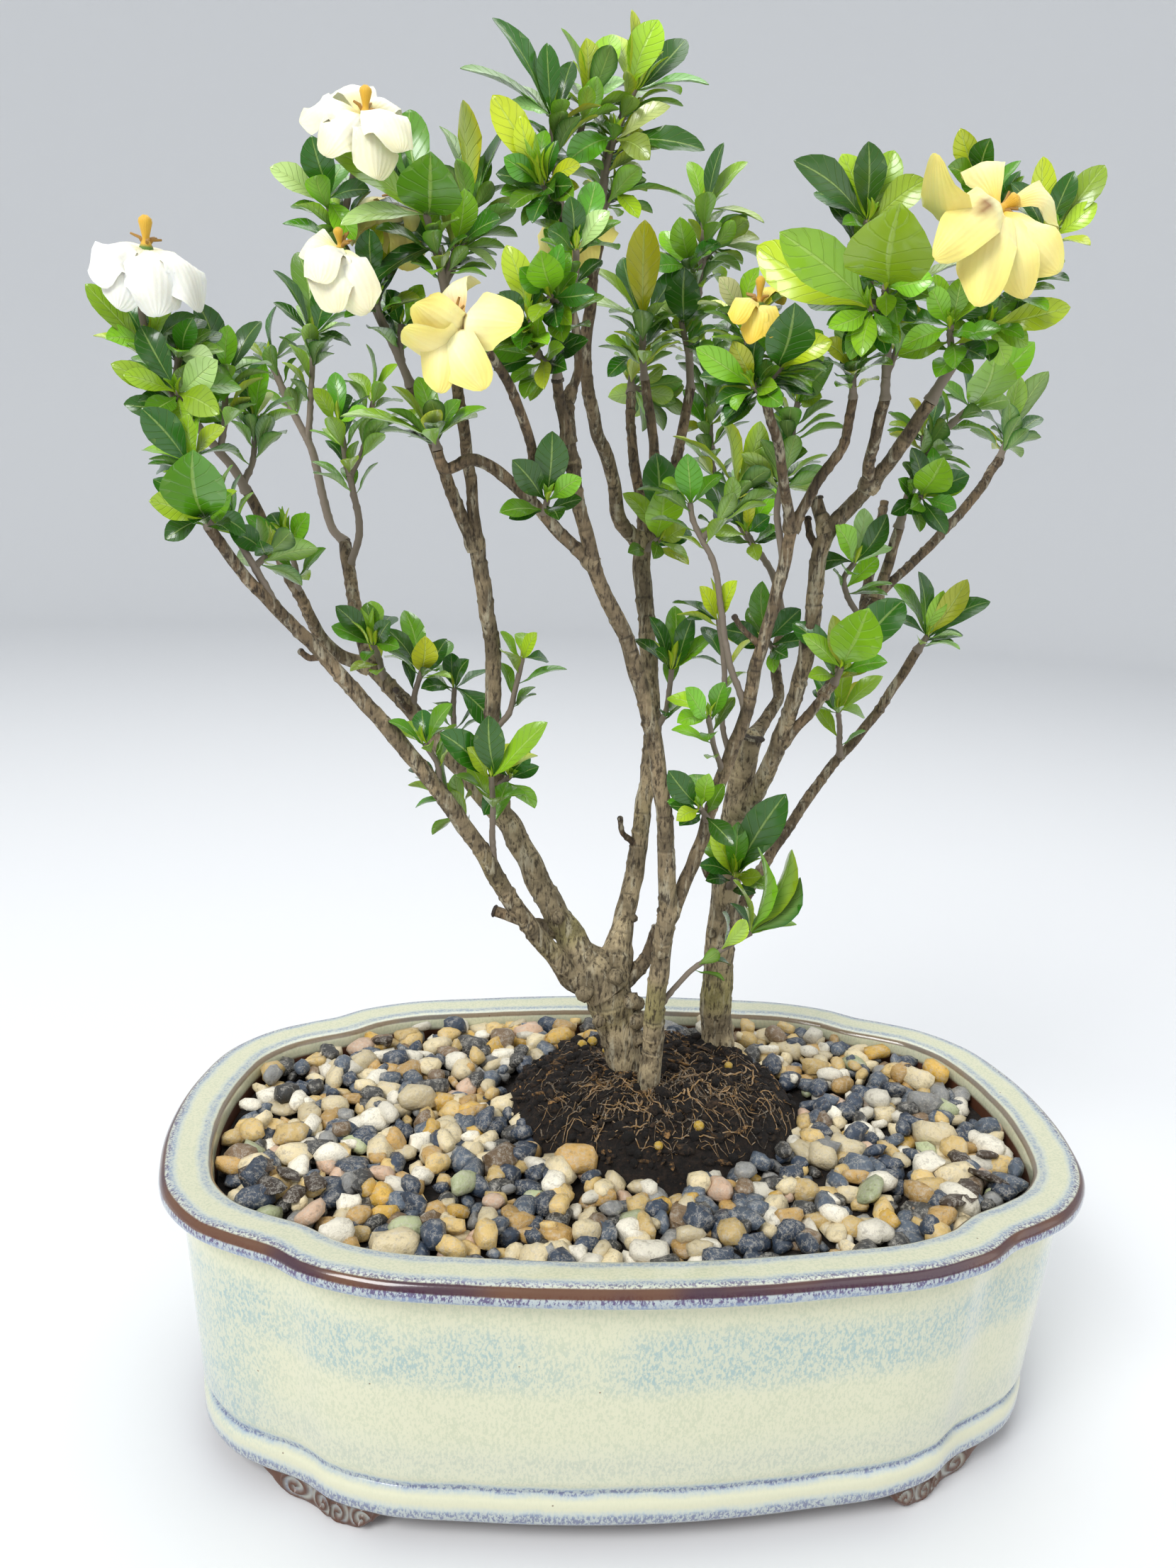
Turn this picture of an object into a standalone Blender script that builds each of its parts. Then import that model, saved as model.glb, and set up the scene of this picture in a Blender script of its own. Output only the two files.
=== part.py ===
"""A gardenia bonsai of three trunks in a glazed four-lobed pot.

The plant is drawn on an elevation: a flat view in millimetres through the
pot's centre, as seen from the eye point EYE. Every limb gives its elevation
route and its depth, and sighted() moves a point along the line of sight to
that depth. Real lengths are in millimetres in the tables and in metres in
the mesh.
"""
import math
import random

import bmesh
import bpy
import numpy as np
from mathutils import Matrix, Vector
from mathutils.bvhtree import BVHTree
from mathutils.geometry import delaunay_2d_cdt

MM = 0.001
EYE = np.array([-52.4, -366.4, 292.8])

RIM_HEIGHT = 94.2
UNDERSIDE = 8.5
FLOOR_TOP = 16.5
DRAIN_RADIUS = 8.0
DRAIN_X = 58.0
SEAT_GAP = 0.35

BED_TOP = 84.0
GRAVEL_UNDER = 84.35
VALLEY_TOP = 86.6
PEBBLE_TOP = 90.6
BACK_RISE = 0.022
PEBBLE_SPACING = 15.4
MOUND_CENTRE = (12.0, 14.0)
MOUND_HALF = (50.0, 46.0)
MOUND_SIDES = 18
TRUNK_FOOT = 88.0

BUD_RADIUS = 1.25
BLADE_HALF = 0.48
ROOT_HALF = 0.62
# ways to swing a blade clear of others: in depth, then across, in degrees
TURNS = ((0, 0), (14, 0), (-14, 0), (28, 0), (-28, 0), (0, 9), (0, -9), (14, 9), (-14, -9),
         (28, -9), (-28, 9), (42, 0), (-42, 0), (42, 12), (-42, -12), (56, 0), (-56, 0))

OUTLINE_QUARTER = ((0, 97.9), (49.4, 94.8), (81.4, 89.8), (97.1, 83.1), (106.3, 76.0),
                   (116.0, 71.2), (128.3, 63.7), (140.8, 48.6), (147.9, 24.9), (150, 0))
OUTLINE_STEPS = (0, .7, 1.4, 2, 3, 4, 5, 6, 7, 8)

# inset from the crest line, height; from the underside out, up, over and down inside
POT_PROFILE = ((14.0, UNDERSIDE), (11.1, 9.6), (10.4, 16.6), (12.0, 19.4), (10.4, 24.0),
               (8.0, 55.0), (6.4, 85.0), (1.0, 87.8), (-0.5, 90.6), (0.6, 93.5),
               (2.6, RIM_HEIGHT), (14.4, 93.0), (15.8, 84.0), (19.0, 22.0), (24.0, FLOOR_TOP))
SOIL_PROFILE = ((24.8, 17.0), (19.6, 22.3), (16.4, BED_TOP))
GRAVEL_INSET = 16.3
MOUND_PROFILE = ((1.06, 80.0), (1.06, BED_TOP), (1.0, 90.5), (0.88, 96.2), (0.66, 100.8),
                 (0.3, 103.2))
# place along the quarter outline, lowest height there
FOOT_STATIONS = ((1.35, 7.0), (1.6, 2.4), (1.8, 0.0), (2.4, 0.0), (3.1, 0.0), (3.7, 1.6),
                 (4.4, 6.4))
FOOT_OUTER = 12.4
FOOT_INNER = 23.0

# moves the whole part so that its box's bottom centre is the origin
ORIGIN_SHIFT = (3.12, 0.0, 0.0)

# node, limb, limb it grows from, elevation route, widths, depths
LIMBS = (
    ("tree_left", "L", "", (0, 110, -3, 122, -6, 132, -8, 139), (13, 14, 17, 18), (14, 14, 13)),
    ("tree_left", "LO", "L", (-8, 138, -20, 143, -27, 151, -39, 166, -49, 183, -60, 199,
                              -73, 216, -87, 232, -100, 247, -110, 257, -122, 269, -133, 284),
     (8, 6.5, 6, 5.5, 4.5, 3.5), (13, 6, -6, -16, -26, -40)),
    ("tree_left", "LI", "L", (-8, 138, -17, 150, -23, 160, -30, 172, -41, 193, -53, 207,
                              -66, 222, -77, 235, -86, 244),
     (12, 10, 9, 7, 6, 5), (13, 14, 16, 20, 23, 25)),
    ("tree_left", "LS", "LI", (-21, 158, -35, 161, -46, 165), (4.5, 3.6), (14, 20)),
    ("tree_left", "FA", "LI", (-86, 244, -95, 247, -101, 253, -106, 263, -114, 279, -122, 295),
     (4.6, 4, 3.4), (25, 22, 8, 0)),
    ("tree_left", "FB", "LI", (-86, 244, -89, 257, -92, 273, -93, 281), (4.6, 4), (25, 38, 45)),
    ("tree_left", "G", "LI", (-44, 199, -46, 210, -48, 222, -48, 248, -50, 260, -54, 281),
     (5.6, 5.4), (20, 16, 10, 5, 0)),
    ("tree_left", "GL", "G", (-54, 281, -60, 293, -66, 308, -74, 327), (4.5, 3.6), (0, -6, -14)),
    ("tree_left", "GR", "G", (-54, 281, -57, 308, -61, 330, -64, 352), (4.2, 3.4),
     (0, -7, -20, -28)),
    ("tree_left", "C1", "L", (-8, 140, -5, 150, -3, 162, -1, 175, 2, 205, 3, 228, 0, 253,
                              -3, 279, -3, 285), (9, 7, 6, 6, 5.5), (13, 17, 21, 27, 30)),
    ("tree_left", "CK", "L", (-4, 136, 4, 147, 8, 160), (4.4, 3), (13, 15)),
    ("tree_left", "CA", "C1", (-3, 284, -10, 290, -14, 306, -19, 318, -23, 335, -22, 355,
                               -20, 375), (5, 4.5, 4, 3.4), (30, 24, 16, 6, 0, -4)),
    ("tree_left", "CB", "C1", (-3, 284, -4, 296, -8, 313, -9, 328), (4, 3), (30, 40, 48)),
    ("tree_left", "CC", "C1", (-3, 284, 0, 297, -1, 312, -5, 332), (4, 3), (30, 31, 33)),
    ("tree_left", "CD", "C1", (-3, 284, 3, 293, 6, 310, 9, 330), (4, 3.2), (30, 38, 46)),
    ("tree_centre", "C2", "", (8, 100, 9, 118, 9, 135, 11, 162, 10, 185, 6, 212, 1, 232,
                               -7, 255, -16, 272, -22, 290, -27, 313),
     (8, 7.6, 7, 6, 5.6, 5.4, 5, 4.4), (0, -2, -5, -8, -12, -15, -18, -20)),
    ("tree_centre", "BR", "C2", (-18, 277, -28, 286, -38, 296, -50, 305, -56, 307, -64, 304,
                                 -66, 309), (4.5, 4, 3.5), (-16, -19, -23, -26)),
    ("tree_centre", "BE", "BR", (-38, 297, -38, 311, -45, 328, -52, 338), (3.6, 3),
     (-20, -34, -50)),
    ("tree_centre", "CL", "C2", (-27, 313, -30, 325, -31, 331), (4, 3.4), (-20, -25)),
    ("tree_centre", "CS", "C2", (-25, 306, -28, 326), (4.4, 4), (-19, -10)),
    ("tree_centre", "CT", "CS", (-28, 325, -25, 334, -26, 345, -30, 360, -31, 376), (3.2, 2.6),
     (-10, -11, -16)),
    ("tree_centre", "C3", "C2", (11, 162, 15, 170, 21, 190, 27, 213, 33, 233, 36, 252, 41, 276,
                                 43, 290), (5, 4.8, 4.5, 4), (-5, -3, -6, -10, -15)),
    ("tree_centre", "CM", "C3", (43, 290, 40, 303, 36, 318, 31, 330), (3.8, 3), (-15, -24, -32)),
    ("tree_centre", "CN", "C3", (43, 290, 50, 305, 57, 316, 59, 330), (3.8, 3), (-15, -18, -22)),
    ("tree_right", "R", "", (31, 121, 30, 135, 30, 165, 31, 190, 33, 213, 35, 225),
     (11, 11, 11, 10, 9, 8), (38, 36, 33, 30, 28)),
    ("tree_right", "R1", "R", (34, 222, 38, 228, 43, 237, 41, 250, 43, 262), (5, 4, 3.4),
     (28, 38, 48, 56)),
    ("tree_right", "R2", "R", (33, 200, 38, 207, 44, 222, 49, 240, 52, 262, 54, 289, 62, 299,
                               66, 304), (6.6, 6, 5.5, 5.5, 5), (30, 20, 10, 4, 0, -5)),
    ("tree_right", "RX", "R2", (54, 290, 50, 300), (4.6, 4), (-1, 4)),
    ("tree_right", "RU", "R2", (66, 304, 66, 312, 69, 330), (4.2, 3.6), (-5, -24)),
    ("tree_right", "RW", "R2", (66, 304, 73, 313, 83, 330), (5, 4.4), (-5, -22)),
    ("tree_right", "RB", "R2", (44, 222, 53, 232, 61, 243), (3.8, 3.2), (12, 10, 6)),
    ("tree_right", "U", "RB", (58, 238, 63, 250, 72, 270, 86, 285, 100, 302, 107, 314),
     (3.4, 3.2, 3), (8, 18, 30, 42)),
    ("tree_right", "V", "U", (72, 270, 75, 282, 77, 292), (4, 3.4), (25, 19)),
    ("tree_right", "VX", "U", (66, 262, 69, 276, 72, 300), (3.4, 3), (20, 32, 40)),
    ("tree_right", "T", "R", (31, 150, 38, 172, 48, 192, 62, 215, 76, 234, 87, 254),
     (4.4, 3.6, 3.2), (35, 45, 58, 60, 55)),
)

# node: shoots of (limb or earlier shoot's number, elevation route, width, end depth, leaves);
# a leaf is its tip (x, z), its width, and 1 where it points away from the viewer
SHOOTS = {
    "leaves_01": (
        ("LO", (-45, 179, -47, 190, -47, 198, -48, 210), 2.4, -14,
         ((-62, 222, 10), (-55, 219, 6), (-49, 229, 9), (-31, 228, 6), (-42, 221, 5, 1))),),
    "leaves_02": (
        ("G", (-46, 207, -42, 210), 2.2, 6, ((-45, 221, 5, 1), (-36, 218, 6))),),
    "leaves_03": (
        ("LO", (-53, 190, -57, 198, -61, 203), 2.2, 4, ((-64, 215, 5), (-74, 207, 5),
                                                        (-72, 200, 5, 1))),),
    "leaves_04": (
        ("LO", (-64, 205, -65, 214, -69, 220), 2.2, -12,
         ((-81, 228, 5), (-61, 233, 7), (-70, 231, 6, 1), (-80, 217, 5))),),
    "leaves_05": (
        ("LI", (-59, 214, -60, 225, -60, 238), 2.2, 22,
         ((-49, 229, 10), (-56, 247, 6), (-61, 249, 6, 1), (-70, 238, 6))),),
    "leaves_06": (
        ("LI", (-73, 230, -72, 237, -70, 243), 2.2, 18,
         ((-63, 253, 6), (-80, 256, 6), (-69, 253, 8), (-75, 262, 5, 1))),),
    "leaves_07": (
        ("LI", (-81, 240, -83, 246, -85, 251), 2.4, 12,
         ((-96, 262, 7), (-87, 263, 6, 1), (-80, 258, 6), (-77, 250, 5))),),
    "leaves_08": (
        ("G", (-46, 225, -43, 230, -41, 238, -39, 248), 2.2, 8,
         ((-46, 256, 5), (-35, 256, 5), (-31, 248, 5, 1))),),
    "leaves_09": (
        ("LO", (-133, 284, -134, 287), 3.0, -42,
         ((-137, 306, 15), (-150, 291, 8), (-146, 280, 6), (-127, 294, 7), (-122, 283, 6, 1))),),
    "leaves_10": (
        ("LO", (-114, 261, -119, 271, -125, 281, -131, 293, -138, 303), 2.6, -40,
         ((-151, 317, 9), (-138, 316, 6), (-148, 301, 7, 1), (-128, 313, 6))),
        (0, (-120, 273, -117, 276), 2.0, -28, ((-125, 282, 7), (-118, 280, 5), (-109, 284, 6))),),
    "leaves_11": (
        ("FA", (-107, 266, -108, 273, -110, 280), 2.2, -6,
         ((-122, 288, 5), (-115, 289, 6, 1), (-104, 289, 6))),),
    "leaves_12": (
        ("FA", (-122, 295, -126, 302, -134, 311, -143, 323, -148, 335), 3.0, -20,
         ((-165, 350, 6), (-157, 349, 7, 1), (-142, 347, 6), (-135, 343, 6), (-160, 336, 7))),
        (0, (-148, 334, -150, 343, -149, 352), 2.2, -24, ()),
        (0, (-143, 323, -141, 327, -140, 333), 2.0, -24, ((-136, 342, 6), (-131, 332, 6))),
        (0, (-138, 317, -141, 322), 2.0, -28,
         ((-159, 329, 6), (-130, 331, 8), (-130, 317, 8), (-148, 335, 8, 1))),
        (0, (-129, 306, -128, 313, -127, 328), 2.2, -8,
         ((-134, 347, 8), (-126, 341, 6), (-117, 343, 6, 1), (-140, 333, 6))),
        (0, (-123, 297, -120, 303, -119, 316), 2.2, 2,
         ((-116, 331, 6), (-123, 330, 7, 1), (-128, 320, 5), (-108, 322, 5))),),
    "leaves_13": (
        ("FB", (-93, 281, -97, 285, -103, 308, -110, 322, -114, 332), 2.8, 58,
         ((-113, 347, 7), (-124, 337, 6), (-105, 340, 6, 1), (-120, 326, 6))),
        (0, (-104, 310, -103, 320, -102, 340), 2.2, 52,
         ((-112, 357, 6), (-106, 362, 5, 1), (-96, 354, 9), (-90, 347, 6), (-113, 348, 6),
          (-91, 338, 6, 1))),),
    "leaves_14": (
        ("FB", (-92, 274, -89, 284, -93, 306, -95, 316), 2.6, 36,
         ((-102, 325, 6), (-96, 330, 6, 1), (-87, 320, 6))),
        (0, (-92, 300, -88, 308, -85, 322), 2.0, 46, ((-78, 333, 6), (-86, 338, 6), (-92, 330, 6,
                                                                                   1))),),
    "leaves_15": (
        ("GL", (-74, 327, -79, 338, -84, 347, -93, 364, -98, 376), 2.8, -32,
         ((-102, 392, 8), (-113, 384, 7), (-93, 386, 6, 1), (-85, 380, 6), (-90, 366, 6))),
        (0, (-82, 342, -86, 354), 2.0, -30, ((-86, 369, 7), (-95, 366, 6), (-77, 366, 6, 1))),
        (0, (-76, 334, -77, 344), 2.0, -18, ((-81, 353, 6), (-71, 355, 6), (-68, 345, 5, 1))),
        (0, (-94, 367, -90, 385, -88, 393), 2.2, -40, ()),
        (0, (-84, 348, -81, 360, -79, 370), 2.2, -18, ()),
        (0, (-88, 355, -92, 360), 2.2, -42, ()),),
    "leaves_16": (
        ("GR", (-64, 352, -67, 364, -70, 374), 2.8, -38,
         ((-69, 389, 15), (-75, 401, 7, 1), (-97, 391, 6), (-94, 371, 6), (-62, 382, 7, 1),
          (-84, 395, 7, 1))),
        (0, (-65, 356, -61, 366), 2.0, -28,
         ((-59, 381, 8), (-49, 374, 8), (-50, 361, 5), (-86, 356, 5))),
        (0, (-65, 355, -60, 364, -57, 376), 2.0, -20,
         ((-60, 404, 6), (-53, 391, 5), (-46, 384, 5), (-65, 398, 6, 1), (-46, 400, 8))),),
    "leaves_17": (
        ("CT", (-31, 376, -34, 390, -35, 402), 2.4, -18,
         ((-51, 426, 9), (-37, 420, 6), (-46, 404, 6), (-61, 412, 6), (-30, 416, 5, 1))),
        (0, (-31, 382, -28, 394, -25, 406), 2.2, -10,
         ((-26, 422, 8), (-33, 424, 5), (-18, 424, 7, 1), (-15, 412, 6))),
        (0, (-31, 378, -37, 384), 2.0, -28,
         ((-52, 406, 7), (-44, 401, 6), (-48, 390, 6), (-29, 384, 6), (-37, 398, 5, 1))),),
    "leaves_18": (
        ("CA", (-20, 375, -19, 392, -15, 403, -12, 410), 2.8, -8,
         ((-6, 428, 9), (-13, 430, 6), (9, 414, 6), (-20, 426, 7, 1), (2, 424, 6, 1))),
        (0, (-19, 388, -17, 397), 2.0, -10,
         ((9, 397, 6), (-7, 393, 7), (-30, 391, 8), (-29, 402, 7, 1), (-2, 407, 6))),
        (0, (-20, 377, -17, 383), 2.0, -2, ((3, 384, 7), (-9, 377, 6), (-10, 391, 6, 1))),),
    "leaves_19": (
        ("CB", (-9, 328, -9, 332, -8, 338), 2.6, 52,
         ((-17, 343, 7), (6, 346, 7), (-4, 353, 7, 1), (-16, 333, 6))),
        (0, (-9, 330, -4, 329), 2.0, 54, ((8, 323, 5), (5, 333, 6, 1))),),
    "leaves_20": (
        ("CC", (-5, 332, -6, 340, -6, 349), 2.6, 30,
         ((-7, 376, 6), (-22, 363, 6), (-30, 353, 5), (-13, 366, 7, 1), (5, 364, 6, 1))),),
    "leaves_21": (
        ("CD", (9, 330, 8, 340, 10, 362, 10, 380), 2.6, 48,
         ((14, 398, 7), (21, 394, 8), (5, 393, 5, 1), (-6, 385, 6), (28, 378, 6))),
        (0, (9, 356, 6, 365), 2.0, 42, ((3, 377, 8), (-5, 364, 7), (15, 372, 6, 1), (-3, 356, 6))),
        (0, (8, 338, 5, 349), 2.0, 38, ((5, 363, 11), (-8, 357, 6), (17, 355, 6))),
        (0, (10, 366, 15, 371), 2.0, 52, ((33, 366, 6), (27, 374, 6, 1))),),
    "leaves_22": (
        ("C1", (-2, 282, 2, 286), 2.4, 22,
         ((3, 302, 12), (-10, 299, 6), (10, 290, 6), (0, 310, 12, 1))),),
    "leaves_23": (
        ("CL", (-31, 331, -31, 347, -27, 360, -27, 367), 2.8, -36,
         ((-29, 381, 6), (-18, 378, 6), (-35, 372, 6), (-22, 386, 5, 1))),
        (0, (-30, 350, -34, 354), 2.0, -40, ((-37, 366, 9), (-43, 361, 6), (-29, 366, 5))),
        (0, (-31, 334, -38, 338), 2.0, -36, ((-52, 339, 6), (-46, 347, 6), (-37, 349, 6))),
        (2, (-37, 337, -40, 347), 2.0, -42, ((-47, 367, 7), (-48, 354, 6), (-38, 362, 5, 1))),),
    "leaves_25": (
        ("BR", (-66, 309, -67, 313), 2.8, -26,
         ((-79, 327, 5), (-60, 324, 6), (-52, 322, 6), (-94, 319, 6), (-72, 330, 6, 1))),),
    "leaves_26": (
        ("BR", (-34, 292, -33, 296), 2.2, -26, ((-32, 316, 9), (-43, 307, 8), (-23, 303, 6))),),
    "leaves_27": (
        ("C1", (3, 224, 7, 232, 8, 246), 2.2, 14,
         ((1, 262, 5), (14, 263, 6), (21, 257, 6), (3, 252, 5), (8, 266, 5, 1))),),
    "leaves_28": (
        ("C3", (26, 213, 23, 222, 21, 231), 2.2, -14, ((13, 240, 7), (25, 242, 6), (11, 229, 6))),),
    "leaves_29": (
        ("C3", (22, 197, 20, 201), 2.2, -14, ((9, 213, 8), (22, 212, 6), (13, 197, 5))),),
    "leaves_30": (
        ("C3", (29, 219, 26, 226, 25, 247, 22, 262), 2.2, 0,
         ((16, 272, 6), (26, 274, 7), (12, 262, 5, 1))),),
    "leaves_31": (
        ("R1", (41, 252, 38, 256), 2.2, 40, ((24, 259, 8), (48, 266, 8), (35, 274, 6), (31, 266, 5,
                                                                                      1))),),
    "leaves_32": (
        ("R1", (43, 262, 38, 277, 29, 288, 18, 305, 15, 320), 2.4, 58,
         ((7, 330, 7), (19, 338, 7), (27, 325, 7), (6, 318, 6, 1))),
        (0, (33, 283, 29, 289), 2.0, 48, ((28, 302, 6), (15, 304, 9), (38, 304, 6), (36, 294, 6))),
        (0, (16, 313, 13, 340), 2.0, 62, ((7, 352, 6), (20, 352, 6, 1))),),
    "leaves_33": (
        ("CM", (31, 330, 28, 332), 2.6, -36,
         ((10, 342, 6), (21, 344, 6), (28, 346, 6), (36, 341, 5, 1))),
        (0, (30, 330, 26, 342, 24, 351), 2.0, -34,
         ((16, 362, 6), (27, 366, 6), (33, 359, 6), (12, 352, 6, 1))),
        (0, (30, 330, 36, 338), 2.0, -40, ((39, 355, 12), (29, 353, 8), (51, 346, 7))),
        (1, (26, 342, 29, 350), 2.0, -42, ()),),
    "leaves_34": (
        ("CN", (59, 330, 58, 340), 2.6, -26,
         ((49, 346, 6), (54, 355, 6), (66, 350, 6), (60, 354, 5, 1))),),
    "leaves_35": (
        ("C3", (41, 280, 38, 296, 40, 310, 42, 328), 2.4, -6,
         ((42, 346, 6), (34, 340, 6), (52, 340, 11), (49, 330, 6))),
        (0, (39, 300, 39, 308), 2.0, -2, ((37, 326, 8), (46, 314, 6), (30, 315, 6, 1))),),
    "leaves_36": (
        ("C3", (33, 233, 26, 250, 19, 280, 12, 292, 11, 297), 2.4, -4,
         ((9, 311, 8), (2, 303, 6), (20, 306, 6, 1))),
        (0, (16, 287, 22, 294, 25, 302), 2.0, 2, ((20, 324, 6), (31, 322, 6), (7, 317, 6),
                                                  (34, 311, 6, 1))),),
    "leaves_37": (
        ("R", (31, 172, 33, 178), 2.2, 20, ((48, 206, 12), (24, 192, 6), (33, 196, 7), (23, 181, 6),
                                            (42, 178, 6))),),
    "leaves_38": (
        ("C2", (10, 130, 20, 144, 32, 153, 40, 158), 2.2, 6,
         ((53, 187, 8), (43, 188, 7), (34, 177, 6), (57, 177, 6), (33, 169, 6, 1), (55, 162, 6))),),
    "leaves_39": (
        ("RU", (69, 330, 67, 352, 62, 360, 57, 374, 59, 380), 3.0, -46,
         ((50, 397, 8), (57, 401, 8), (65, 400, 8), (75, 392, 8), (36, 395, 7), (42, 387, 6, 1))),
        (0, (66, 354, 62, 356), 2.2, -46, ((33, 375, 12), (26, 371, 7, 1))),
        (0, (66, 354, 66, 362), 2.2, -50, ((68, 383, 20), (80, 365, 7))),
        (0, (69, 336, 72, 349, 71, 360), 2.2, -24,
         ((91, 372, 6), (82, 361, 6), (96, 363, 7), (76, 376, 7, 1), (63, 372, 6, 1))),),
    "leaves_43": (
        ("RW", (83, 330, 93, 348, 104, 361, 112, 373, 115, 379), 3.8, -42,
         ((110, 400, 6), (120, 397, 6), (130, 401, 6), (128, 389, 6), (102, 393, 6))),
        (0, (110, 369, 103, 378, 98, 380), 2.4, -60, ()),
        (0, (111, 371, 94, 385, 90, 392), 2.0, -42, ((84, 406, 6), (93, 404, 7), (82, 396, 6))),
        (0, (88, 341, 87, 352), 2.2, -44, ((80, 363, 6), (89, 366, 6), (73, 346, 6),
                                           (97, 360, 6, 1))),
        (0, (94, 350, 98, 353), 2.2, -34, ((124, 360, 8), (112, 348, 6), (106, 342, 6, 1))),),
    "leaves_44": (
        ("RB", (61, 243, 63, 248), 2.6, -2,
         ((70, 267, 15), (81, 270, 12, 1), (59, 264, 6), (50, 258, 6), (46, 262, 6, 1))),),
    "leaves_45": (
        ("U", (107, 314, 109, 321), 2.6, 46, ((103, 335, 6), (111, 339, 6), (119, 341, 6),
                                              (119, 328, 6, 1))),),
    "leaves_46": (
        ("V", (77, 292, 82, 312, 88, 321, 96, 329), 3.0, 10,
         ((102, 345, 14), (114, 349, 8), (90, 346, 7), (86, 336, 6, 1), (108, 332, 6, 1))),
        (0, (83, 314, 82, 320), 2.0, 18, ((77, 331, 7), (86, 334, 6, 1), (71, 323, 6))),
        (0, (79, 300, 84, 302), 2.2, 8, ((89, 313, 11), (98, 309, 7), (95, 299, 6))),),
    "leaves_47": (
        ("U", (68, 263, 63, 270, 61, 276, 64, 281), 2.2, 8,
         ((58, 292, 8), (73, 296, 7), (66, 298, 6, 1), (53, 280, 6))),),
    "leaves_49": (
        ("T", (87, 254, 90, 259), 2.8, 52,
         ((78, 275, 6), (85, 279, 6), (94, 273, 6), (101, 277, 6), (109, 271, 6), (78, 265, 5,
                                                                                 1))),),
    "leaves_50": (
        ("T", (65, 219, 64, 228, 63, 234), 2.2, 54, ((54, 246, 7), (76, 246, 6), (65, 250, 6),
                                                     (72, 233, 6, 1))),),
}

# node: (leaf node and shoot that carries it, stalk route, end depth, petal tips,
#        pistil tip, pistil width)
BLOOMS = {
    "bloom_1": (("leaves_12", 1), (-149, 352, -148, 360), -26,
                ((-163, 353, 9), (-157, 346, 9), (-145, 345, 9), (-133, 347, 9),
                 (-158, 352, 9, 1), (-140, 351, 9, 1)), (-148, 369), 3.6),
    "bloom_2": (("leaves_15", 3), (-88, 393, -87, 398), -42,
                ((-105, 398, 8), (-98, 390, 8), (-83, 385, 8), (-77, 393, 8), (-95, 404, 8, 1),
                 (-80, 401, 7, 1)), (-87, 406), 3.2),
    "bloom_3": (("leaves_15", 4), (-79, 370, -79, 376), -16,
                ((-92, 368, 9), (-70, 367, 9), (-86, 362, 9), (-74, 361, 9), (-69, 378, 8, 1)),
                (-79, 386), 3.2),
    "bloom_4": (("leaves_15", 5), (-92, 360, -94, 363), -44,
                ((-101, 357, 8), (-97, 349, 9), (-88, 349, 9), (-104, 364, 7, 1)),
                (-95, 369), 2.6),
    "bloom_5": ("BE", (-52, 338, -55, 343, -59, 345), -58,
                ((-46, 347, 11), (-56, 330, 11), (-67, 329, 10), (-74, 339, 10), (-71, 347, 9),
                 (-60, 357, 9, 1)), (-69, 352), 3.4),
    "bloom_6": ("CA", (-22, 360, -25, 368, -27, 374), 8,
                ((-37, 368, 9), (-24, 364, 9), (-18, 372, 9), (-32, 361, 9), (-22, 384, 8, 1)),
                (-34, 380), 3.0),
    "bloom_7": (("leaves_33", 3), (29, 350, 28, 355), -44,
                ((21, 352, 6), (32, 348, 6), (26, 346, 6), (34, 358, 6, 1)), (28, 363), 2.6),
    "bloom_8": (("leaves_43", 1), (98, 380, 98, 385), -66,
                ((76, 392, 13), (84, 376, 12), (95, 363, 12), (109, 364, 11), (119, 371, 11),
                 (118, 382, 10, 1), (90, 398, 10, 1)), (104, 389), 3.8),
}


def route(numbers):
    """Rows of x, z from a flat list."""
    return np.array(numbers, dtype=float).reshape(-1, 2)


def sighted(x, z, depth):
    """The elevation point (x, z) moved along the line of sight to the depth."""
    k = (depth - EYE[1]) / -EYE[1]
    return np.array([EYE[0] + (x - EYE[0]) * k, depth, EYE[2] + (z - EYE[2]) * k])


def unit(vector):
    """The vector at length one."""
    return vector / max(np.linalg.norm(vector), 1e-9)


def spread(values, count):
    """Values shared out evenly over count places."""
    return np.interp(np.linspace(0, 1, count), np.linspace(0, 1, len(values)), values)


def paint(name, colour, roughness):
    """A Principled material of its own."""
    material = bpy.data.materials.new(name)
    material.use_nodes = True
    shader = material.node_tree.nodes["Principled BSDF"]
    shader.inputs["Base Color"].default_value = (*colour, 1.0)
    shader.inputs["Roughness"].default_value = roughness
    return material


def solid(name, piece, collection):
    """An object from points in millimetres and faces, facing outwards."""
    mesh = bpy.data.meshes.new(name)
    mesh.from_pydata([tuple(point) for point in np.asarray(piece[0]) * MM], [], piece[1])
    shell = bmesh.new()
    shell.from_mesh(mesh)
    bmesh.ops.recalc_face_normals(shell, faces=shell.faces)
    shell.to_mesh(mesh)
    shell.free()
    result = bpy.data.objects.new(name, mesh)
    collection.objects.link(result)
    return result


def drop(objects):
    """Remove objects and their meshes."""
    for item in list(objects):
        mesh = item.data
        bpy.data.objects.remove(item, do_unlink=True)
        bpy.data.meshes.remove(mesh)


def applied(item, changes, solver="EXACT"):
    """Apply Boolean changes, each an operation and its cutter or collection."""
    for operation, operand in changes:
        step = item.modifiers.new(operation, "BOOLEAN")
        step.operation = operation
        step.solver = solver
        if isinstance(operand, bpy.types.Collection):
            step.operand_type = "COLLECTION"
            step.collection = operand
        else:
            step.object = operand
    graph = bpy.context.evaluated_depsgraph_get()
    mesh = bpy.data.meshes.new_from_object(item.evaluated_get(graph))
    item.modifiers.clear()
    old = item.data
    item.data = mesh
    bpy.data.meshes.remove(old)


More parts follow.
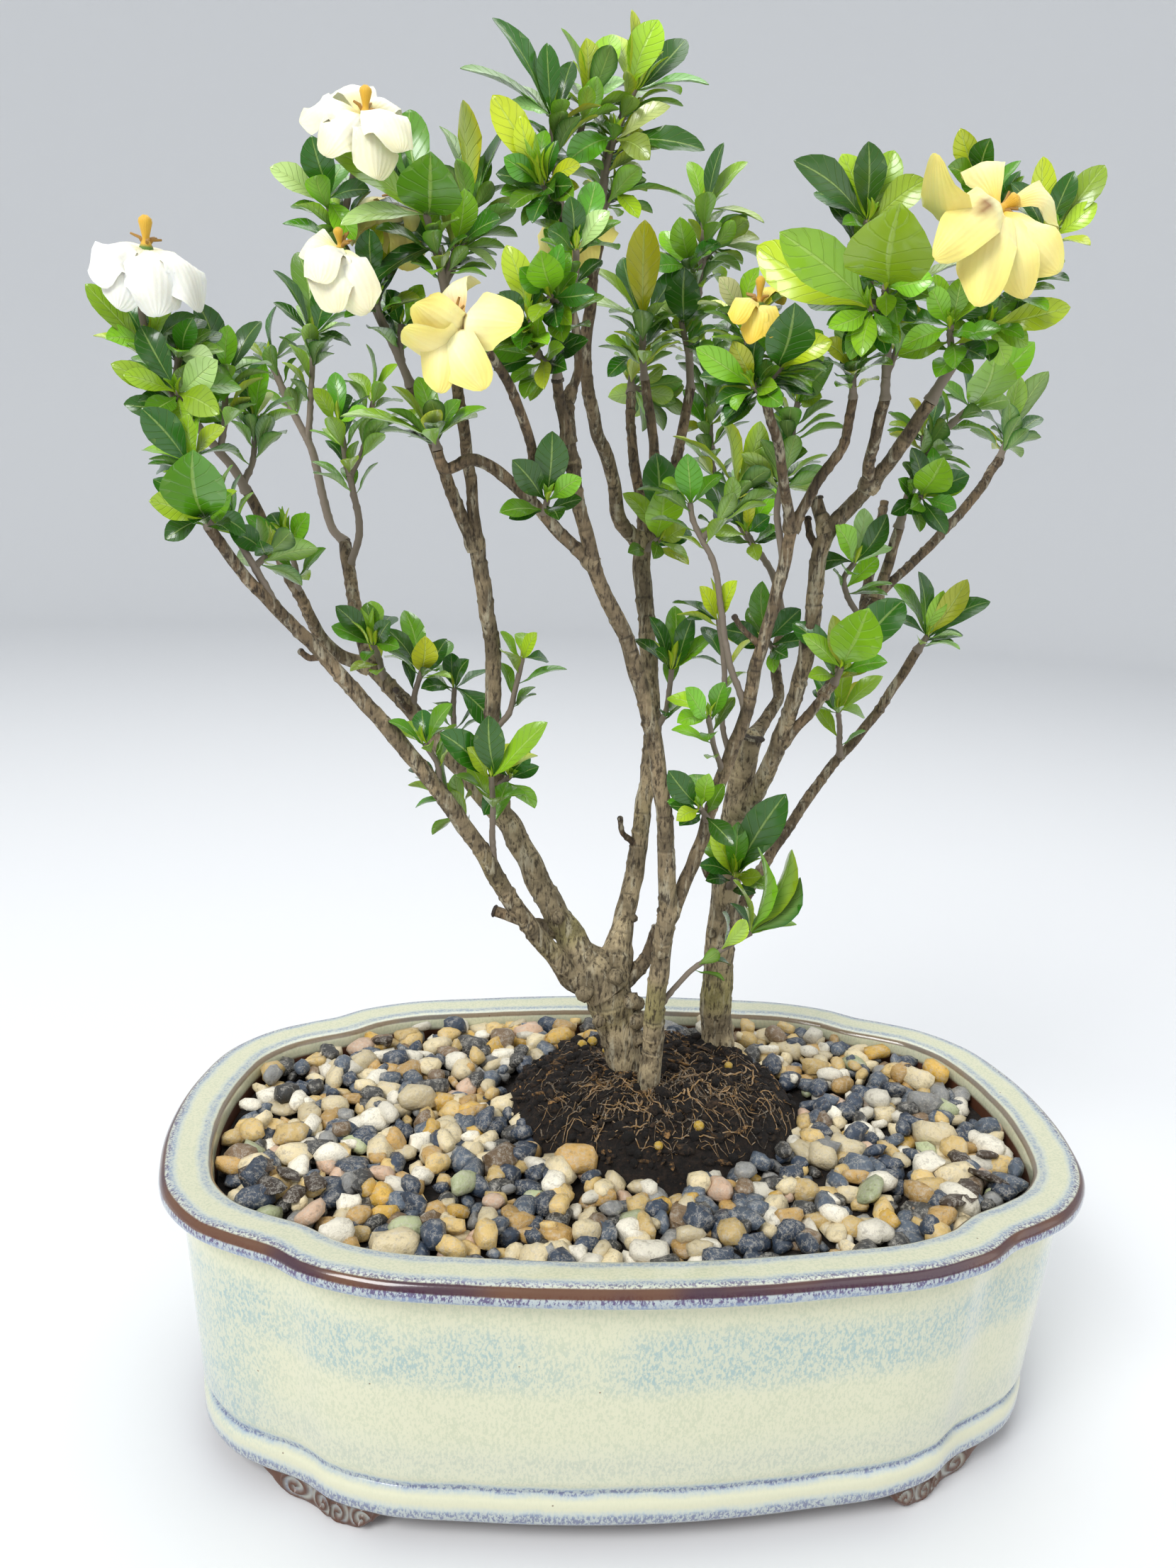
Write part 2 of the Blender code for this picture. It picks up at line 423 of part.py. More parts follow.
def keep_largest(item):
    """Keep the largest connected shell, dropping inner hollows and scraps."""
    shell = bmesh.new()
    shell.from_mesh(item.data)
    left = set(shell.verts)
    groups = []
    while left:
        group = {left.pop()}
        edge = list(group)
        while edge:
            for link in edge.pop().link_edges:
                for vert in link.verts:
                    if vert in left:
                        left.discard(vert)
                        group.add(vert)
                        edge.append(vert)
        groups.append(group)
    groups.sort(key=len)
    for group in groups[:-1]:
        bmesh.ops.delete(shell, geom=list(group), context="VERTS")
    bmesh.ops.triangulate(shell, faces=[face for face in shell.faces if len(face.verts) > 4])
    shell.to_mesh(item.data)
    shell.free()
    return len(groups) - 1


def fuse(name, pieces, material, collection):
    """One object from overlapping pieces by a single union."""
    base = solid(name, pieces[0], collection)
    if len(pieces) > 1:
        repeats = bpy.data.collections.new(name + "_repeats")
        bpy.context.scene.collection.children.link(repeats)
        for number, piece in enumerate(pieces[1:]):
            solid(f"{name}_{number}", piece, repeats)
        applied(base, (("UNION", repeats),), "MANIFOLD")
        drop(repeats.objects)
        bpy.data.collections.remove(repeats)
    keep_largest(base)
    base.data.materials.clear()
    base.data.materials.append(material)
    return base


def plan(steps):
    """The crest line's plan points and outward directions, clockwise all round.

    A spline through the quarter's points, mirrored to the other quarters.
    """
    quarter = np.array(OUTLINE_QUARTER, dtype=float)
    flip_x, flip_y = np.array((-1, 1)), np.array((1, -1))
    ring = np.concatenate((quarter[:-1], (quarter * flip_y)[:0:-1], -quarter[:-1],
                           (quarter * flip_x)[:0:-1]))
    chord = np.linalg.norm(np.roll(ring, -1, 0) - ring, axis=1)[:, None]
    slope = (np.roll(ring, -1, 0) - ring) / chord
    before, before_slope = np.roll(chord, 1, 0), np.roll(slope, 1, 0)
    tangent = (before_slope * chord + slope * before) / (before + chord)
    index = np.array([int(step) for step in steps])
    t = (np.array(steps, dtype=float) - index)[:, None]
    p, q, h = ring[index], ring[(index + 1) % 36], chord[index]
    m, n = tangent[index] * h, tangent[(index + 1) % 36] * h
    place = ((2 * t**3 - 3 * t**2 + 1) * p + (t**3 - 2 * t**2 + t) * m
             + (3 * t**2 - 2 * t**3) * q + (t**3 - t**2) * n)
    way = (6 * t**2 - 6 * t) * (p - q) + (3 * t**2 - 4 * t + 1) * m + (3 * t**2 - 2 * t) * n
    way /= np.linalg.norm(way, axis=1)[:, None]
    return place, np.stack((-way[:, 1], way[:, 0]), axis=1)


def around():
    """Plan steps of the whole outline, the same in every quarter."""
    steps = list(OUTLINE_STEPS)
    mirrored = [9 - step for step in reversed(steps[1:] + [9])]
    both = steps + [9 + step for step in mirrored]
    return both + [18 + step for step in both]


def ring_at(inset, height):
    """The outline moved inwards by the inset, at a height."""
    place, out = plan(around())
    edge = place - out * inset
    return np.column_stack((edge, np.full(len(edge), height)))


def loft(rings, closed=False):
    """Faces between equal rings, capped at both ends."""
    count = len(rings[0])
    faces = []
    for level in range(len(rings) - 1):
        for i in range(count):
            j = (i + 1) % count
            low, high = level * count, (level + 1) * count
            faces.append((low + i, low + j, high + j, high + i))
    last = (len(rings) - 1) * count
    faces.append(tuple(range(count))[::-1])
    faces.append(tuple(last + i for i in range(count)))
    return np.concatenate(rings), faces


def build_pot(collection, cutters):
    """The pot: lofted wall, four feet along the corners, two drain holes."""
    pot = solid("pot", loft([ring_at(*row) for row in POT_PROFILE]), collection)
    feet = bpy.data.collections.new("feet")
    bpy.context.scene.collection.children.link(feet)
    steps = [row[0] for row in FOOT_STATIONS]
    lows = np.array([row[1] for row in FOOT_STATIONS])
    place, out = plan(steps)
    for number, turn in enumerate(((1, 1), (-1, 1), (1, -1), (-1, -1))):
        sections = []
        for at, way, low in zip(place, out, lows):
            outer, inner = (at - way * FOOT_OUTER) * turn, (at - way * FOOT_INNER) * turn
            sections.append(np.array([(*outer, low), (*outer, UNDERSIDE + 2.2),
                                      (*inner, UNDERSIDE + 2.2), (*inner, low)]))
        solid(f"foot_{number}", loft(sections), feet)
    holes = bpy.data.collections.new("drains")
    cutters.children.link(holes)
    for number, x in enumerate((-DRAIN_X, DRAIN_X)):
        bpy.ops.mesh.primitive_cylinder_add(vertices=16, radius=DRAIN_RADIUS * MM, depth=0.03,
                                            location=(x * MM, 0, 0.012))
        drain = bpy.context.object
        drain.name = f"drain_{number}"
        for home in list(drain.users_collection):
            home.objects.unlink(drain)
        holes.objects.link(drain)
    applied(pot, (("UNION", feet), ("DIFFERENCE", holes)))
    drop(feet.objects)
    bpy.data.collections.remove(feet)
    keep_largest(pot)
    pot.data.materials.append(paint("pot_glaze", (0.72, 0.70, 0.52), 0.25))
    return pot


def build_soil(collection, cutters, feet):
    """The soil: a bed filling the pot, the mound fused on it, holes for the trunks."""
    soil = solid("soil", loft([ring_at(*row) for row in SOIL_PROFILE]), collection)
    mounds = bpy.data.collections.new("mounds")
    bpy.context.scene.collection.children.link(mounds)
    angle = np.arange(MOUND_SIDES) * 2 * math.pi / MOUND_SIDES
    rings = []
    for share, height in MOUND_PROFILE:
        ripple = 0.5 * np.sin(5 * angle + 9 * share) * (1.0 if 95 < height < 103 else 0.0)
        rings.append(np.column_stack((MOUND_CENTRE[0] + MOUND_HALF[0] * share * np.cos(angle),
                                      MOUND_CENTRE[1] + MOUND_HALF[1] * share * np.sin(angle),
                                      height + ripple)))
    solid("mound", loft(rings), mounds)
    holes = bpy.data.collections.new("trunk_holes")
    cutters.children.link(holes)
    for number, (place, radius) in enumerate(feet):
        bpy.ops.mesh.primitive_cylinder_add(
            vertices=12, radius=(radius * 1.05 + SEAT_GAP) * MM, depth=0.04,
            location=(place[0] * MM, place[1] * MM, (TRUNK_FOOT - SEAT_GAP) * MM + 0.02))
        hole = bpy.context.object
        hole.name = f"trunk_hole_{number}"
        for home in list(hole.users_collection):
            home.objects.unlink(hole)
        holes.objects.link(hole)
    applied(soil, (("UNION", mounds), ("DIFFERENCE", holes)))
    drop(mounds.objects)
    bpy.data.collections.remove(mounds)
    keep_largest(soil)
    soil.data.materials.append(paint("soil_earth", (0.05, 0.035, 0.025), 0.95))
    return soil


def inside(points, ring):
    """Whether each plan point lies inside the closed ring."""
    x, y = points[:, 0][:, None], points[:, 1][:, None]
    ax, ay = ring[:, 0][None], ring[:, 1][None]
    bx, by = np.roll(ring[:, 0], -1)[None], np.roll(ring[:, 1], -1)[None]
    rise = np.where(np.abs(by - ay) < 1e-9, 1e-9, by - ay)
    crossed = ((ay > y) != (by > y)) & (x < (bx - ax) * (y - ay) / rise + ax)
    return crossed.sum(axis=1) % 2 == 1


def triangles(points, rings=()):
    """Delaunay triangles of plan points that keep the edges of the first rings."""
    edges, first = [], 0
    for count in rings:
        edges += [(first + i, first + (i + 1) % count) for i in range(count)]
        first += count
    result = delaunay_2d_cdt([Vector(point) for point in points], edges, [], 0, 1e-6)
    return np.array([face for face in result[2]], dtype=int)


def build_gravel(collection):
    """The gravel: a plate whose top is raised into pebbles, with a hole for the mound.

    Jittered rows of pebbles; each has four points at its top, and low points
    lie midway between neighbours.
    """
    draw = random.Random(41)
    outer = ring_at(GRAVEL_INSET, 0)[:, :2]
    angle = np.arange(MOUND_SIDES) * 2 * math.pi / MOUND_SIDES
    round_mound = np.column_stack((np.cos(angle), np.sin(angle)))
    inner = np.array(MOUND_CENTRE) + round_mound * (np.array(MOUND_HALF) * 1.06 + 0.6)
    grid = []
    rows = np.arange(-90, 91, PEBBLE_SPACING * 0.87)
    for number, y in enumerate(rows):
        for x in np.arange(-150, 151, PEBBLE_SPACING):
            grid.append((x + (number % 2) * PEBBLE_SPACING / 2 + draw.uniform(-1.5, 1.5),
                         y + draw.uniform(-1.3, 1.3)))
    grid = np.array(grid)
    place, out = plan(around())
    fence = place - out * (GRAVEL_INSET + 3.8)
    moat = np.array(MOUND_CENTRE) + round_mound * (np.array(MOUND_HALF) * 1.06 + 4.2)
    centres = grid[inside(grid, fence) & ~inside(grid, moat)]
    pairs = {tuple(sorted((int(a), int(b)))) for three in triangles(centres)
             for a, b in zip(three, np.roll(three, 1))}
    limit = PEBBLE_SPACING * 1.5
    low = np.array([(centres[a] + centres[b]) / 2 for a, b in sorted(pairs)
                    if np.linalg.norm(centres[a] - centres[b]) < limit])
    tops, heights = [], []
    for x, y in centres:
        turn, size = draw.uniform(0, 1.57), draw.uniform(0.24, 0.31) * PEBBLE_SPACING
        lift = draw.uniform(-0.9, 0.7)
        for corner in range(4):
            a = turn + corner * math.pi / 2
            tops.append((x + size * math.cos(a) * 1.15, y + size * math.sin(a)))
            heights.append(PEBBLE_TOP + lift + draw.uniform(-0.4, 0.4))
    flat = np.concatenate((outer, inner, low, np.array(tops)))
    tall = np.concatenate((np.full(len(outer), VALLEY_TOP + 0.8), np.full(len(inner), VALLEY_TOP),
                           np.full(len(low), VALLEY_TOP), heights)) + flat[:, 1] * BACK_RISE
    top = triangles(flat, (len(outer), len(inner)))
    middle = flat[top].mean(axis=1)
    top = top[inside(middle, outer) & ~inside(middle, inner)]
    rim = np.concatenate((outer, inner))
    base = triangles(rim, (len(outer), len(inner)))
    middle = rim[base].mean(axis=1)
    base = base[inside(middle, outer) & ~inside(middle, inner)]
    start = len(flat)
    faces = [tuple(int(i) for i in face) for face in top]
    faces += [tuple(int(i) + start for i in face) for face in base]
    for first, count in ((0, len(outer)), (len(outer), len(inner))):
        for i in range(count):
            a, b = first + i, first + (i + 1) % count
            faces.append((a, b, b + start, a + start))
    points = np.concatenate((np.column_stack((flat, tall)),
                             np.column_stack((rim, np.full(len(rim), GRAVEL_UNDER)))))
    gravel = solid("gravel", (points, faces), collection)
    gravel.data.materials.append(paint("gravel_stone", (0.42, 0.36, 0.27), 0.8))
    return gravel


def tube(points, radii, resolution):
    """A tapering limb with closed ends through the points, as points and faces."""
    curve = bpy.data.curves.new("limb", "CURVE")
    curve.dimensions = "3D"
    curve.bevel_depth = 1.0
    curve.bevel_resolution = resolution
    curve.use_fill_caps = True
    line = curve.splines.new("POLY")
    line.points.add(len(points) - 1)
    for knot, place, radius in zip(line.points, points, radii):
        knot.co = (*(place * MM), 1.0)
        knot.radius = radius * MM
    holder = bpy.data.objects.new("limb", curve)
    bpy.context.scene.collection.objects.link(holder)
    graph = bpy.context.evaluated_depsgraph_get()
    mesh = bpy.data.meshes.new_from_object(holder.evaluated_get(graph))
    shell = bmesh.new()
    shell.from_mesh(mesh)
    bmesh.ops.remove_doubles(shell, verts=shell.verts, dist=0.00002)
    shell.verts.ensure_lookup_table()
    places = np.array([vert.co[:] for vert in shell.verts]) / MM
    faces = [tuple(vert.index for vert in face.verts) for face in shell.faces]
    shell.free()
    bpy.data.meshes.remove(mesh)
    bpy.data.objects.remove(holder, do_unlink=True)
    bpy.data.curves.remove(curve)
    return places, faces


class Limb:
    """A limb's centre line on the elevation, with its depth and real radius."""

    def __init__(self, flat, depth, radius):
        self.flat = np.asarray(flat, dtype=float)
        self.depth = np.asarray(depth, dtype=float)
        self.radius = np.asarray(radius, dtype=float)
        self.points = np.array([sighted(x, z, y) for (x, z), y in zip(self.flat, self.depth)])

    def nearest(self, x, z):
        """Place, radius, direction, depth and whether it is the end, nearest (x, z)."""
        a, b = self.flat[:-1], self.flat[1:]
        span = b - a
        t = np.clip((((x, z) - a) * span).sum(axis=1) / (span * span).sum(axis=1), 0, 1)
        far = np.linalg.norm(a + span * t[:, None] - (x, z), axis=1)
        i = int(np.argmin(far))
        share = t[i]
        place = self.points[i] * (1 - share) + self.points[i + 1] * share
        radius = self.radius[i] * (1 - share) + self.radius[i + 1] * share
        way = unit(self.points[i + 1] - self.points[i])
        return place, radius, way, float(place[1]), i == len(a) - 1 and share > 0.97


def grown(numbers, widths, depths, host):
    """A limb along the route; one that grows from a host begins on its centre line."""
    flat = route(numbers)
    depth = spread(depths, len(flat))
    if host:
        depth[0] = host.nearest(*flat[0])[3]
    scale = (depth - EYE[1]) / -EYE[1]
    limb = Limb(flat, depth, spread(widths, len(flat)) / 2 * scale)
    if host:
        limb.points[0] = host.nearest(*flat[0])[0]
    return limb


def seated(numbers, width, end_depth, host, own):
    """A shoot's centre line: fused into its own node's shoot, or just clear of a limb."""
    flat = route(numbers)
    place, radius, way, depth, at_end = host.nearest(*flat[0])
    limb = Limb(flat, np.linspace(depth, end_depth, len(flat)), np.ones(len(flat)))
    scale = (limb.depth - EYE[1]) / -EYE[1]
    thick = np.maximum(width / 2 * scale * np.linspace(1, 0.78, len(flat)), BUD_RADIUS * 0.78)
    limb.points[0] = place
    limb.radius = thick
    if own:
        return limb, limb.points, thick
    heading = limb.points[1] - place
    if at_end:
        aside = way
        start = place + way * SEAT_GAP
    else:
        aside = unit(heading - way * (heading @ way))
        start = place + aside * (radius + SEAT_GAP)
    points = np.concatenate(([start, start + aside * 1.2], limb.points[1:]))
    return limb, points, np.concatenate((thick[:1], thick))


def sections(root, tip, width, face, bow, stations, out, spare=0.0):
    """A blade's four-sided sections and its tip, from the root out.

    The midrib at t is root + t (tip - root) + 4 bow length t (1 - t) face, and a
    blade that leaves along its shoot is first pushed aside by up to 1.3 mm.
    """
    along = tip - root
    length = np.linalg.norm(along)
    face = unit(face - along * (face @ along) / length**2)
    side = np.cross(along / length, face)
    push = out * 1.3 * (1 - min(max(along @ out / length, 0.0), 1.0))
    points = []
    for t, share in stations:
        centre = root + along * t + face * (4 * bow * length * t * (1 - t)) + push * (1 - t)
        half = max(width / 2 * share, ROOT_HALF) + spare
        lift = 0.16 * half
        thick = BLADE_HALF + spare
        points += [centre - side * half + face * lift, centre + face * thick,
                   centre + side * half + face * lift, centre - face * thick]
    points.append(tip + unit(along) * spare)
    return np.array(points), side, face


def blade_faces(first, start, count):
    """Triangles from the four points first through count sections to the tip."""
    faces = []
    before = list(first)
    for level in range(count):
        l0, m0, r0, b0 = before
        l1, m1, r1, b1 = before = list(range(start + level * 4, start + level * 4 + 4))
        faces += [(l0, m0, m1), (l0, m1, l1), (l0, l1, b1), (l0, b1, b0),
                  (r0, m1, m0), (r0, r1, m1), (r0, b0, b1), (r0, b1, r1)]
    l1, m1, r1, b1 = before
    end = start + count * 4
    return faces + [(l1, m1, end), (m1, r1, end), (r1, b1, end), (b1, l1, end)]


def test_blade(root, tip, width, face, bow, stations, out, spare):
    """The blade as a closed piece of its own, for testing."""
    body, side, up = sections(root, tip, width, face, bow, stations, out, spare)
    half = 0.4 + spare
    start = np.array([root - side * half, root + up * half, root + side * half, root - up * half])
    faces = [(0, 1, 2), (0, 2, 3)] + blade_faces(range(4), 4, len(stations))
    return np.concatenate((start, body)), faces


NARROW = ((0.58, 1.0),)
BROAD = ((0.42, 0.84), (0.73, 1.0))
ROUND = ((0.28, 0.6), (0.56, 1.0), (0.83, 0.82))
PETAL = ((0.4, 0.86), (0.8, 1.0))


def tip_of(base, leaf):
    """A leaf's tip at its natural length: what the elevation hides is in its depth."""
    x, z, width = leaf[0], leaf[1], leaf[2]
    shown = np.linalg.norm(sighted(x, z, base[1]) - base)
    natural = max(shown * 1.05, 2.1 * width, 12.0)
    deep = math.sqrt(natural**2 - shown**2)
    away = len(leaf) > 3
    return sighted(x, z, base[1] + (deep if away else -deep)), shown


def turned(base, tip, turn):
    """The tip swung about the base, in depth and across the line of sight."""
    reach = tip - base
    length = np.linalg.norm(reach)
    sight = unit(base - EYE)
    across = np.cross(sight, reach)
    deep, aside = (math.tan(math.radians(part)) for part in turn)
    return base + unit(reach + sight * length * deep + across * aside) * length


def back_leaves(node, shoot, base, axis, count):
    """Seeded leaves on the shoot's far side, where the elevation shows none."""
    draw = random.Random(node * 31 + shoot * 7 + 5)
    found = []
    for number in range(count):
        side = draw.uniform(-0.9, 0.9) + (0.5 if number else -0.5)
        way = unit(np.array([side, draw.uniform(0.75, 1.1), draw.uniform(-0.1, 0.5)]) + axis * 0.4)
        found.append((base + way * draw.uniform(13.5, 17.5), draw.uniform(6.5, 8.5),
                      axis + np.array([0, 0, 0.6])))
    return found


class Clear:
    """Everything placed so far, for testing a new piece against it."""

    def __init__(self):
        self.items = []

    def add(self, node, piece):
        points, faces = piece
        tree = BVHTree.FromPolygons([tuple(point) for point in points], faces)
        self.items.append((node, points.min(axis=0), points.max(axis=0), tree))

    def hits(self, node, piece, own=False):
        """Names of the other nodes, or of its own, that the piece touches."""
        points, faces = piece
        low, high = points.min(axis=0), points.max(axis=0)
        tree = BVHTree.FromPolygons([tuple(point) for point in points], faces)
        return [name for name, a, b, other in self.items
                if (name == node) == own and (a < high).all() and (low < b).all()
                and tree.overlap(other)]


def frames(points):
    """Two cross directions at each point of a line, carried along without twist."""
    ways = [unit(b - a) for a, b in zip(points, points[1:])]
    ways.append(ways[-1])
    u = unit(np.cross(ways[0], (0.3, 0.9, 0.2)))
    found = []
    for before, way in zip([ways[0]] + ways, ways):
        middle = unit(before + way)
        u = unit(u - middle * (u @ middle))
        found.append((u, np.cross(middle, u)))
    return found


def shared_out(angles, sides):
    """A side of the bud for each leaf, in order round it, and the bud's turn."""
    order = sorted(range(len(angles)), key=lambda i: angles[i])
    spaces = []
    for place, i in enumerate(order):
        following = angles[order[(place + 1) % len(order)]]
        spaces.append((following - angles[i]) % (2 * math.pi) or 2 * math.pi)
    blanks = [0] * len(order)
    for _ in range(sides - len(order)):
        widest = max(range(len(order)), key=lambda i: spaces[i] / (blanks[i] + 1))
        blanks[widest] += 1
    slots, slot = {}, 0
    for place, i in enumerate(order):
        slots[i] = slot
        slot += 1 + blanks[place]
    turn = sum(angles[i] - slots[i] * 2 * math.pi / sides for i in order) / len(order)
    return slots, turn


def grow(clear, node, points, radii, leaves, bow, crown=()):
    """One closed piece: a shoot with a blade drawn out of each side of its bud.

    A leaf is its tip, width, face direction and stations. A blade is swung
    until it clears everything placed, or left out. The crown's rings, each a
    centre and radius, go on beyond the bud.
    """
    axis = unit(points[-1] - points[-2])
    base = points[-1]
    cross = frames(points)
    u, v = cross[-1]
    angles = [math.atan2((leaf[0] - base) @ v, (leaf[0] - base) @ u) % (2 * math.pi)
              for leaf in leaves]
    sides = max(len(leaves), 4)
    slots, turn = shared_out(angles, sides) if leaves else ({}, 0.0)
    bud = max(radii[-1], ROOT_HALF / math.sin(math.pi / sides)) if leaves else radii[-1]
    rings = [(place, pair, radius) for place, pair, radius in zip(points[:-1], cross, radii)]
    if leaves:
        rings.append((base - axis * 0.55, cross[-1], bud))
        rings.append((base + axis * 0.55, cross[-1], bud))
    else:
        rings.append((base, cross[-1], radii[-1]))
    rings += [(place, cross[-1], radius) for place, radius in crown]
    spin = turn + (np.arange(sides) - 0.5) * 2 * math.pi / sides
    rows = [centre + radius * (np.cos(spin)[:, None] * a + np.sin(spin)[:, None] * b)
            for centre, (a, b), radius in rings]
    vertices = list(np.concatenate(rows))
    faces = [tuple(range(sides))[::-1],
             tuple((len(rows) - 1) * sides + i for i in range(sides))]
    bud_level = len(points) - 1 if leaves else -1
    by_side = {side: leaf for leaf, side in slots.items()}
    for level in range(len(rows) - 1):
        for i in range(sides):
            j = (i + 1) % sides
            quad = (level * sides + i, level * sides + j, (level + 1) * sides + j,
                    (level + 1) * sides + i)
            leaf = by_side.get(i) if level == bud_level else None
            if leaf is None:
                faces.append(quad)
                continue
            tip, width, face, stations = leaves[leaf]
            angle = turn + i * 2 * math.pi / sides
            out = math.cos(angle) * u + math.sin(angle) * v
            root = base + out * bud * math.cos(math.pi / sides)
            end = swung(clear, node, base, root, tip, width, face, bow, stations, out)
            if end is None:
                print("blade left out", node, leaf)
                faces.append(quad)
                continue
            body, side, up = sections(root, end, width, face, bow, stations, out)
            clear.add(node, test_blade(root, end, width, face, bow, stations, out, 0.0))
            corners = [quad[1], quad[2], quad[3], quad[0]]
            wanted = (-side, up, side, -up)
            best = max(range(4), key=lambda shift: sum(
                (vertices[corners[(shift + n) % 4]] - root) @ wanted[n] for n in range(4)))
            corners = corners[best:] + corners[:best]
            start = len(vertices)
            vertices += list(body)
            faces += blade_faces(corners, start, len(stations))
    return np.array(vertices), faces


def swung(clear, node, base, root, tip, width, face, bow, stations, out):
    """The blade's tip at the first turn that clears everything, or None."""
    for turn in TURNS:
        end = turned(base, tip, turn)
        if clear.hits(node, test_blade(root, end, width, face, bow, stations, out, 0.3)):
            continue
        outer = root + (end - root) * 0.22
        if not clear.hits(node, test_blade(outer, end, width, face, bow, stations, out, 0.05),
                          own=True):
            return end
    return None


def wood_pieces(clear, lines):
    """The trunks and limbs as tubes by node, and where the trunks stand."""
    woods, feet = {}, []
    for node, name, host, numbers, widths, depths in LIMBS:
        limb = grown(numbers, widths, depths, lines.get(host))
        lines[name] = limb
        points, radii = limb.points, limb.radius
        if not host:
            foot = np.array([points[0][0], points[0][1], TRUNK_FOOT])
            feet.append((foot, radii[0]))
            points = np.concatenate(([foot], points))
            radii = np.concatenate((radii[:1], radii))
        piece = tube(points, radii, 2 if radii.max() > 8 else 1)
        woods.setdefault(node, []).append(piece)
        clear.add(node, piece)
    return woods, feet


def leaf_targets(index, shoot, limb, leaves):
    """Tip, width, face direction and stations of each leaf that a shoot carries."""
    base, axis = limb.points[-1], unit(limb.points[-1] - limb.points[-2])
    view = unit(EYE - base)
    wanted = []
    for leaf in leaves:
        tip, shown = tip_of(base, leaf)
        open_share = min(max(0.35 + 0.8 * (leaf[2] / shown - 0.35), 0.3), 0.95)
        wanted.append((tip, leaf[2], axis * (1 - open_share) + view * open_share))
    wanted += back_leaves(index, shoot, base, axis, 1 if len(leaves) < 4 else 2)
    return [(tip, width, face, ROUND if width > 13 else BROAD if width > 6.9 else NARROW)
            for tip, width, face in wanted]


def build_plant(collection):
    """Trunks, leafy shoots and blooms; returns where the trunks enter the soil."""
    lines, clear = {}, Clear()
    woods, feet = wood_pieces(clear, lines)
    bark = paint("bark", (0.20, 0.16, 0.12), 0.85)
    for node, pieces in woods.items():
        fuse(node, pieces, bark, collection)
    stems = {}
    for node, rows in SHOOTS.items():
        own = []
        for host, numbers, width, depth, leaves in rows:
            fused = isinstance(host, int)
            made = seated(numbers, width, depth, own[host] if fused else lines[host], fused)
            own.append(made[0])
            piece = tube(made[1], made[2], 0)
            crossed = clear.hits(node, piece)
            if crossed:
                print("shoot crosses", node, len(own) - 1, crossed)
            clear.add(node, piece)
            lines[(node, len(own) - 1)] = made[0]
            stems[(node, len(own) - 1)] = made[1:]
    petal_paint = paint("petal", (0.85, 0.66, 0.25), 0.6)
    for node, (host, numbers, depth, petals, pistil, club) in BLOOMS.items():
        stalk, points, radii = seated(numbers, 2.2, depth, lines[host], False)
        base, axis = stalk.points[-1], unit(stalk.points[-1] - stalk.points[-2])
        top = sighted(*pistil, depth - 1.5)
        crown = ((base * 0.7 + top * 0.3, club * 0.26), (base * 0.3 + top * 0.7, club * 0.5),
                 (top, club * 0.3))
        clear.add(node, tube(np.array([base, crown[1][0], top]), (0.8, club / 2, club / 2), 0))
        face = unit(axis * 1.2 + unit(EYE - base) * 0.3)
        wanted = [(tip_of(base, petal)[0], petal[2], face, PETAL) for petal in petals]
        piece = grow(clear, node, points, radii, wanted, 0.13, crown)
        clear.add(node, piece)
        fuse(node, [piece], petal_paint, collection)
    leaf_paint = paint("leaf_green", (0.10, 0.22, 0.04), 0.3)
    for index, (node, rows) in enumerate(SHOOTS.items()):
        pieces = []
        for shoot, row in enumerate(rows):
            targets = leaf_targets(index, shoot, lines[(node, shoot)], row[4]) if row[4] else []
            pieces.append(grow(clear, node, *stems[(node, shoot)], targets, 0.07))
        fuse(node, pieces, leaf_paint, collection)
    return feet


def main():
    """Build the whole part from an empty scene."""
    for item in list(bpy.data.objects):
        bpy.data.objects.remove(item, do_unlink=True)
    part = bpy.data.collections.new("gardenia_bonsai")
    cutters = bpy.data.collections.new("cutters")
    bpy.context.scene.collection.children.link(part)
    bpy.context.scene.collection.children.link(cutters)
    feet = build_plant(part)
    build_pot(part, cutters)
    build_soil(part, cutters, feet)
    build_gravel(part)
    move = Matrix.Translation(Vector(ORIGIN_SHIFT) * MM)
    for item in part.objects:
        item.data.transform(move)
    for group in cutters.children:
        for item in group.objects:
            item.hide_render = True
            item.display_type = "WIRE"


main()
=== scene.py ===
"""A gardenia bonsai of three trunks in a glazed four-lobed pot, dressed over its CAD frame.

The plant is drawn on an elevation, a flat view in millimetres through the
pot's centre as seen from the eye point EYE, and every limb, leaf and petal is
moved along its line of sight to its real depth. Lengths are in millimetres
in the tables and in metres in the meshes.
"""
import logging
import math
import random
from dataclasses import dataclass, field
from enum import Enum
from typing import Sequence

import bmesh
import bpy
import numpy as np
from mathutils import Matrix
from mathutils.bvhtree import BVHTree


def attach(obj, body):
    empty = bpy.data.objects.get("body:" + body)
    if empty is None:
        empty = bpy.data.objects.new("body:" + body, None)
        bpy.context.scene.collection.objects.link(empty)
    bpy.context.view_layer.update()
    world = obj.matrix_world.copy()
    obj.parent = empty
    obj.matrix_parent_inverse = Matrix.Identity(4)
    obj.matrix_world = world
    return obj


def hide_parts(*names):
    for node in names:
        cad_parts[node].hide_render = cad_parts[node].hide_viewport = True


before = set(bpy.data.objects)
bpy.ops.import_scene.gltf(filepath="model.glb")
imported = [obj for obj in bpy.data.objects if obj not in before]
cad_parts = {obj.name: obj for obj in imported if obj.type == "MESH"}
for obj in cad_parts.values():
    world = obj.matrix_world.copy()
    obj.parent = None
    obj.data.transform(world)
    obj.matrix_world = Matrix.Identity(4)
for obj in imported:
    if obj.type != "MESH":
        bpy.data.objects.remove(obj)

LOG = logging.getLogger("gardenia_bonsai")
Array = np.ndarray
Colour = tuple[float, float, float]

MM = 0.001
EYE = np.array([-52.4, -366.4, 292.8])
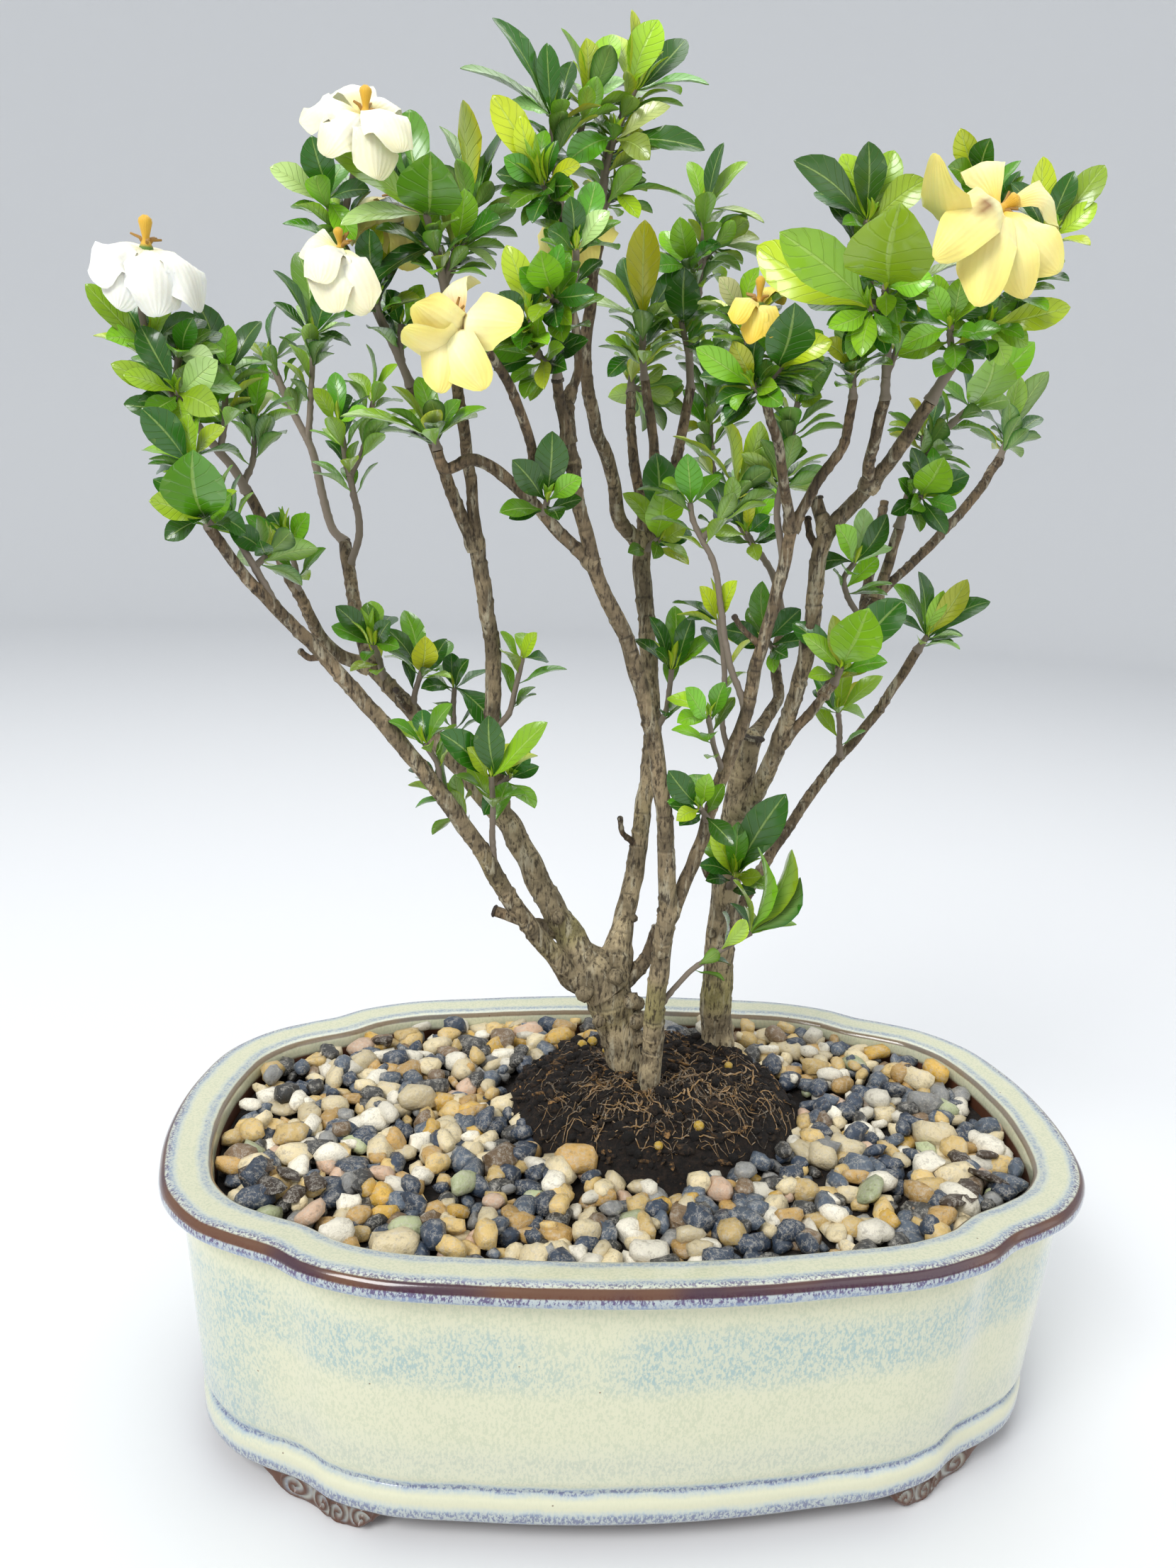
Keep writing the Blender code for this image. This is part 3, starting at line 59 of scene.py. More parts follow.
# from the pot's centre to the middle of the whole part
ORIGIN_SHIFT = np.array([3.12, 0.0, 0.0])
# turn in radians from one leaf of a shoot to the next
GOLDEN = 2.4
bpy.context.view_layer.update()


def unit(vector: Array) -> Array:
    """The vector, or each row of an array of vectors, at length one."""
    return vector / np.maximum(np.linalg.norm(vector, axis=-1, keepdims=True), 1e-9)


def stretch(depth: float | Array) -> float | Array:
    """How far a place at a depth is from the eye, as a share: (depth - eye depth) / -eye depth."""
    return (depth - EYE[1]) / -EYE[1]


def sighted(x: float, z: float, depth: float) -> Array:
    """Move an elevation point along its line of sight, by the stretch of its depth.

    Args:
        x: Place to the right on the elevation.
        z: Height on the elevation.
        depth: Distance behind the pot's centre plane.

    Returns:
        The point in millimetres.
    """
    k = stretch(depth)
    return np.array([EYE[0] + (x - EYE[0]) * k, depth, EYE[2] + (z - EYE[2]) * k])


def turns(count: int) -> Array:
    """Angles that part a full turn evenly."""
    return np.arange(count) * 2 * math.pi / count


def cubic(t: Array, p: Array, m: Array, q: Array, n: Array) -> Array:
    """The cubic at t from p to q whose end slopes are m and n."""
    return ((2 * t**3 - 3 * t**2 + 1) * p + (t**3 - 2 * t**2 + t) * m
            + (3 * t**2 - 2 * t**3) * q + (t**3 - t**2) * n)


def smooth_path(points: Array, step: float, radii: Array) -> tuple[Array, Array, Array]:
    """Carry a smooth curve through the points at an even step.

    Between two points it is the cubic whose end slopes halve the turn between
    the chords, held back to three quarters of the span; radii run straight.

    Args:
        points: The points to pass through.
        step: Wanted distance between rings.
        radii: Radius at each point.

    Returns:
        Places, radii and the distance along the curve.
    """
    spans = np.linalg.norm(np.diff(points, axis=0), axis=1)
    chords = np.diff(points, axis=0) / spans[:, None]
    slopes = unit(np.concatenate((chords[:1], chords[:-1] + chords[1:], chords[-1:]))) * 0.75
    counts = np.maximum(np.round(spans / step).astype(int), 1)
    index = np.repeat(np.arange(len(spans)), counts)
    t = np.concatenate([np.arange(count) / count for count in counts])[:, None]
    p, q = points[index], points[index + 1]
    m, n = slopes[index] * spans[index, None], slopes[index + 1] * spans[index, None]
    curve = np.concatenate((cubic(t, p, m, q, n), points[-1:]))
    size = np.concatenate(((radii[index] * (1 - t[:, 0]) + radii[index + 1] * t[:, 0]),
                           radii[-1:]))
    along = np.concatenate(([0.0], np.cumsum(np.linalg.norm(np.diff(curve, axis=0), axis=1))))
    return curve, size, along


def carried_frames(points: Array) -> tuple[Array, Array]:
    """Two cross directions at each point of a line, carried along without twist.

    Each pair is the one before, with the part along the new direction removed.

    Args:
        points: The line.

    Returns:
        The first and the second direction at each point.
    """
    ways = unit(np.gradient(points, axis=0))
    u = unit(np.cross(ways[0], (0.3, 0.9, 0.2)))
    first = []
    for way in ways:
        u = unit(u - way * (u @ way))
        first.append(u)
    side = np.array(first)
    return side, np.cross(ways, side)


def cross_pair(base: Array, axis: Array) -> tuple[Array, Array]:
    """Two directions square to an axis and to each other."""
    first, second = carried_frames(np.array([base, base + axis, base + 2 * axis]))
    return first[0], second[0]


def spoke(pair: tuple[Array, Array], angle: float) -> Array:
    """The direction at an angle round: cos angle first + sin angle second."""
    return math.cos(angle) * pair[0] + math.sin(angle) * pair[1]


def ripple(points: Array, period: float, seed: int) -> Array:
    """Smooth seeded variation between about -1 and 1 at each point.

    The mean of four sine waves that run in seeded directions with nearly the
    given period.

    Args:
        points: The places.
        period: Length of a wave in millimetres.
        seed: Seeds the directions and phases.

    Returns:
        A number for each place.
    """
    draw = np.random.default_rng(seed)
    ways = unit(draw.normal(size=(4, 3))) * (2 * math.pi / period) * draw.uniform(
        0.7, 1.5, (4, 1))
    return np.sin(points @ ways.T + draw.uniform(0, 6.28, 4)).sum(axis=-1) / 2.4


@dataclass
class Mesh:
    """Vertices in millimetres, faces, and what each vertex and face carries."""

    points: list[Array] = field(default_factory=list)
    faces: list[Array] = field(default_factory=list)
    tints: list[Array] = field(default_factory=list)
    places: list[Array] = field(default_factory=list)
    kinds: list[Array] = field(default_factory=list)
    total: int = 0

    def add(self, points: Array, faces: Sequence[Array], tint: Array | Colour,
            place: Array | None = None, kind: int = 0) -> None:
        """Add a piece.

        Args:
            points: Its vertices.
            faces: Arrays of faces, one array for each number of corners.
            tint: One colour, or one for each vertex.
            place: Two pattern coordinates for each vertex.
            kind: Number of the material slot.
        """
        count = len(points)
        self.points.append(points)
        self.tints.append(np.broadcast_to(np.asarray(tint, dtype=float), (count, 3)))
        self.places.append(np.zeros((count, 2)) if place is None else place)
        for block in faces:
            if len(block):
                self.faces.append(np.asarray(block) + self.total)
                self.kinds.append(np.full(len(block), kind))
        self.total += count

    def tube(self, path: Array, radii: Array, sides: int, tint: Array | Colour,
             kind: int = 0, along: Array | None = None) -> None:
        """Carry a round profile along a path and close both ends.

        A point is path + radius (cos a first + sin a second).

        Args:
            path: Its middle line.
            radii: One number a ring, or one for each side of each ring.
            sides: Corners of each ring.
            tint: One colour, or one for each ring, or one for each vertex.
            kind: Number of the material slot.
            along: Distance along the path, for the pattern.
        """
        first, second = carried_frames(path)
        angle = turns(sides)
        size = radii[:, None] if radii.ndim == 1 else radii
        ring = (np.cos(angle)[None, :, None] * first[:, None]
                + np.sin(angle)[None, :, None] * second[:, None])
        body = path[:, None] + ring * size[..., None]
        rows = len(path)
        points = np.concatenate((body.reshape(-1, 3), path[:1], path[-1:]))
        if isinstance(tint, np.ndarray) and tint.ndim == 2 and len(tint) == rows:
            tint = np.concatenate((np.repeat(tint, sides, axis=0), tint[:1], tint[-1:]))
        quads = wrap(rows, sides)
        i = np.arange(sides)
        j = (i + 1) % sides
        last = (rows - 1) * sides
        low = np.column_stack((j, i, np.full(sides, rows * sides)))
        high = np.column_stack((last + i, last + j, np.full(sides, rows * sides + 1)))
        far = np.zeros(rows) if along is None else along
        place = np.column_stack((np.repeat(far, sides), np.tile(angle, rows)))
        place = np.concatenate((place, [[far[0], 0]], [[far[-1], 0]]))
        self.add(points, (quads, low, high), tint, place, kind)

    def quads(self) -> tuple[Array, Array]:
        """All the vertices, and the faces of four corners."""
        return np.concatenate(self.points), np.concatenate(
            [block for block in self.faces if block.shape[1] == 4])

    def build(self, name: str, materials: Sequence[bpy.types.Material],
              crease: float) -> bpy.types.Object:
        """Make the object, in metres, with a tint attribute and a pattern UV map.

        Args:
            name: The piece's name.
            materials: Its materials in slot order.
            crease: Angle in degrees past which an edge stays sharp.

        Returns:
            The linked object.
        """
        points = (np.concatenate(self.points) + ORIGIN_SHIFT) * MM
        mesh = bpy.data.meshes.new(name)
        faces = [row for block in self.faces for row in block.tolist()]
        mesh.from_pydata(points.tolist(), [], faces)
        tint = mesh.attributes.new("tint", "FLOAT_COLOR", "POINT")
        colours = np.concatenate(self.tints)
        tint.data.foreach_set("color", np.column_stack(
            (colours, np.ones(len(colours)))).ravel())
        corner = np.empty(len(mesh.loops), dtype=int)
        mesh.loops.foreach_get("vertex_index", corner)
        pattern = mesh.uv_layers.new(name="pattern")
        pattern.data.foreach_set("uv", np.concatenate(self.places)[corner].ravel())
        mesh.polygons.foreach_set("material_index", np.concatenate(self.kinds))
        mesh.polygons.foreach_set("use_smooth", np.ones(len(faces), dtype=bool))
        shell = bmesh.new()
        shell.from_mesh(mesh)
        bmesh.ops.recalc_face_normals(shell, faces=shell.faces)
        shell.to_mesh(mesh)
        shell.free()
        mesh.set_sharp_from_angle(angle=math.radians(crease))
        for material in materials:
            mesh.materials.append(material)
        item = bpy.data.objects.new(name, mesh)
        bpy.context.scene.collection.objects.link(item)
        return item


def wrap(rows: int, around: int) -> Array:
    """Quads of a grid of rows whose last column joins the first."""
    i, j = np.meshgrid(np.arange(rows - 1), np.arange(around), indexing="ij")
    k = (j + 1) % around
    return np.stack((i * around + j, i * around + k, (i + 1) * around + k,
                     (i + 1) * around + j), axis=-1).reshape(-1, 4)


def end_rings(rows: int, around: int) -> tuple[Array, Array]:
    """The first and the last row of a grid, each as one face."""
    ring = np.arange(around)[None]
    return ring, ring + (rows - 1) * around


def settle(piece: bpy.types.Object, slot: str, *nodes: str) -> None:
    """Ride the piece on the object and stand it for its CAD nodes."""
    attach(piece, "root")
    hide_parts(*nodes)
    LOG.info("%s: %d faces", piece.name, len(piece.data.polygons))


class Recipe:
    """A Principled material that is wired up from named steps."""

    def __init__(self, name: str, roughness: float, **plain: float) -> None:
        """Make the material.

        Args:
            name: The material's name.
            roughness: The shader's plain roughness.
            plain: Other sockets of the shader, by name with underscores.
        """
        self.material = bpy.data.materials.new(name)
        self.material.use_nodes = True
        self.tree = self.material.node_tree
        self.shader = self.tree.nodes["Principled BSDF"]
        self.shader.inputs["Roughness"].default_value = roughness
        for socket, value in plain.items():
            self.shader.inputs[socket.replace("_", " ")].default_value = value
        self.where = self.node("TexCoord").outputs["Object"]

    def link(self, source: object, target: object) -> None:
        """Join a socket to a socket, or set a plain value or colour."""
        if isinstance(source, bpy.types.NodeSocket):
            self.tree.links.new(source, target)
        elif isinstance(source, tuple):
            target.default_value = (*source, 1.0)[:len(target.default_value)]
        else:
            target.default_value = source

    def node(self, kind: str, inputs: dict | None = None, **options: object) -> bpy.types.Node:
        """Add a node.

        Args:
            kind: Its type's name after ShaderNode.
            inputs: What goes into its sockets, by name or number.
            options: Its other properties.

        Returns:
            The node.
        """
        node = self.tree.nodes.new("ShaderNode" + kind)
        for option, value in options.items():
            setattr(node, option, value)
        for socket, source in (inputs or {}).items():
            self.link(source, node.inputs[socket])
        return node

    def tint(self) -> bpy.types.NodeSocket:
        """The colour that each vertex carries."""
        return self.node("Attribute", attribute_name="tint").outputs["Color"]

    def bare(self) -> bpy.types.NodeSocket:
        """The red channel of the tint: how bare the clay is."""
        return self.node("SeparateColor", {0: self.tint()}).outputs[0]

    def pattern(self) -> tuple[bpy.types.NodeSocket, bpy.types.NodeSocket]:
        """The two coordinates of the piece's own pattern map."""
        place = self.node("UVMap", uv_map="pattern").outputs["UV"]
        split = self.node("SeparateXYZ", {0: place})
        return split.outputs["X"], split.outputs["Y"]

    def east(self) -> bpy.types.NodeSocket:
        """How far to the right the place is on the object, in metres."""
        return self.node("SeparateXYZ", {0: self.where}).outputs["X"]

    def noise(self, scale: float, detail: float = 3.0, rough: float = 0.55,
              stretched: Colour = (1.0, 1.0, 1.0)) -> bpy.types.NodeSocket:
        """Smooth noise on the object's own coordinates, scale in turns a metre."""
        place = self.node("Mapping", {"Vector": self.where, "Scale": stretched}).outputs[0]
        return self.node("TexNoise", {"Vector": place, "Scale": scale, "Detail": detail,
                                      "Roughness": rough}).outputs["Fac"]

    def cells(self, scale: float) -> bpy.types.NodeSocket:
        """Distance from the nearest of scattered points."""
        return self.node("TexVoronoi", {"Vector": self.where, "Scale": scale}).outputs["Distance"]

    def maths(self, operation: str, a: object, b: object = 0.0,
              clamp: bool = False) -> bpy.types.NodeSocket:
        """One sum on values or sockets."""
        return self.node("Math", {0: a, 1: b}, operation=operation, use_clamp=clamp).outputs[0]

    def times(self, a: object, b: object) -> bpy.types.NodeSocket:
        """a times b."""
        return self.maths("MULTIPLY", a, b)

    def less(self, a: object, b: object) -> bpy.types.NodeSocket:
        """a less b."""
        return self.maths("SUBTRACT", a, b)

    def line(self, value: object, factor: float, start: object = 0.0,
             clamp: bool = False) -> bpy.types.NodeSocket:
        """The start plus the factor times the value."""
        return self.maths("ADD", start, self.times(value, factor), clamp)

    def step(self, value: object, low: float, high: float) -> bpy.types.NodeSocket:
        """Zero below low, one above high, smooth between; or the other way round."""
        flip = low > high
        return self.node("MapRange", {
            "Value": value, "From Min": high if flip else low, "From Max": low if flip else high,
            "To Min": float(flip), "To Max": float(not flip)},
            interpolation_type="SMOOTHSTEP").outputs["Result"]

    def band(self, value: object, middle: float, half: float,
             soft: float) -> bpy.types.NodeSocket:
        """One within half of the middle, falling to zero over soft."""
        return self.step(self.maths("ABSOLUTE", self.less(value, middle)), half + soft, half)

    def mix(self, share: object, a: object, b: object) -> bpy.types.NodeSocket:
        """Two colours mixed by a share."""
        return self.node("Mix", {0: share, 6: a, 7: b}, data_type="RGBA").outputs[2]

    def over(self, base: object, mask: object, most: float,
             colour: object) -> bpy.types.NodeSocket:
        """The base under a colour laid on as much as the mask times most."""
        return self.mix(self.times(mask, most), base, colour)

    def bump(self, height: object, depth: float, strength: float = 1.0) -> None:
        """Tilt the shading by a height, depth in metres at height one."""
        node = self.node("Bump", {"Strength": strength, "Distance": depth, "Height": height})
        self.link(node.outputs[0], self.shader.inputs["Normal"])

    def colour(self, source: object) -> bpy.types.Material:
        """Give the shader its colour and return the finished material."""
        self.link(source, self.shader.inputs["Base Color"])
        return self.material


@dataclass(frozen=True)
class Glaze:
    """Cream glaze that breaks blue-grey in zones and brown where it runs thin."""

    cream: Colour = (0.675, 0.665, 0.485)
    celadon: Colour = (0.30, 0.43, 0.45)
    moss: Colour = (0.50, 0.54, 0.38)
    halo: Colour = (0.42, 0.51, 0.58)
    blue: Colour = (0.13, 0.19, 0.36)
    violet: Colour = (0.085, 0.045, 0.13)
    brown: Colour = (0.115, 0.038, 0.013)
    plum: Colour = (0.045, 0.008, 0.024)
    clay: Colour = (0.075, 0.025, 0.013)
    # how far the lines wander up and down, in millimetres of profile
    sway: float = 3.4
    # the grey-green patch at the left end: its band, and where it starts and is full
    end_band: tuple = (36.0, 16.0, 16.0)
    end_reach: tuple = (-0.096, -0.124)

    def material(self) -> bpy.types.Material:
        """Build it on the pot's pattern map: distance round it, distance up its profile.

        Returns:
            The glaze, with bare clay wherever the tint's first channel is set.
        """
        r = Recipe("pot_glaze", 0.16, Coat_Weight=0.4, Coat_Roughness=0.04)
        _, up = r.pattern()
        mask = r.bare()
        cloud = r.less(r.noise(150, 3, 0.6), 0.5)
        fleck = r.line(cloud, 0.22, r.noise(1250, 3, 0.7, (1.0, 1.0, 0.5)))
        drift = r.noise(14, 3, 0.6)
        wander = r.times(r.less(r.noise(60, 3, 0.6), 0.5), self.sway)
        at = r.maths("ADD", up, wander)
        zone = r.times(r.band(at, *PotPlan.zone), r.step(drift, 0.36, 0.56))
        end = r.times(r.band(at, *self.end_band), r.step(r.east(), *self.end_reach))
        speck = r.step(fleck, 0.44, 0.62)
        base = r.mix(r.line(speck, 0.55, 0.10), self.cream, self.moss)
        base = r.over(base, r.band(up, *PotPlan.pale_strip), 0.8, self.cream)
        base = r.mix(r.times(r.maths("MAXIMUM", zone, end), r.line(speck, 0.62, 0.22)),
                     base, self.celadon)
        dash = r.step(fleck, 0.43, 0.57)
        for middle, half, soft, share in PotPlan.blue_lines:
            veil = r.times(r.band(at, middle, half + 0.4 * soft, 1.3 * soft), share)
            base = r.mix(r.maths("MULTIPLY", veil, r.line(speck, 0.35, 0.62), True),
                         base, self.halo)
            line = r.times(r.band(at, middle, half, soft * 0.75), share)
            base = r.mix(r.maths("MULTIPLY", line, r.line(dash, 0.60, 0.34), True),
                         base, self.blue)
        broken = r.step(fleck, 0.46, 0.56)
        for *place, share in PotPlan.violet_lines:
            base = r.over(base, r.times(r.band(at, *place), broken), share, self.violet)
        rust = r.mix(r.step(r.noise(22, 2, 0.5), 0.44, 0.58), self.brown, self.plum)
        for *place, share in PotPlan.brown_lines:
            base = r.over(base, r.band(r.line(wander, 0.25, up), *place), share, rust)
        base = r.over(base, r.step(r.cells(95), 0.034, 0.020), 0.7, self.brown)
        glazed = r.mix(mask, base, r.mix(r.noise(300, 4), self.clay, self.brown))
        r.link(r.line(mask, 0.5, 0.15), r.shader.inputs["Roughness"])
        r.bump(r.line(fleck, 0.05, r.times(drift, 0.6)), 0.0006, 0.5)
        return r.colour(glazed)


@dataclass(frozen=True)
class Stone:
    """River pebble: its own tint, mottled and dusty."""

    name: str = "gravel_stone"
    roughness: float = 0.42
    grain: float = 420.0
    dust: Colour = (0.62, 0.58, 0.5)
    dirt: Colour = (0.07, 0.045, 0.022)
    seam: Colour = (0.45, 0.42, 0.36)

    def material(self) -> bpy.types.Material:
        """Build it from the tint, veined by noise."""
        r = Recipe(self.name, self.roughness)
        tint = r.tint()
        mottle = r.noise(self.grain, 4, 0.65)
        vein = r.noise(self.grain * 0.4, 5, 0.7)
        pale = r.mix(r.step(mottle, 0.50, 0.72), tint, r.mix(0.45, tint, self.dust))
        dark = r.over(pale, r.step(mottle, 0.46, 0.30), 0.65, r.mix(0.6, pale, self.dirt))
        shade = r.over(dark, r.band(vein, 0.5, 0.006, 0.010), 0.5, self.seam)
        r.bump(r.maths("ADD", mottle, vein), 0.0007, 0.8)
        return r.colour(shade)


@dataclass(frozen=True)
class Earth:
    """Dark peaty soil with crumbs and fibres."""

    wet: Colour = (0.006, 0.004, 0.003)
    fibre: Colour = (0.16, 0.085, 0.035)

    def material(self) -> bpy.types.Material:
        """Build it from two scales of noise over the tint."""
        r = Recipe("soil_earth", 0.95)
        crumb = r.noise(520, 5, 0.7)
        strand = r.noise(900, 3, 0.6, (1.0, 0.22, 1.0))
        shade = r.mix(r.step(crumb, 0.42, 0.64), self.wet, r.tint())
        shade = r.over(shade, r.step(strand, 0.64, 0.72), 0.5, self.fibre)
        r.bump(crumb, 0.0016, 1.0)
        return r.colour(shade)


@dataclass(frozen=True)
class Bark:
    """Grey-brown bark with dark patches, pale streaks of painted highlight and fine furrows along
    the limb.
    """

    patch: Colour = (0.05, 0.036, 0.018)
    # colour of the pale streaks: a painted highlight
    streak: Colour = (0.52, 0.47, 0.34)
    furrow: Colour = (0.025, 0.015, 0.008)

    def material(self) -> bpy.types.Material:
        """Build it from the tint, which already holds the ring scars with a painted highlight on
        each swell, and three noises.
        """
        r = Recipe("bark", 0.82)
        tint = r.tint()
        fine = r.noise(900, 4, 0.65, (1.0, 1.0, 0.28))
        highlight_streak_noise = r.noise(380, 4, 0.6, (1.0, 1.0, 0.14))
        shade = r.mix(r.step(r.noise(130, 4, 0.65), 0.38, 0.56),
                      r.mix(0.52, tint, self.patch), tint)
        # pale streaks along the limb: painted highlight
        shade = r.over(shade, r.step(highlight_streak_noise, 0.52, 0.66), 0.60, self.streak)
        shade = r.over(shade, r.step(fine, 0.52, 0.36), 0.85, self.furrow)
        r.bump(r.maths("ADD", fine, highlight_streak_noise), 0.0010, 0.9)
        return r.colour(shade)


@dataclass(frozen=True)
class Leaf:
    """Glossy leaf with a pale midrib and side veins on its pattern map."""

    rib: Colour = (0.46, 0.62, 0.16)
    deep: Colour = (0.012, 0.065, 0.004)
    veins: float = 8.0
    lean: float = 0.22

    def material(self) -> bpy.types.Material:
        """Build it: first coordinate along the leaf, second across it from -1 to 1.

        The side veins are where veins times (along - lean |across|) is near a
        half.
        """
        r = Recipe("leaf_green", 0.24, Coat_Weight=0.25, Coat_Roughness=0.08)
        along, across = r.pattern()
        tint = r.tint()
        away = r.maths("ABSOLUTE", across)
        phase = r.times(r.less(along, r.times(away, self.lean)), self.veins)
        saw = r.maths("ABSOLUTE", r.less(r.maths("FRACT", phase), 0.5))
        vein = r.step(saw, 0.11, 0.015)
        rib = r.step(away, 0.085, 0.03)
        pale = r.mix(0.55, tint, self.rib)
        shade = r.over(tint, r.noise(170, 3, 0.6), 0.30, r.mix(0.5, tint, self.deep))
        shade = r.over(shade, vein, 0.14, pale)
        shade = r.over(shade, rib, 0.75, pale)
        r.bump(r.less(r.less(1.0, vein), rib), 0.00022, 0.7)
        return r.colour(shade)


@dataclass(frozen=True)
class Petal:
    """Soft faded petal, coloured by its tint, with long fine veins."""

    vein: Colour = (0.55, 0.30, 0.04)
    stain: Colour = (0.70, 0.46, 0.08)
    glow: Colour = (0.004, 0.003, 0.0015)

    def material(self) -> bpy.types.Material:
        """Build it: veins run along, where the second coordinate repeats."""
        r = Recipe("petal", 0.55, Subsurface_Weight=0.25, Sheen_Weight=0.15)
        r.shader.inputs["Subsurface Radius"].default_value = self.glow
        _, across = r.pattern()
        tint = r.tint()
        wave = r.maths("SINE", r.times(across, 26.0))
        crinkle = r.noise(240, 4, 0.6)
        shade = r.over(tint, r.step(wave, 0.4, 1.0), 0.07, r.mix(0.5, tint, self.vein))
        shade = r.over(shade, r.step(crinkle, 0.66, 0.80), 0.15, self.stain)
        r.bump(r.line(wave, 0.12, crinkle), 0.0004, 0.5)
        return r.colour(shade)


@dataclass(frozen=True)
class PotPlan:
    """The pot's shared outline, profile and the places of its glaze lines."""

    quarter: tuple = ((0, 97.9), (49.4, 94.8), (81.4, 89.8), (97.1, 83.1), (106.3, 76.0),
                      (116.0, 71.2), (128.3, 63.7), (140.8, 48.6), (147.9, 24.9), (150, 0))
    fineness: int = 12
    # distance up the profile, half width, softness, share
    zone: tuple = (61.0, 5.0, 9.0)
    pale_strip: tuple = (10.0, 2.2, 1.4)
    blue_lines: tuple = ((14.6, 0.6, 1.5, 0.80), (4.6, 1.7, 1.8, 0.70), (88.2, 0.9, 2.4, 0.85),
                         (94.6, 0.4, 1.3, 0.60), (79.6, 0.2, 0.6, 0.35), (103.8, 0.5, 1.3, 0.5),
                         (24.0, 1.0, 7.0, 0.10))
    violet_lines: tuple = ((4.9, 0.8, 1.3, 0.40), (89.6, 0.7, 1.0, 0.85), (93.5, 0.4, 0.9, 0.70),
                           (14.3, 0.3, 0.7, 0.45))
    brown_lines: tuple = ((91.5, 1.2, 0.6, 0.96), (106.8, 0.7, 0.6, 0.75), (0.6, 1.3, 0.5, 0.92))

    @classmethod
    def curve(cls, steps: Array) -> tuple[Array, Array]:
        """The crest line's plan points and outward directions at steps round it.

        A cubic between the quarter's points mirrored to all quarters, with each
        slope the chords' mean weighted by the other chord's length.

        Args:
            steps: Places round the outline, nine to a quarter.

        Returns:
            Points and outward directions.
        """
        quarter = np.array(cls.quarter, dtype=float)
        ring = np.concatenate((quarter[:-1], (quarter * (1, -1))[:0:-1], -quarter[:-1],
                               (quarter * (-1, 1))[:0:-1]))
        count = len(ring)
        chord = np.linalg.norm(np.roll(ring, -1, 0) - ring, axis=1)[:, None]
        slope = (np.roll(ring, -1, 0) - ring) / chord
        before, before_slope = np.roll(chord, 1, 0), np.roll(slope, 1, 0)
        tangent = (before_slope * chord + slope * before) / (before + chord)
        index = np.floor(steps).astype(int) % count
        following = (index + 1) % count
        t = (steps - np.floor(steps))[:, None]
        p, q, h = ring[index], ring[following], chord[index]
        m, n = tangent[index] * h, tangent[following] * h
        place = cubic(t, p, m, q, n)
        way = unit((6 * t**2 - 6 * t) * (p - q) + (3 * t**2 - 4 * t + 1) * m
                   + (3 * t**2 - 2 * t) * n)
        return place, np.stack((-way[:, 1], way[:, 0]), axis=1)

    @classmethod
    def steps(cls, fineness: int | None = None) -> Array:
        """Even steps round the whole outline."""
        return np.arange(36 * (fineness or cls.fineness)) / (fineness or cls.fineness)


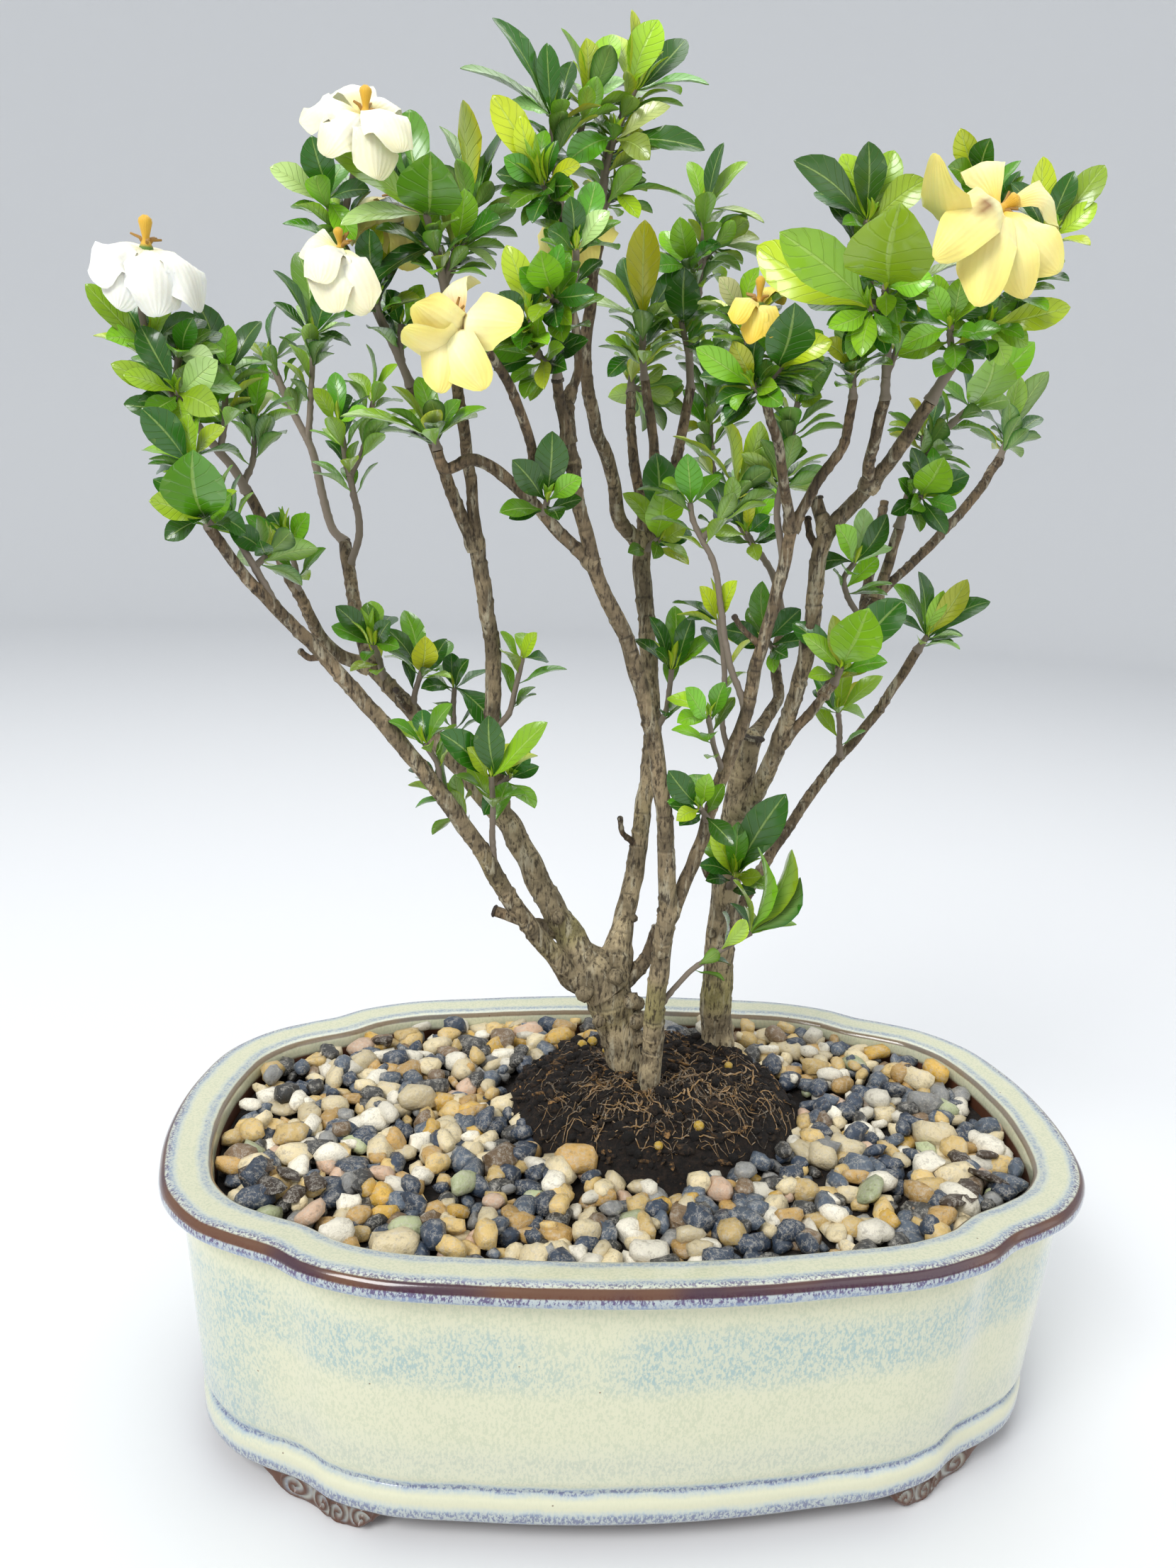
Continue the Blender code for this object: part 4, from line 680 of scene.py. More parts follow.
@dataclass
class Pot:
    """The glazed pot with its four scrolled feet and two drain holes."""

    # distance in from the crest line and height, from the underside over the rim to the inside
    profile: tuple = ((14.0, 8.5), (11.4, 9.0), (10.6, 11.0), (10.5, 14.0), (10.4, 16.6),
                      (10.9, 18.2), (12.0, 19.4), (11.4, 21.4), (10.4, 24.0), (9.95, 29.0),
                      (8.0, 55.0), (6.4, 80.0), (6.3, 84.6), (4.0, 86.4), (1.0, 87.8),
                      (-0.4, 89.4), (-0.5, 90.8), (-0.1, 92.4), (0.8, 93.6), (2.6, 94.2),
                      (6.0, 94.1), (11.0, 93.7), (13.4, 93.4), (14.8, 92.4), (15.4, 90.6),
                      (15.8, 84.0), (16.1, 78.0), (18.7, 28.0), (19.3, 22.0), (20.6, 18.6),
                      (24.0, 16.5))
    ring_step: float = 1.1
    # distances up the profile below and above which the clay is bare
    bare: tuple = (2.0, 112.0)
    drain_radius: float = 8.0
    drain_x: float = 58.0
    drain_sides: int = 32
    # length and middle height of the bore's cutter
    drain_span: float = 30.0
    drain_level: float = 12.0
    # where the feet start and end round the outline; their lower edge follows foot_low
    foot_steps: tuple = (1.85, 5.5)
    foot_outer: float = 12.2
    foot_inner: float = 23.0
    foot_top: float = 10.6
    # sections along a foot, points up its outside and up its inside
    foot_grid: tuple = (110, 26, 5)
    # how far the foot's face lies back, its relief stands out and its toe is drawn in
    foot_back: float = 0.5
    foot_relief: float = 1.1
    foot_toe: float = 0.9
    # the place up the profile whose glaze lies in the scrolls
    foot_shade: float = 16.2
    foot_low: tuple = ((1.85, 8.6), (1.95, 6.6), (2.08, 4.0), (2.25, 1.5), (2.45, 0.0),
                       (4.3, 0.0), (4.6, 1.0), (4.9, 3.2), (5.2, 5.8), (5.5, 8.6))
    # distance along the foot, height and hand of each scroll
    scrolls: tuple = ((9.6, 5.0, 1), (18.8, 4.6, -1), (27.0, 5.2, 1), (35.6, 5.4, -1))
    scroll_pitch: float = 2.7
    scroll_ridge: float = 0.62
    scroll_reach: float = 4.9

    def body(self) -> Mesh:
        """Loft the outline up the profile: a point is the crest point - inset × outward."""
        knots = np.array(self.profile, dtype=float)
        line = np.column_stack((knots, np.zeros(len(knots))))
        path, _, along = smooth_path(line, self.ring_step, np.zeros(len(knots)))
        place, out = PotPlan.curve(PotPlan.steps())
        ring = place[None] - out[None] * path[:, None, :1]
        rows, around = len(path), len(place)
        height = np.broadcast_to(path[:, None, 1:2], (rows, around, 1))
        points = np.concatenate((ring, height), axis=2).reshape(-1, 3)
        low, high = self.bare
        tint = np.repeat(np.where((along < low) | (along > high), 1.0, 0.0), around)
        far = np.column_stack((np.tile(np.arange(around), rows), np.repeat(along, around)))
        mesh = Mesh()
        first, last = end_rings(rows, around)
        mesh.add(points, (wrap(rows, around)[:, ::-1], first, last[:, ::-1]),
                 np.column_stack((tint, tint, tint)), far)
        return mesh

    def scroll(self, along: Array, height: Array) -> tuple[Array, Array]:
        """The relief and the glaze of the foot's spirals.

        A spiral's ridge is where distance from its centre less a share of the
        angle round it is near a whole pitch.

        Args:
            along: Distances along the foot.
            height: Heights on it.

        Returns:
            How far the relief stands out, and where glaze pools between it.
        """
        relief = np.zeros(np.broadcast(along, height).shape)
        pool = relief.copy()
        for middle, level, hand in self.scrolls:
            dx, dz = (along - middle) * hand, height - level
            far = np.hypot(dx, dz)
            phase = far / self.scroll_pitch - np.arctan2(dz, dx) / (2 * math.pi)
            ridge = np.exp(-((phase - np.round(phase)) * self.scroll_pitch
                             / self.scroll_ridge) ** 2)
            inside = np.clip(self.scroll_reach - far, 0, 1)
            relief = np.maximum(relief, ridge * inside)
            pool = np.maximum(pool, inside * (1 - ridge) ** 2)
        return relief, pool

    def feet(self, mesh: Mesh) -> None:
        """Add the feet: sections across the outline at close steps along each corner.

        A section runs down the outside, which stands out with the scrolls and
        draws in at the toe, and up the plain inside.
        """
        count, outside, inside = self.foot_grid
        steps = np.linspace(*self.foot_steps, count)
        low = np.interp(steps, *np.array(self.foot_low).T)[:, None]
        place, out = PotPlan.curve(steps)
        reach = np.concatenate(([0], np.cumsum(np.linalg.norm(np.diff(place, axis=0), axis=1))))
        height = low + (self.foot_top - low) * np.linspace(0, 1, outside)[None, ::-1]
        relief, pool = self.scroll(reach[:, None], height)
        outer = (self.foot_outer + self.foot_back - relief * self.foot_relief
                 + self.foot_toe * np.exp(-((height - low) / 0.8)))
        inset = np.concatenate((outer, np.full((count, inside), self.foot_inner)), axis=1)
        level = np.concatenate((height, low + (self.foot_top - low)
                                * np.linspace(0, 1, inside)), axis=1)
        ring = place[:, None] - out[:, None] * inset[..., None]
        points = np.concatenate((ring, level[..., None]), axis=2).reshape(-1, 3)
        glazed = pool * np.clip(height - low - 1.2, 0, 1)
        bare = np.concatenate((1 - 0.65 * glazed, np.ones((count, inside))), axis=1)
        around = outside + inside
        first, last = end_rings(count, around)
        tint = np.repeat(bare.reshape(-1, 1), 3, axis=1)
        far = np.column_stack((np.repeat(reach, around), np.full(level.size, self.foot_shade)))
        for x, y in ((1, 1), (-1, 1), (1, -1), (-1, -1)):
            hand = slice(None, None, -1 if x * y > 0 else 1)
            mesh.add(points * (x, y, 1), [block[:, hand] for block in (
                wrap(count, around), first[:, ::-1], last)], tint, far)

    def build(self, finish: Glaze) -> None:
        """Make the pot in one piece, joined to its feet and bored for drainage.

        Args:
            finish: The glaze.
        """
        glaze = finish.material()
        feet = Mesh()
        self.feet(feet)
        stand = feet.build("feet", [glaze], 50.0)
        pot = self.body().build("pot_glazed", [glaze], 50.0)
        cutters = [("UNION", stand)]
        for side in (-1, 1):
            bpy.ops.mesh.primitive_cylinder_add(
                vertices=self.drain_sides, radius=self.drain_radius * MM,
                depth=self.drain_span * MM,
                location=((side * self.drain_x + ORIGIN_SHIFT[0]) * MM, 0, self.drain_level * MM))
            cutters.append(("DIFFERENCE", bpy.context.object))
        for operation, cutter in cutters:
            cut = pot.modifiers.new(operation, "BOOLEAN")
            cut.operation, cut.solver, cut.object = operation, "MANIFOLD", cutter
        graph = bpy.context.evaluated_depsgraph_get()
        bored = bpy.data.meshes.new_from_object(pot.evaluated_get(graph))
        pot.modifiers.clear()
        pot.data = bored
        for _, cutter in cutters:
            bpy.data.objects.remove(cutter, do_unlink=True)
        settle(pot, "pot_glaze", "pot")


@dataclass
class Soil:
    """The soil bed and its mound, with crumbs, fine roots, feed beads and litter."""

    bed: tuple = ((24.8, 17.0), (19.6, 22.3), (16.4, 84.0))
    centre: tuple = (12.0, 14.0)
    half: tuple = (50.0, 46.0)
    slope: tuple = ((0.0, 103.6), (0.3, 103.2), (0.66, 100.8), (0.88, 96.2), (1.0, 90.0),
                    (1.06, 84.6), (1.14, 84.0))
    rays: int = 216
    # share of the way out of the first and last ring of the mound, and their number
    rings: tuple = (0.03, 1.14, 34)
    flat: float = 84.0
    root_count: int = 420
    # angles of the mound's front, where two roots in three start
    front: tuple = (3.6, 6.0)
    litter_count: int = 1300
    # x, y and radius of the feed beads
    bead_places: tuple = ((-8, 34, 1.9), (-12, 31, 1.9), (-4, 26, 1.2), (22, -22, 1.8),
                          (8, -28, 1.5), (40, 18, 1.6))
    colour: Colour = (0.022, 0.013, 0.008)
    root: Colour = (0.42, 0.24, 0.085)
    flake: Colour = (0.34, 0.18, 0.06)
    crumb: Colour = (0.045, 0.026, 0.014)
    bead: Colour = (0.52, 0.33, 0.03)

    def place(self, angle: Array | float, share: float) -> tuple:
        """The plan place at an angle round and a share of the way out of the mound."""
        return (self.centre[0] + self.half[0] * share * np.cos(angle),
                self.centre[1] + self.half[1] * share * np.sin(angle))

    def share(self, x: Array, y: Array) -> Array:
        """How far out of the mound a plan place is, one at its foot."""
        return np.hypot((x - self.centre[0]) / self.half[0], (y - self.centre[1]) / self.half[1])

    def top(self, x: Array, y: Array) -> Array:
        """Height of the mound: its slope on the share of the way out, with crumbs."""
        base = np.interp(self.share(x, y), *np.array(self.slope).T)
        spot = np.stack((x, y, np.zeros_like(x)), axis=-1)
        rough = (0.8 * ripple(spot, 17, 3) + 0.9 * ripple(spot, 7, 4)
                 + 0.7 * ripple(spot, 3.4, 5))
        return base + rough * np.clip((base - self.flat) / 6, 0, 1)

    def level(self, x: float, y: float) -> float:
        """Height of the mound at one place."""
        return float(self.top(np.array([float(x)]), np.array([float(y)]))[0])

    def body(self, mesh: Mesh) -> None:
        """A fan of rays from the mound's middle to the pot's wall, then down and under."""
        angle = turns(self.rays)
        rings = []
        for share in np.linspace(*self.rings):
            x, y = self.place(angle, share)
            rings.append(np.column_stack((x, y, self.top(x, y))))
        place, out = PotPlan.curve(PotPlan.steps(6))
        order = np.argsort(np.arctan2(place[:, 1] - self.centre[1],
                                      place[:, 0] - self.centre[0]) % (2 * math.pi))
        place, out = place[order], out[order]
        for inset, height in reversed(self.bed):
            edge = place - out * inset
            rings.append(np.column_stack((edge, np.full(len(edge), height))))
        points = np.concatenate(rings + [np.array([[*self.centre, self.slope[0][1]]])])
        i, base = (ring[0] for ring in end_rings(len(rings), self.rays))
        fan = np.column_stack((np.full(self.rays, len(points) - 1), i, (i + 1) % self.rays))
        mesh.add(points, (wrap(len(rings), self.rays)[:, ::-1], fan, base[None, ::-1]),
                 self.colour)

    def roots(self, mesh: Mesh) -> None:
        """Fine tan roots: seeded walks over the mound at its own height."""
        draw = np.random.default_rng(11)
        for number in range(self.root_count):
            angle, share = draw.uniform(0, 6.28), draw.uniform(0.15, 0.97)
            if number % 3:
                angle = draw.uniform(*self.front)
            x, y = self.place(angle, share)
            count = int(draw.integers(6, 15))
            heading = angle + draw.normal(0, 0.9) + np.cumsum(draw.normal(0, 0.34, count))
            step = draw.uniform(0.8, 1.7)
            xs = x + np.cumsum(np.cos(heading)) * step
            ys = y + np.cumsum(np.sin(heading)) * step
            if self.share(xs, ys).max() > 1.02:
                continue
            zs = self.top(xs, ys) + 0.05 + np.abs(np.sin(np.linspace(
                0, math.pi, count))) * draw.uniform(0.2, 1.5)
            thick = draw.uniform(0.10, 0.26) + 0.3 * draw.random() ** 6
            tone = draw.uniform(0.15, 1.0) ** 1.4
            mesh.tube(np.column_stack((xs, ys, zs)), thick * np.linspace(1, 0.5, count), 5,
                      np.array(self.root) * tone, 1)

    def litter(self, mesh: Mesh) -> None:
        """Crumbs, bark flakes and a few curled leaf bits on the mound."""
        draw = np.random.default_rng(12)
        ball, faces = pebble_shape(1)
        for number in range(self.litter_count):
            x, y = self.place(draw.uniform(0, 6.28), math.sqrt(draw.uniform(0.02, 1.0)))
            flake = number % 3 == 0
            form = np.array((1.9, 0.55, 0.25) if flake else (1.0, 0.9, 0.75))
            size = form * (0.5 + 2.2 * draw.random() ** 2) * draw.uniform(0.7, 1.2, 3)
            lump = tumbled(ball * size, draw)
            tone = draw.uniform(0.1, 1.0) ** 2 * 1.7
            mesh.add(lump + (x, y, self.level(x, y) + 0.1), (faces,),
                     np.array(self.flake if flake else self.crumb) * tone)

    def beads(self, mesh: Mesh) -> None:
        """Round yellow feed beads where the photo shows them."""
        ball, faces = pebble_shape(2)
        for x, y, radius in self.bead_places:
            mesh.add(ball * radius + (x, y, self.level(x, y) + radius * 0.5), (faces,), self.bead,
                     kind=1)

    def build(self, finish: Earth) -> None:
        """Make the soil in one piece."""
        mesh = Mesh()
        self.body(mesh)
        self.litter(mesh)
        self.roots(mesh)
        self.beads(mesh)
        plain = Stone("root_and_bead", 0.6, 900.0)
        soil = mesh.build("soil_mound", [finish.material(), plain.material()], 70.0)
        settle(soil, "soil_earth", "soil")


def pebble_shape(level: int) -> tuple[Array, Array]:
    """A ball of triangles of radius one."""
    shell = bmesh.new()
    bmesh.ops.create_icosphere(shell, subdivisions=level, radius=1.0)
    points = np.array([vert.co[:] for vert in shell.verts])
    faces = np.array([[vert.index for vert in face.verts] for face in shell.faces])
    shell.free()
    return points, faces


def tumbled(points: Array, draw: np.random.Generator, tilt: float = 1.0) -> Array:
    """The points turned about a seeded axis; tilt holds how far from upright."""
    turn = Matrix.Rotation(draw.uniform(0, 6.28), 3, "Z")
    lean = Matrix.Rotation(draw.normal(0, 0.35) * tilt, 3, "X")
    return points @ np.array(turn @ lean).T


@dataclass
class Gravel:
    """Pebbles of true size, in a full layer between the mound and the rim."""

    inset: float = 16.9
    floor: float = 84.2
    spacing: float = 7.0
    # how much the bed rises towards the back, a millimetre
    back_rise: float = 0.022
    # spacing, sizes, lift, seed and step through the spots of the lower and the upper layer
    layers: tuple = ((1.0, (2.9, 4.6), 0.0, 31, 1), (1.05, (2.7, 4.4), 2.6, 32, 2))
    grades: tuple = (0.72, 1.0, 1.16)
    grade_odds: tuple = (0.3, 0.5, 0.2)
    # colour and share of each kind of stone
    palette: tuple = (((0.68, 0.57, 0.35), 20), ((0.62, 0.44, 0.17), 14), ((0.78, 0.73, 0.60), 14),
                      ((0.50, 0.31, 0.10), 7), ((0.60, 0.41, 0.28), 4),
                      ((0.035, 0.052, 0.082), 16), ((0.080, 0.105, 0.14), 11),
                      ((0.040, 0.040, 0.038), 8), ((0.24, 0.24, 0.23), 4),
                      ((0.20, 0.13, 0.07), 4), ((0.42, 0.46, 0.26), 2), ((0.62, 0.38, 0.07), 3))
    # x, y and length of each bark chip
    chip_places: tuple = ((-118, -32, 11), (-112, -41, 12), (-104, -46, 10), (-99, -40, 9),
                          (-108, -34, 8), (103, -48, 12), (112, -40, 11), (108, -30, 10),
                          (96, -54, 10), (118, -28, 9), (-86, 55, 7), (110, 30, 8))
    chip_level: float = 92.2
    chip: Colour = (0.040, 0.024, 0.013)

    def spots(self, soil: Soil, spacing: float, seed: int) -> Array:
        """Jittered hexagonal spots inside the wall and outside the mound.

        Args:
            soil: The mound.
            spacing: Distance between spots.
            seed: Seeds the jitter.

        Returns:
            Plan places.
        """
        draw = np.random.default_rng(seed)
        ys = np.arange(-90, 91, spacing * 0.87)
        xs = np.arange(-150, 151, spacing)
        x, y = np.meshgrid(xs, ys)
        x = x + (np.arange(len(ys)) % 2)[:, None] * spacing / 2
        spots = np.column_stack((x.ravel(), y.ravel()))
        spots = spots + draw.uniform(-0.24, 0.24, spots.shape) * spacing
        place, out = PotPlan.curve(PotPlan.steps(6))
        gap = spots[:, None] - place[None]
        nearest = np.linalg.norm(gap, axis=2).argmin(axis=1)
        index = np.arange(len(spots))
        depth = -(gap[index, nearest] * out[nearest]).sum(axis=1)
        share = soil.share(spots[:, 0], spots[:, 1])
        angle = np.arctan2(spots[:, 1] - soil.centre[1], spots[:, 0] - soil.centre[0])
        edge = 1.03 + 0.06 * np.sin(3 * angle + 1) + 0.04 * np.sin(7 * angle)
        return spots[(depth > self.inset + spacing * 0.36) & (share > edge)]

    def build(self, soil: Soil, finish: Stone) -> None:
        """Make all pebbles as one layer that replaces the frame's relief.

        A pebble is a ball stretched on three seeded axes and pushed in and out
        by a slow ripple.

        Args:
            soil: The mound that it lies round.
            finish: The stone.
        """
        mesh = Mesh()
        draw = np.random.default_rng(21)
        ball, faces = pebble_shape(2)
        colours = np.array([row[0] for row in self.palette])
        weights = np.array([row[1] for row in self.palette], dtype=float)
        for share, span, lift, seed, skip in self.layers:
            spots = self.spots(soil, self.spacing * share, seed)[::skip]
            for number, (x, y) in enumerate(spots):
                size = draw.uniform(*span) * draw.choice(self.grades, p=self.grade_odds)
                axes = size * np.array([draw.uniform(0.95, 1.45), draw.uniform(0.72, 1.0),
                                        draw.uniform(0.48, 0.85)])
                blunt = np.sign(ball) * np.abs(ball) ** draw.uniform(0.62, 1.0)
                rough = 1 + 0.16 * ripple(ball * 2.0 + number, 2.6, number % 97)
                stone = tumbled(blunt * rough[:, None] * axes, draw, 1.5)
                bottom = stone[:, 2].min()
                slate = 0.5 + 0.5 * math.sin(x * 0.05 + 1.3) * math.cos(y * 0.07)
                pull = weights * np.where(colours.sum(axis=1) < 0.5, 0.65 + 0.6 * slate
                                          + 0.35 * (x > 20), 1.0)
                pick = draw.choice(len(colours), p=pull / pull.sum())
                tint = colours[pick] * draw.uniform(0.78, 1.2)
                z = self.floor - bottom + lift + draw.uniform(-0.5, 0.5) + y * self.back_rise
                mesh.add(stone + (x, y, z), (faces,), tint)
        self.chips(mesh)
        gravel = mesh.build("gravel_pebbles", [finish.material()], 80.0)
        settle(gravel, "gravel_stone", "gravel")

    def chips(self, mesh: Mesh) -> None:
        """Dark bark chips lying at the inner front corners."""
        draw = np.random.default_rng(23)
        ball, faces = pebble_shape(2)
        for x, y, length in self.chip_places:
            size = np.array([length / 2, length / 3.4, 1.3]) * draw.uniform(0.8, 1.2, 3)
            rough = 1 + 0.25 * ripple(ball * 2 + x, 1.6, int(y) % 50)
            chip = tumbled(ball * rough[:, None] * size, draw, 0.8)
            tint = np.array(self.chip) * draw.uniform(0.6, 1.4)
            z = self.chip_level + y * self.back_rise + draw.uniform(-0.5, 0.8)
            mesh.add(chip + (x, y, z), (faces,), tint)


# tree: (limb, limb it grows from, elevation route, widths, depths)
LIMBS = {
    "tree_left": (
        ("L", "", (0, 110, -3, 122, -6, 132, -8, 139), (13, 14, 17, 18), (14, 14, 13)),
        ("LO", "L", (-8, 138, -20, 143, -27, 151, -39, 166, -49, 183, -60, 199, -73, 216, -87, 232,
         -100, 247, -110, 257, -122, 269, -133, 284), (8, 6.5, 6, 5.5, 4.5, 3.5), (13, 6, -6, -16,
         -26, -40)),
        ("LI", "L", (-8, 138, -17, 150, -23, 160, -30, 172, -41, 193, -53, 207, -66, 222, -77, 235,
         -86, 244), (12, 10, 9, 7, 6, 5), (13, 14, 16, 20, 23, 25)),
        ("LS", "LI", (-21, 158, -35, 161, -46, 165), (4.5, 3.6), (14, 20)),
        ("FA", "LI", (-86, 244, -95, 247, -101, 253, -106, 263, -114, 279, -122, 295),
         (4.6, 4, 3.4), (25, 22, 8, 0)),
        ("FB", "LI", (-86, 244, -89, 257, -92, 273, -93, 281), (4.6, 4), (25, 38, 45)),
        ("G", "LI", (-44, 199, -46, 210, -48, 222, -48, 248, -50, 260, -54, 281), (5.6, 5.4), (20,
         16, 10, 5, 0)),
        ("GL", "G", (-54, 281, -60, 293, -66, 308, -74, 327), (4.5, 3.6), (0, -6, -14)),
        ("GR", "G", (-54, 281, -57, 308, -61, 330, -64, 352), (4.2, 3.4), (0, -7, -20, -28)),
        ("C1", "L", (-8, 140, -5, 150, -3, 162, -1, 175, 2, 205, 3, 228, 0, 253, -3, 279, -3, 285),
         (9, 7, 6, 6, 5.5), (13, 17, 21, 27, 30)),
        ("CK", "L", (-4, 136, 4, 147, 8, 160), (4.4, 3), (13, 15)),
        ("CA", "C1", (-3, 284, -10, 290, -14, 306, -19, 318, -23, 335, -22, 355, -20, 375),
         (5, 4.5, 4, 3.4), (30, 24, 16, 6, 0, -4)),
        ("CB", "C1", (-3, 284, -4, 296, -8, 313, -9, 328), (4, 3), (30, 40, 48)),
        ("CC", "C1", (-3, 284, 0, 297, -1, 312, -5, 332), (4, 3), (30, 31, 33)),
        ("CD", "C1", (-3, 284, 3, 293, 6, 310, 9, 330), (4, 3.2), (30, 38, 46))),
    "tree_centre": (
        ("C2", "", (8, 100, 9, 118, 9, 135, 11, 162, 10, 185, 6, 212, 1, 232, -7, 255, -16, 272,
         -22, 290, -27, 313), (8, 7.6, 7, 6, 5.6, 5.4, 5, 4.4), (0, -2, -5, -8, -12, -15,
         -18, -20)),
        ("BR", "C2", (-18, 277, -28, 286, -38, 296, -50, 305, -56, 307, -64, 304, -66, 309),
         (4.5, 4, 3.5), (-16, -19, -23, -26)),
        ("BE", "BR", (-38, 297, -38, 311, -45, 328, -52, 338), (3.6, 3), (-20, -34, -50)),
        ("CL", "C2", (-27, 313, -30, 325, -31, 331), (4, 3.4), (-20, -25)),
        ("CS", "C2", (-25, 306, -28, 326), (4.4, 4), (-19, -10)),
        ("CT", "CS", (-28, 325, -25, 334, -26, 345, -30, 360, -31, 376), (3.2, 2.6),
         (-10, -11, -16)),
        ("C3", "C2", (11, 162, 15, 170, 21, 190, 27, 213, 33, 233, 36, 252, 41, 276, 43, 290),
         (5, 4.8, 4.5, 4), (-5, -3, -6, -10, -15)),
        ("CM", "C3", (43, 290, 40, 303, 36, 318, 31, 330), (3.8, 3), (-15, -24, -32)),
        ("CN", "C3", (43, 290, 50, 305, 57, 316, 59, 330), (3.8, 3), (-15, -18, -22))),
    "tree_right": (
        ("R", "", (31, 121, 30, 135, 30, 165, 31, 190, 33, 213, 35, 225), (11, 11, 11, 10, 9, 8),
         (38, 36, 33, 30, 28)),
        ("R1", "R", (34, 222, 38, 228, 43, 237, 41, 250, 43, 262), (5, 4, 3.4), (28, 38, 48, 56)),
        ("R2", "R", (33, 200, 38, 207, 44, 222, 49, 240, 52, 262, 54, 289, 62, 299, 66, 304), (6.6,
         6, 5.5, 5.5, 5), (30, 20, 10, 4, 0, -5)),
        ("RX", "R2", (54, 290, 50, 300), (4.6, 4), (-1, 4)),
        ("RU", "R2", (66, 304, 66, 312, 69, 330), (4.2, 3.6), (-5, -24)),
        ("RW", "R2", (66, 304, 73, 313, 83, 330), (5, 4.4), (-5, -22)),
        ("RB", "R2", (44, 222, 53, 232, 61, 243), (3.8, 3.2), (12, 10, 6)),
        ("U", "RB", (58, 238, 63, 250, 72, 270, 86, 285, 100, 302, 107, 314), (3.4, 3.2, 3),
         (8, 18, 30, 42)),
        ("V", "U", (72, 270, 75, 282, 77, 292), (4, 3.4), (25, 19)),
        ("VX", "U", (66, 262, 69, 276, 72, 300), (3.4, 3), (20, 32, 40)),
        ("T", "R", (31, 150, 38, 172, 48, 192, 62, 215, 76, 234, 87, 254), (4.4, 3.6, 3.2), (35,
         45, 58, 60, 55))),
}

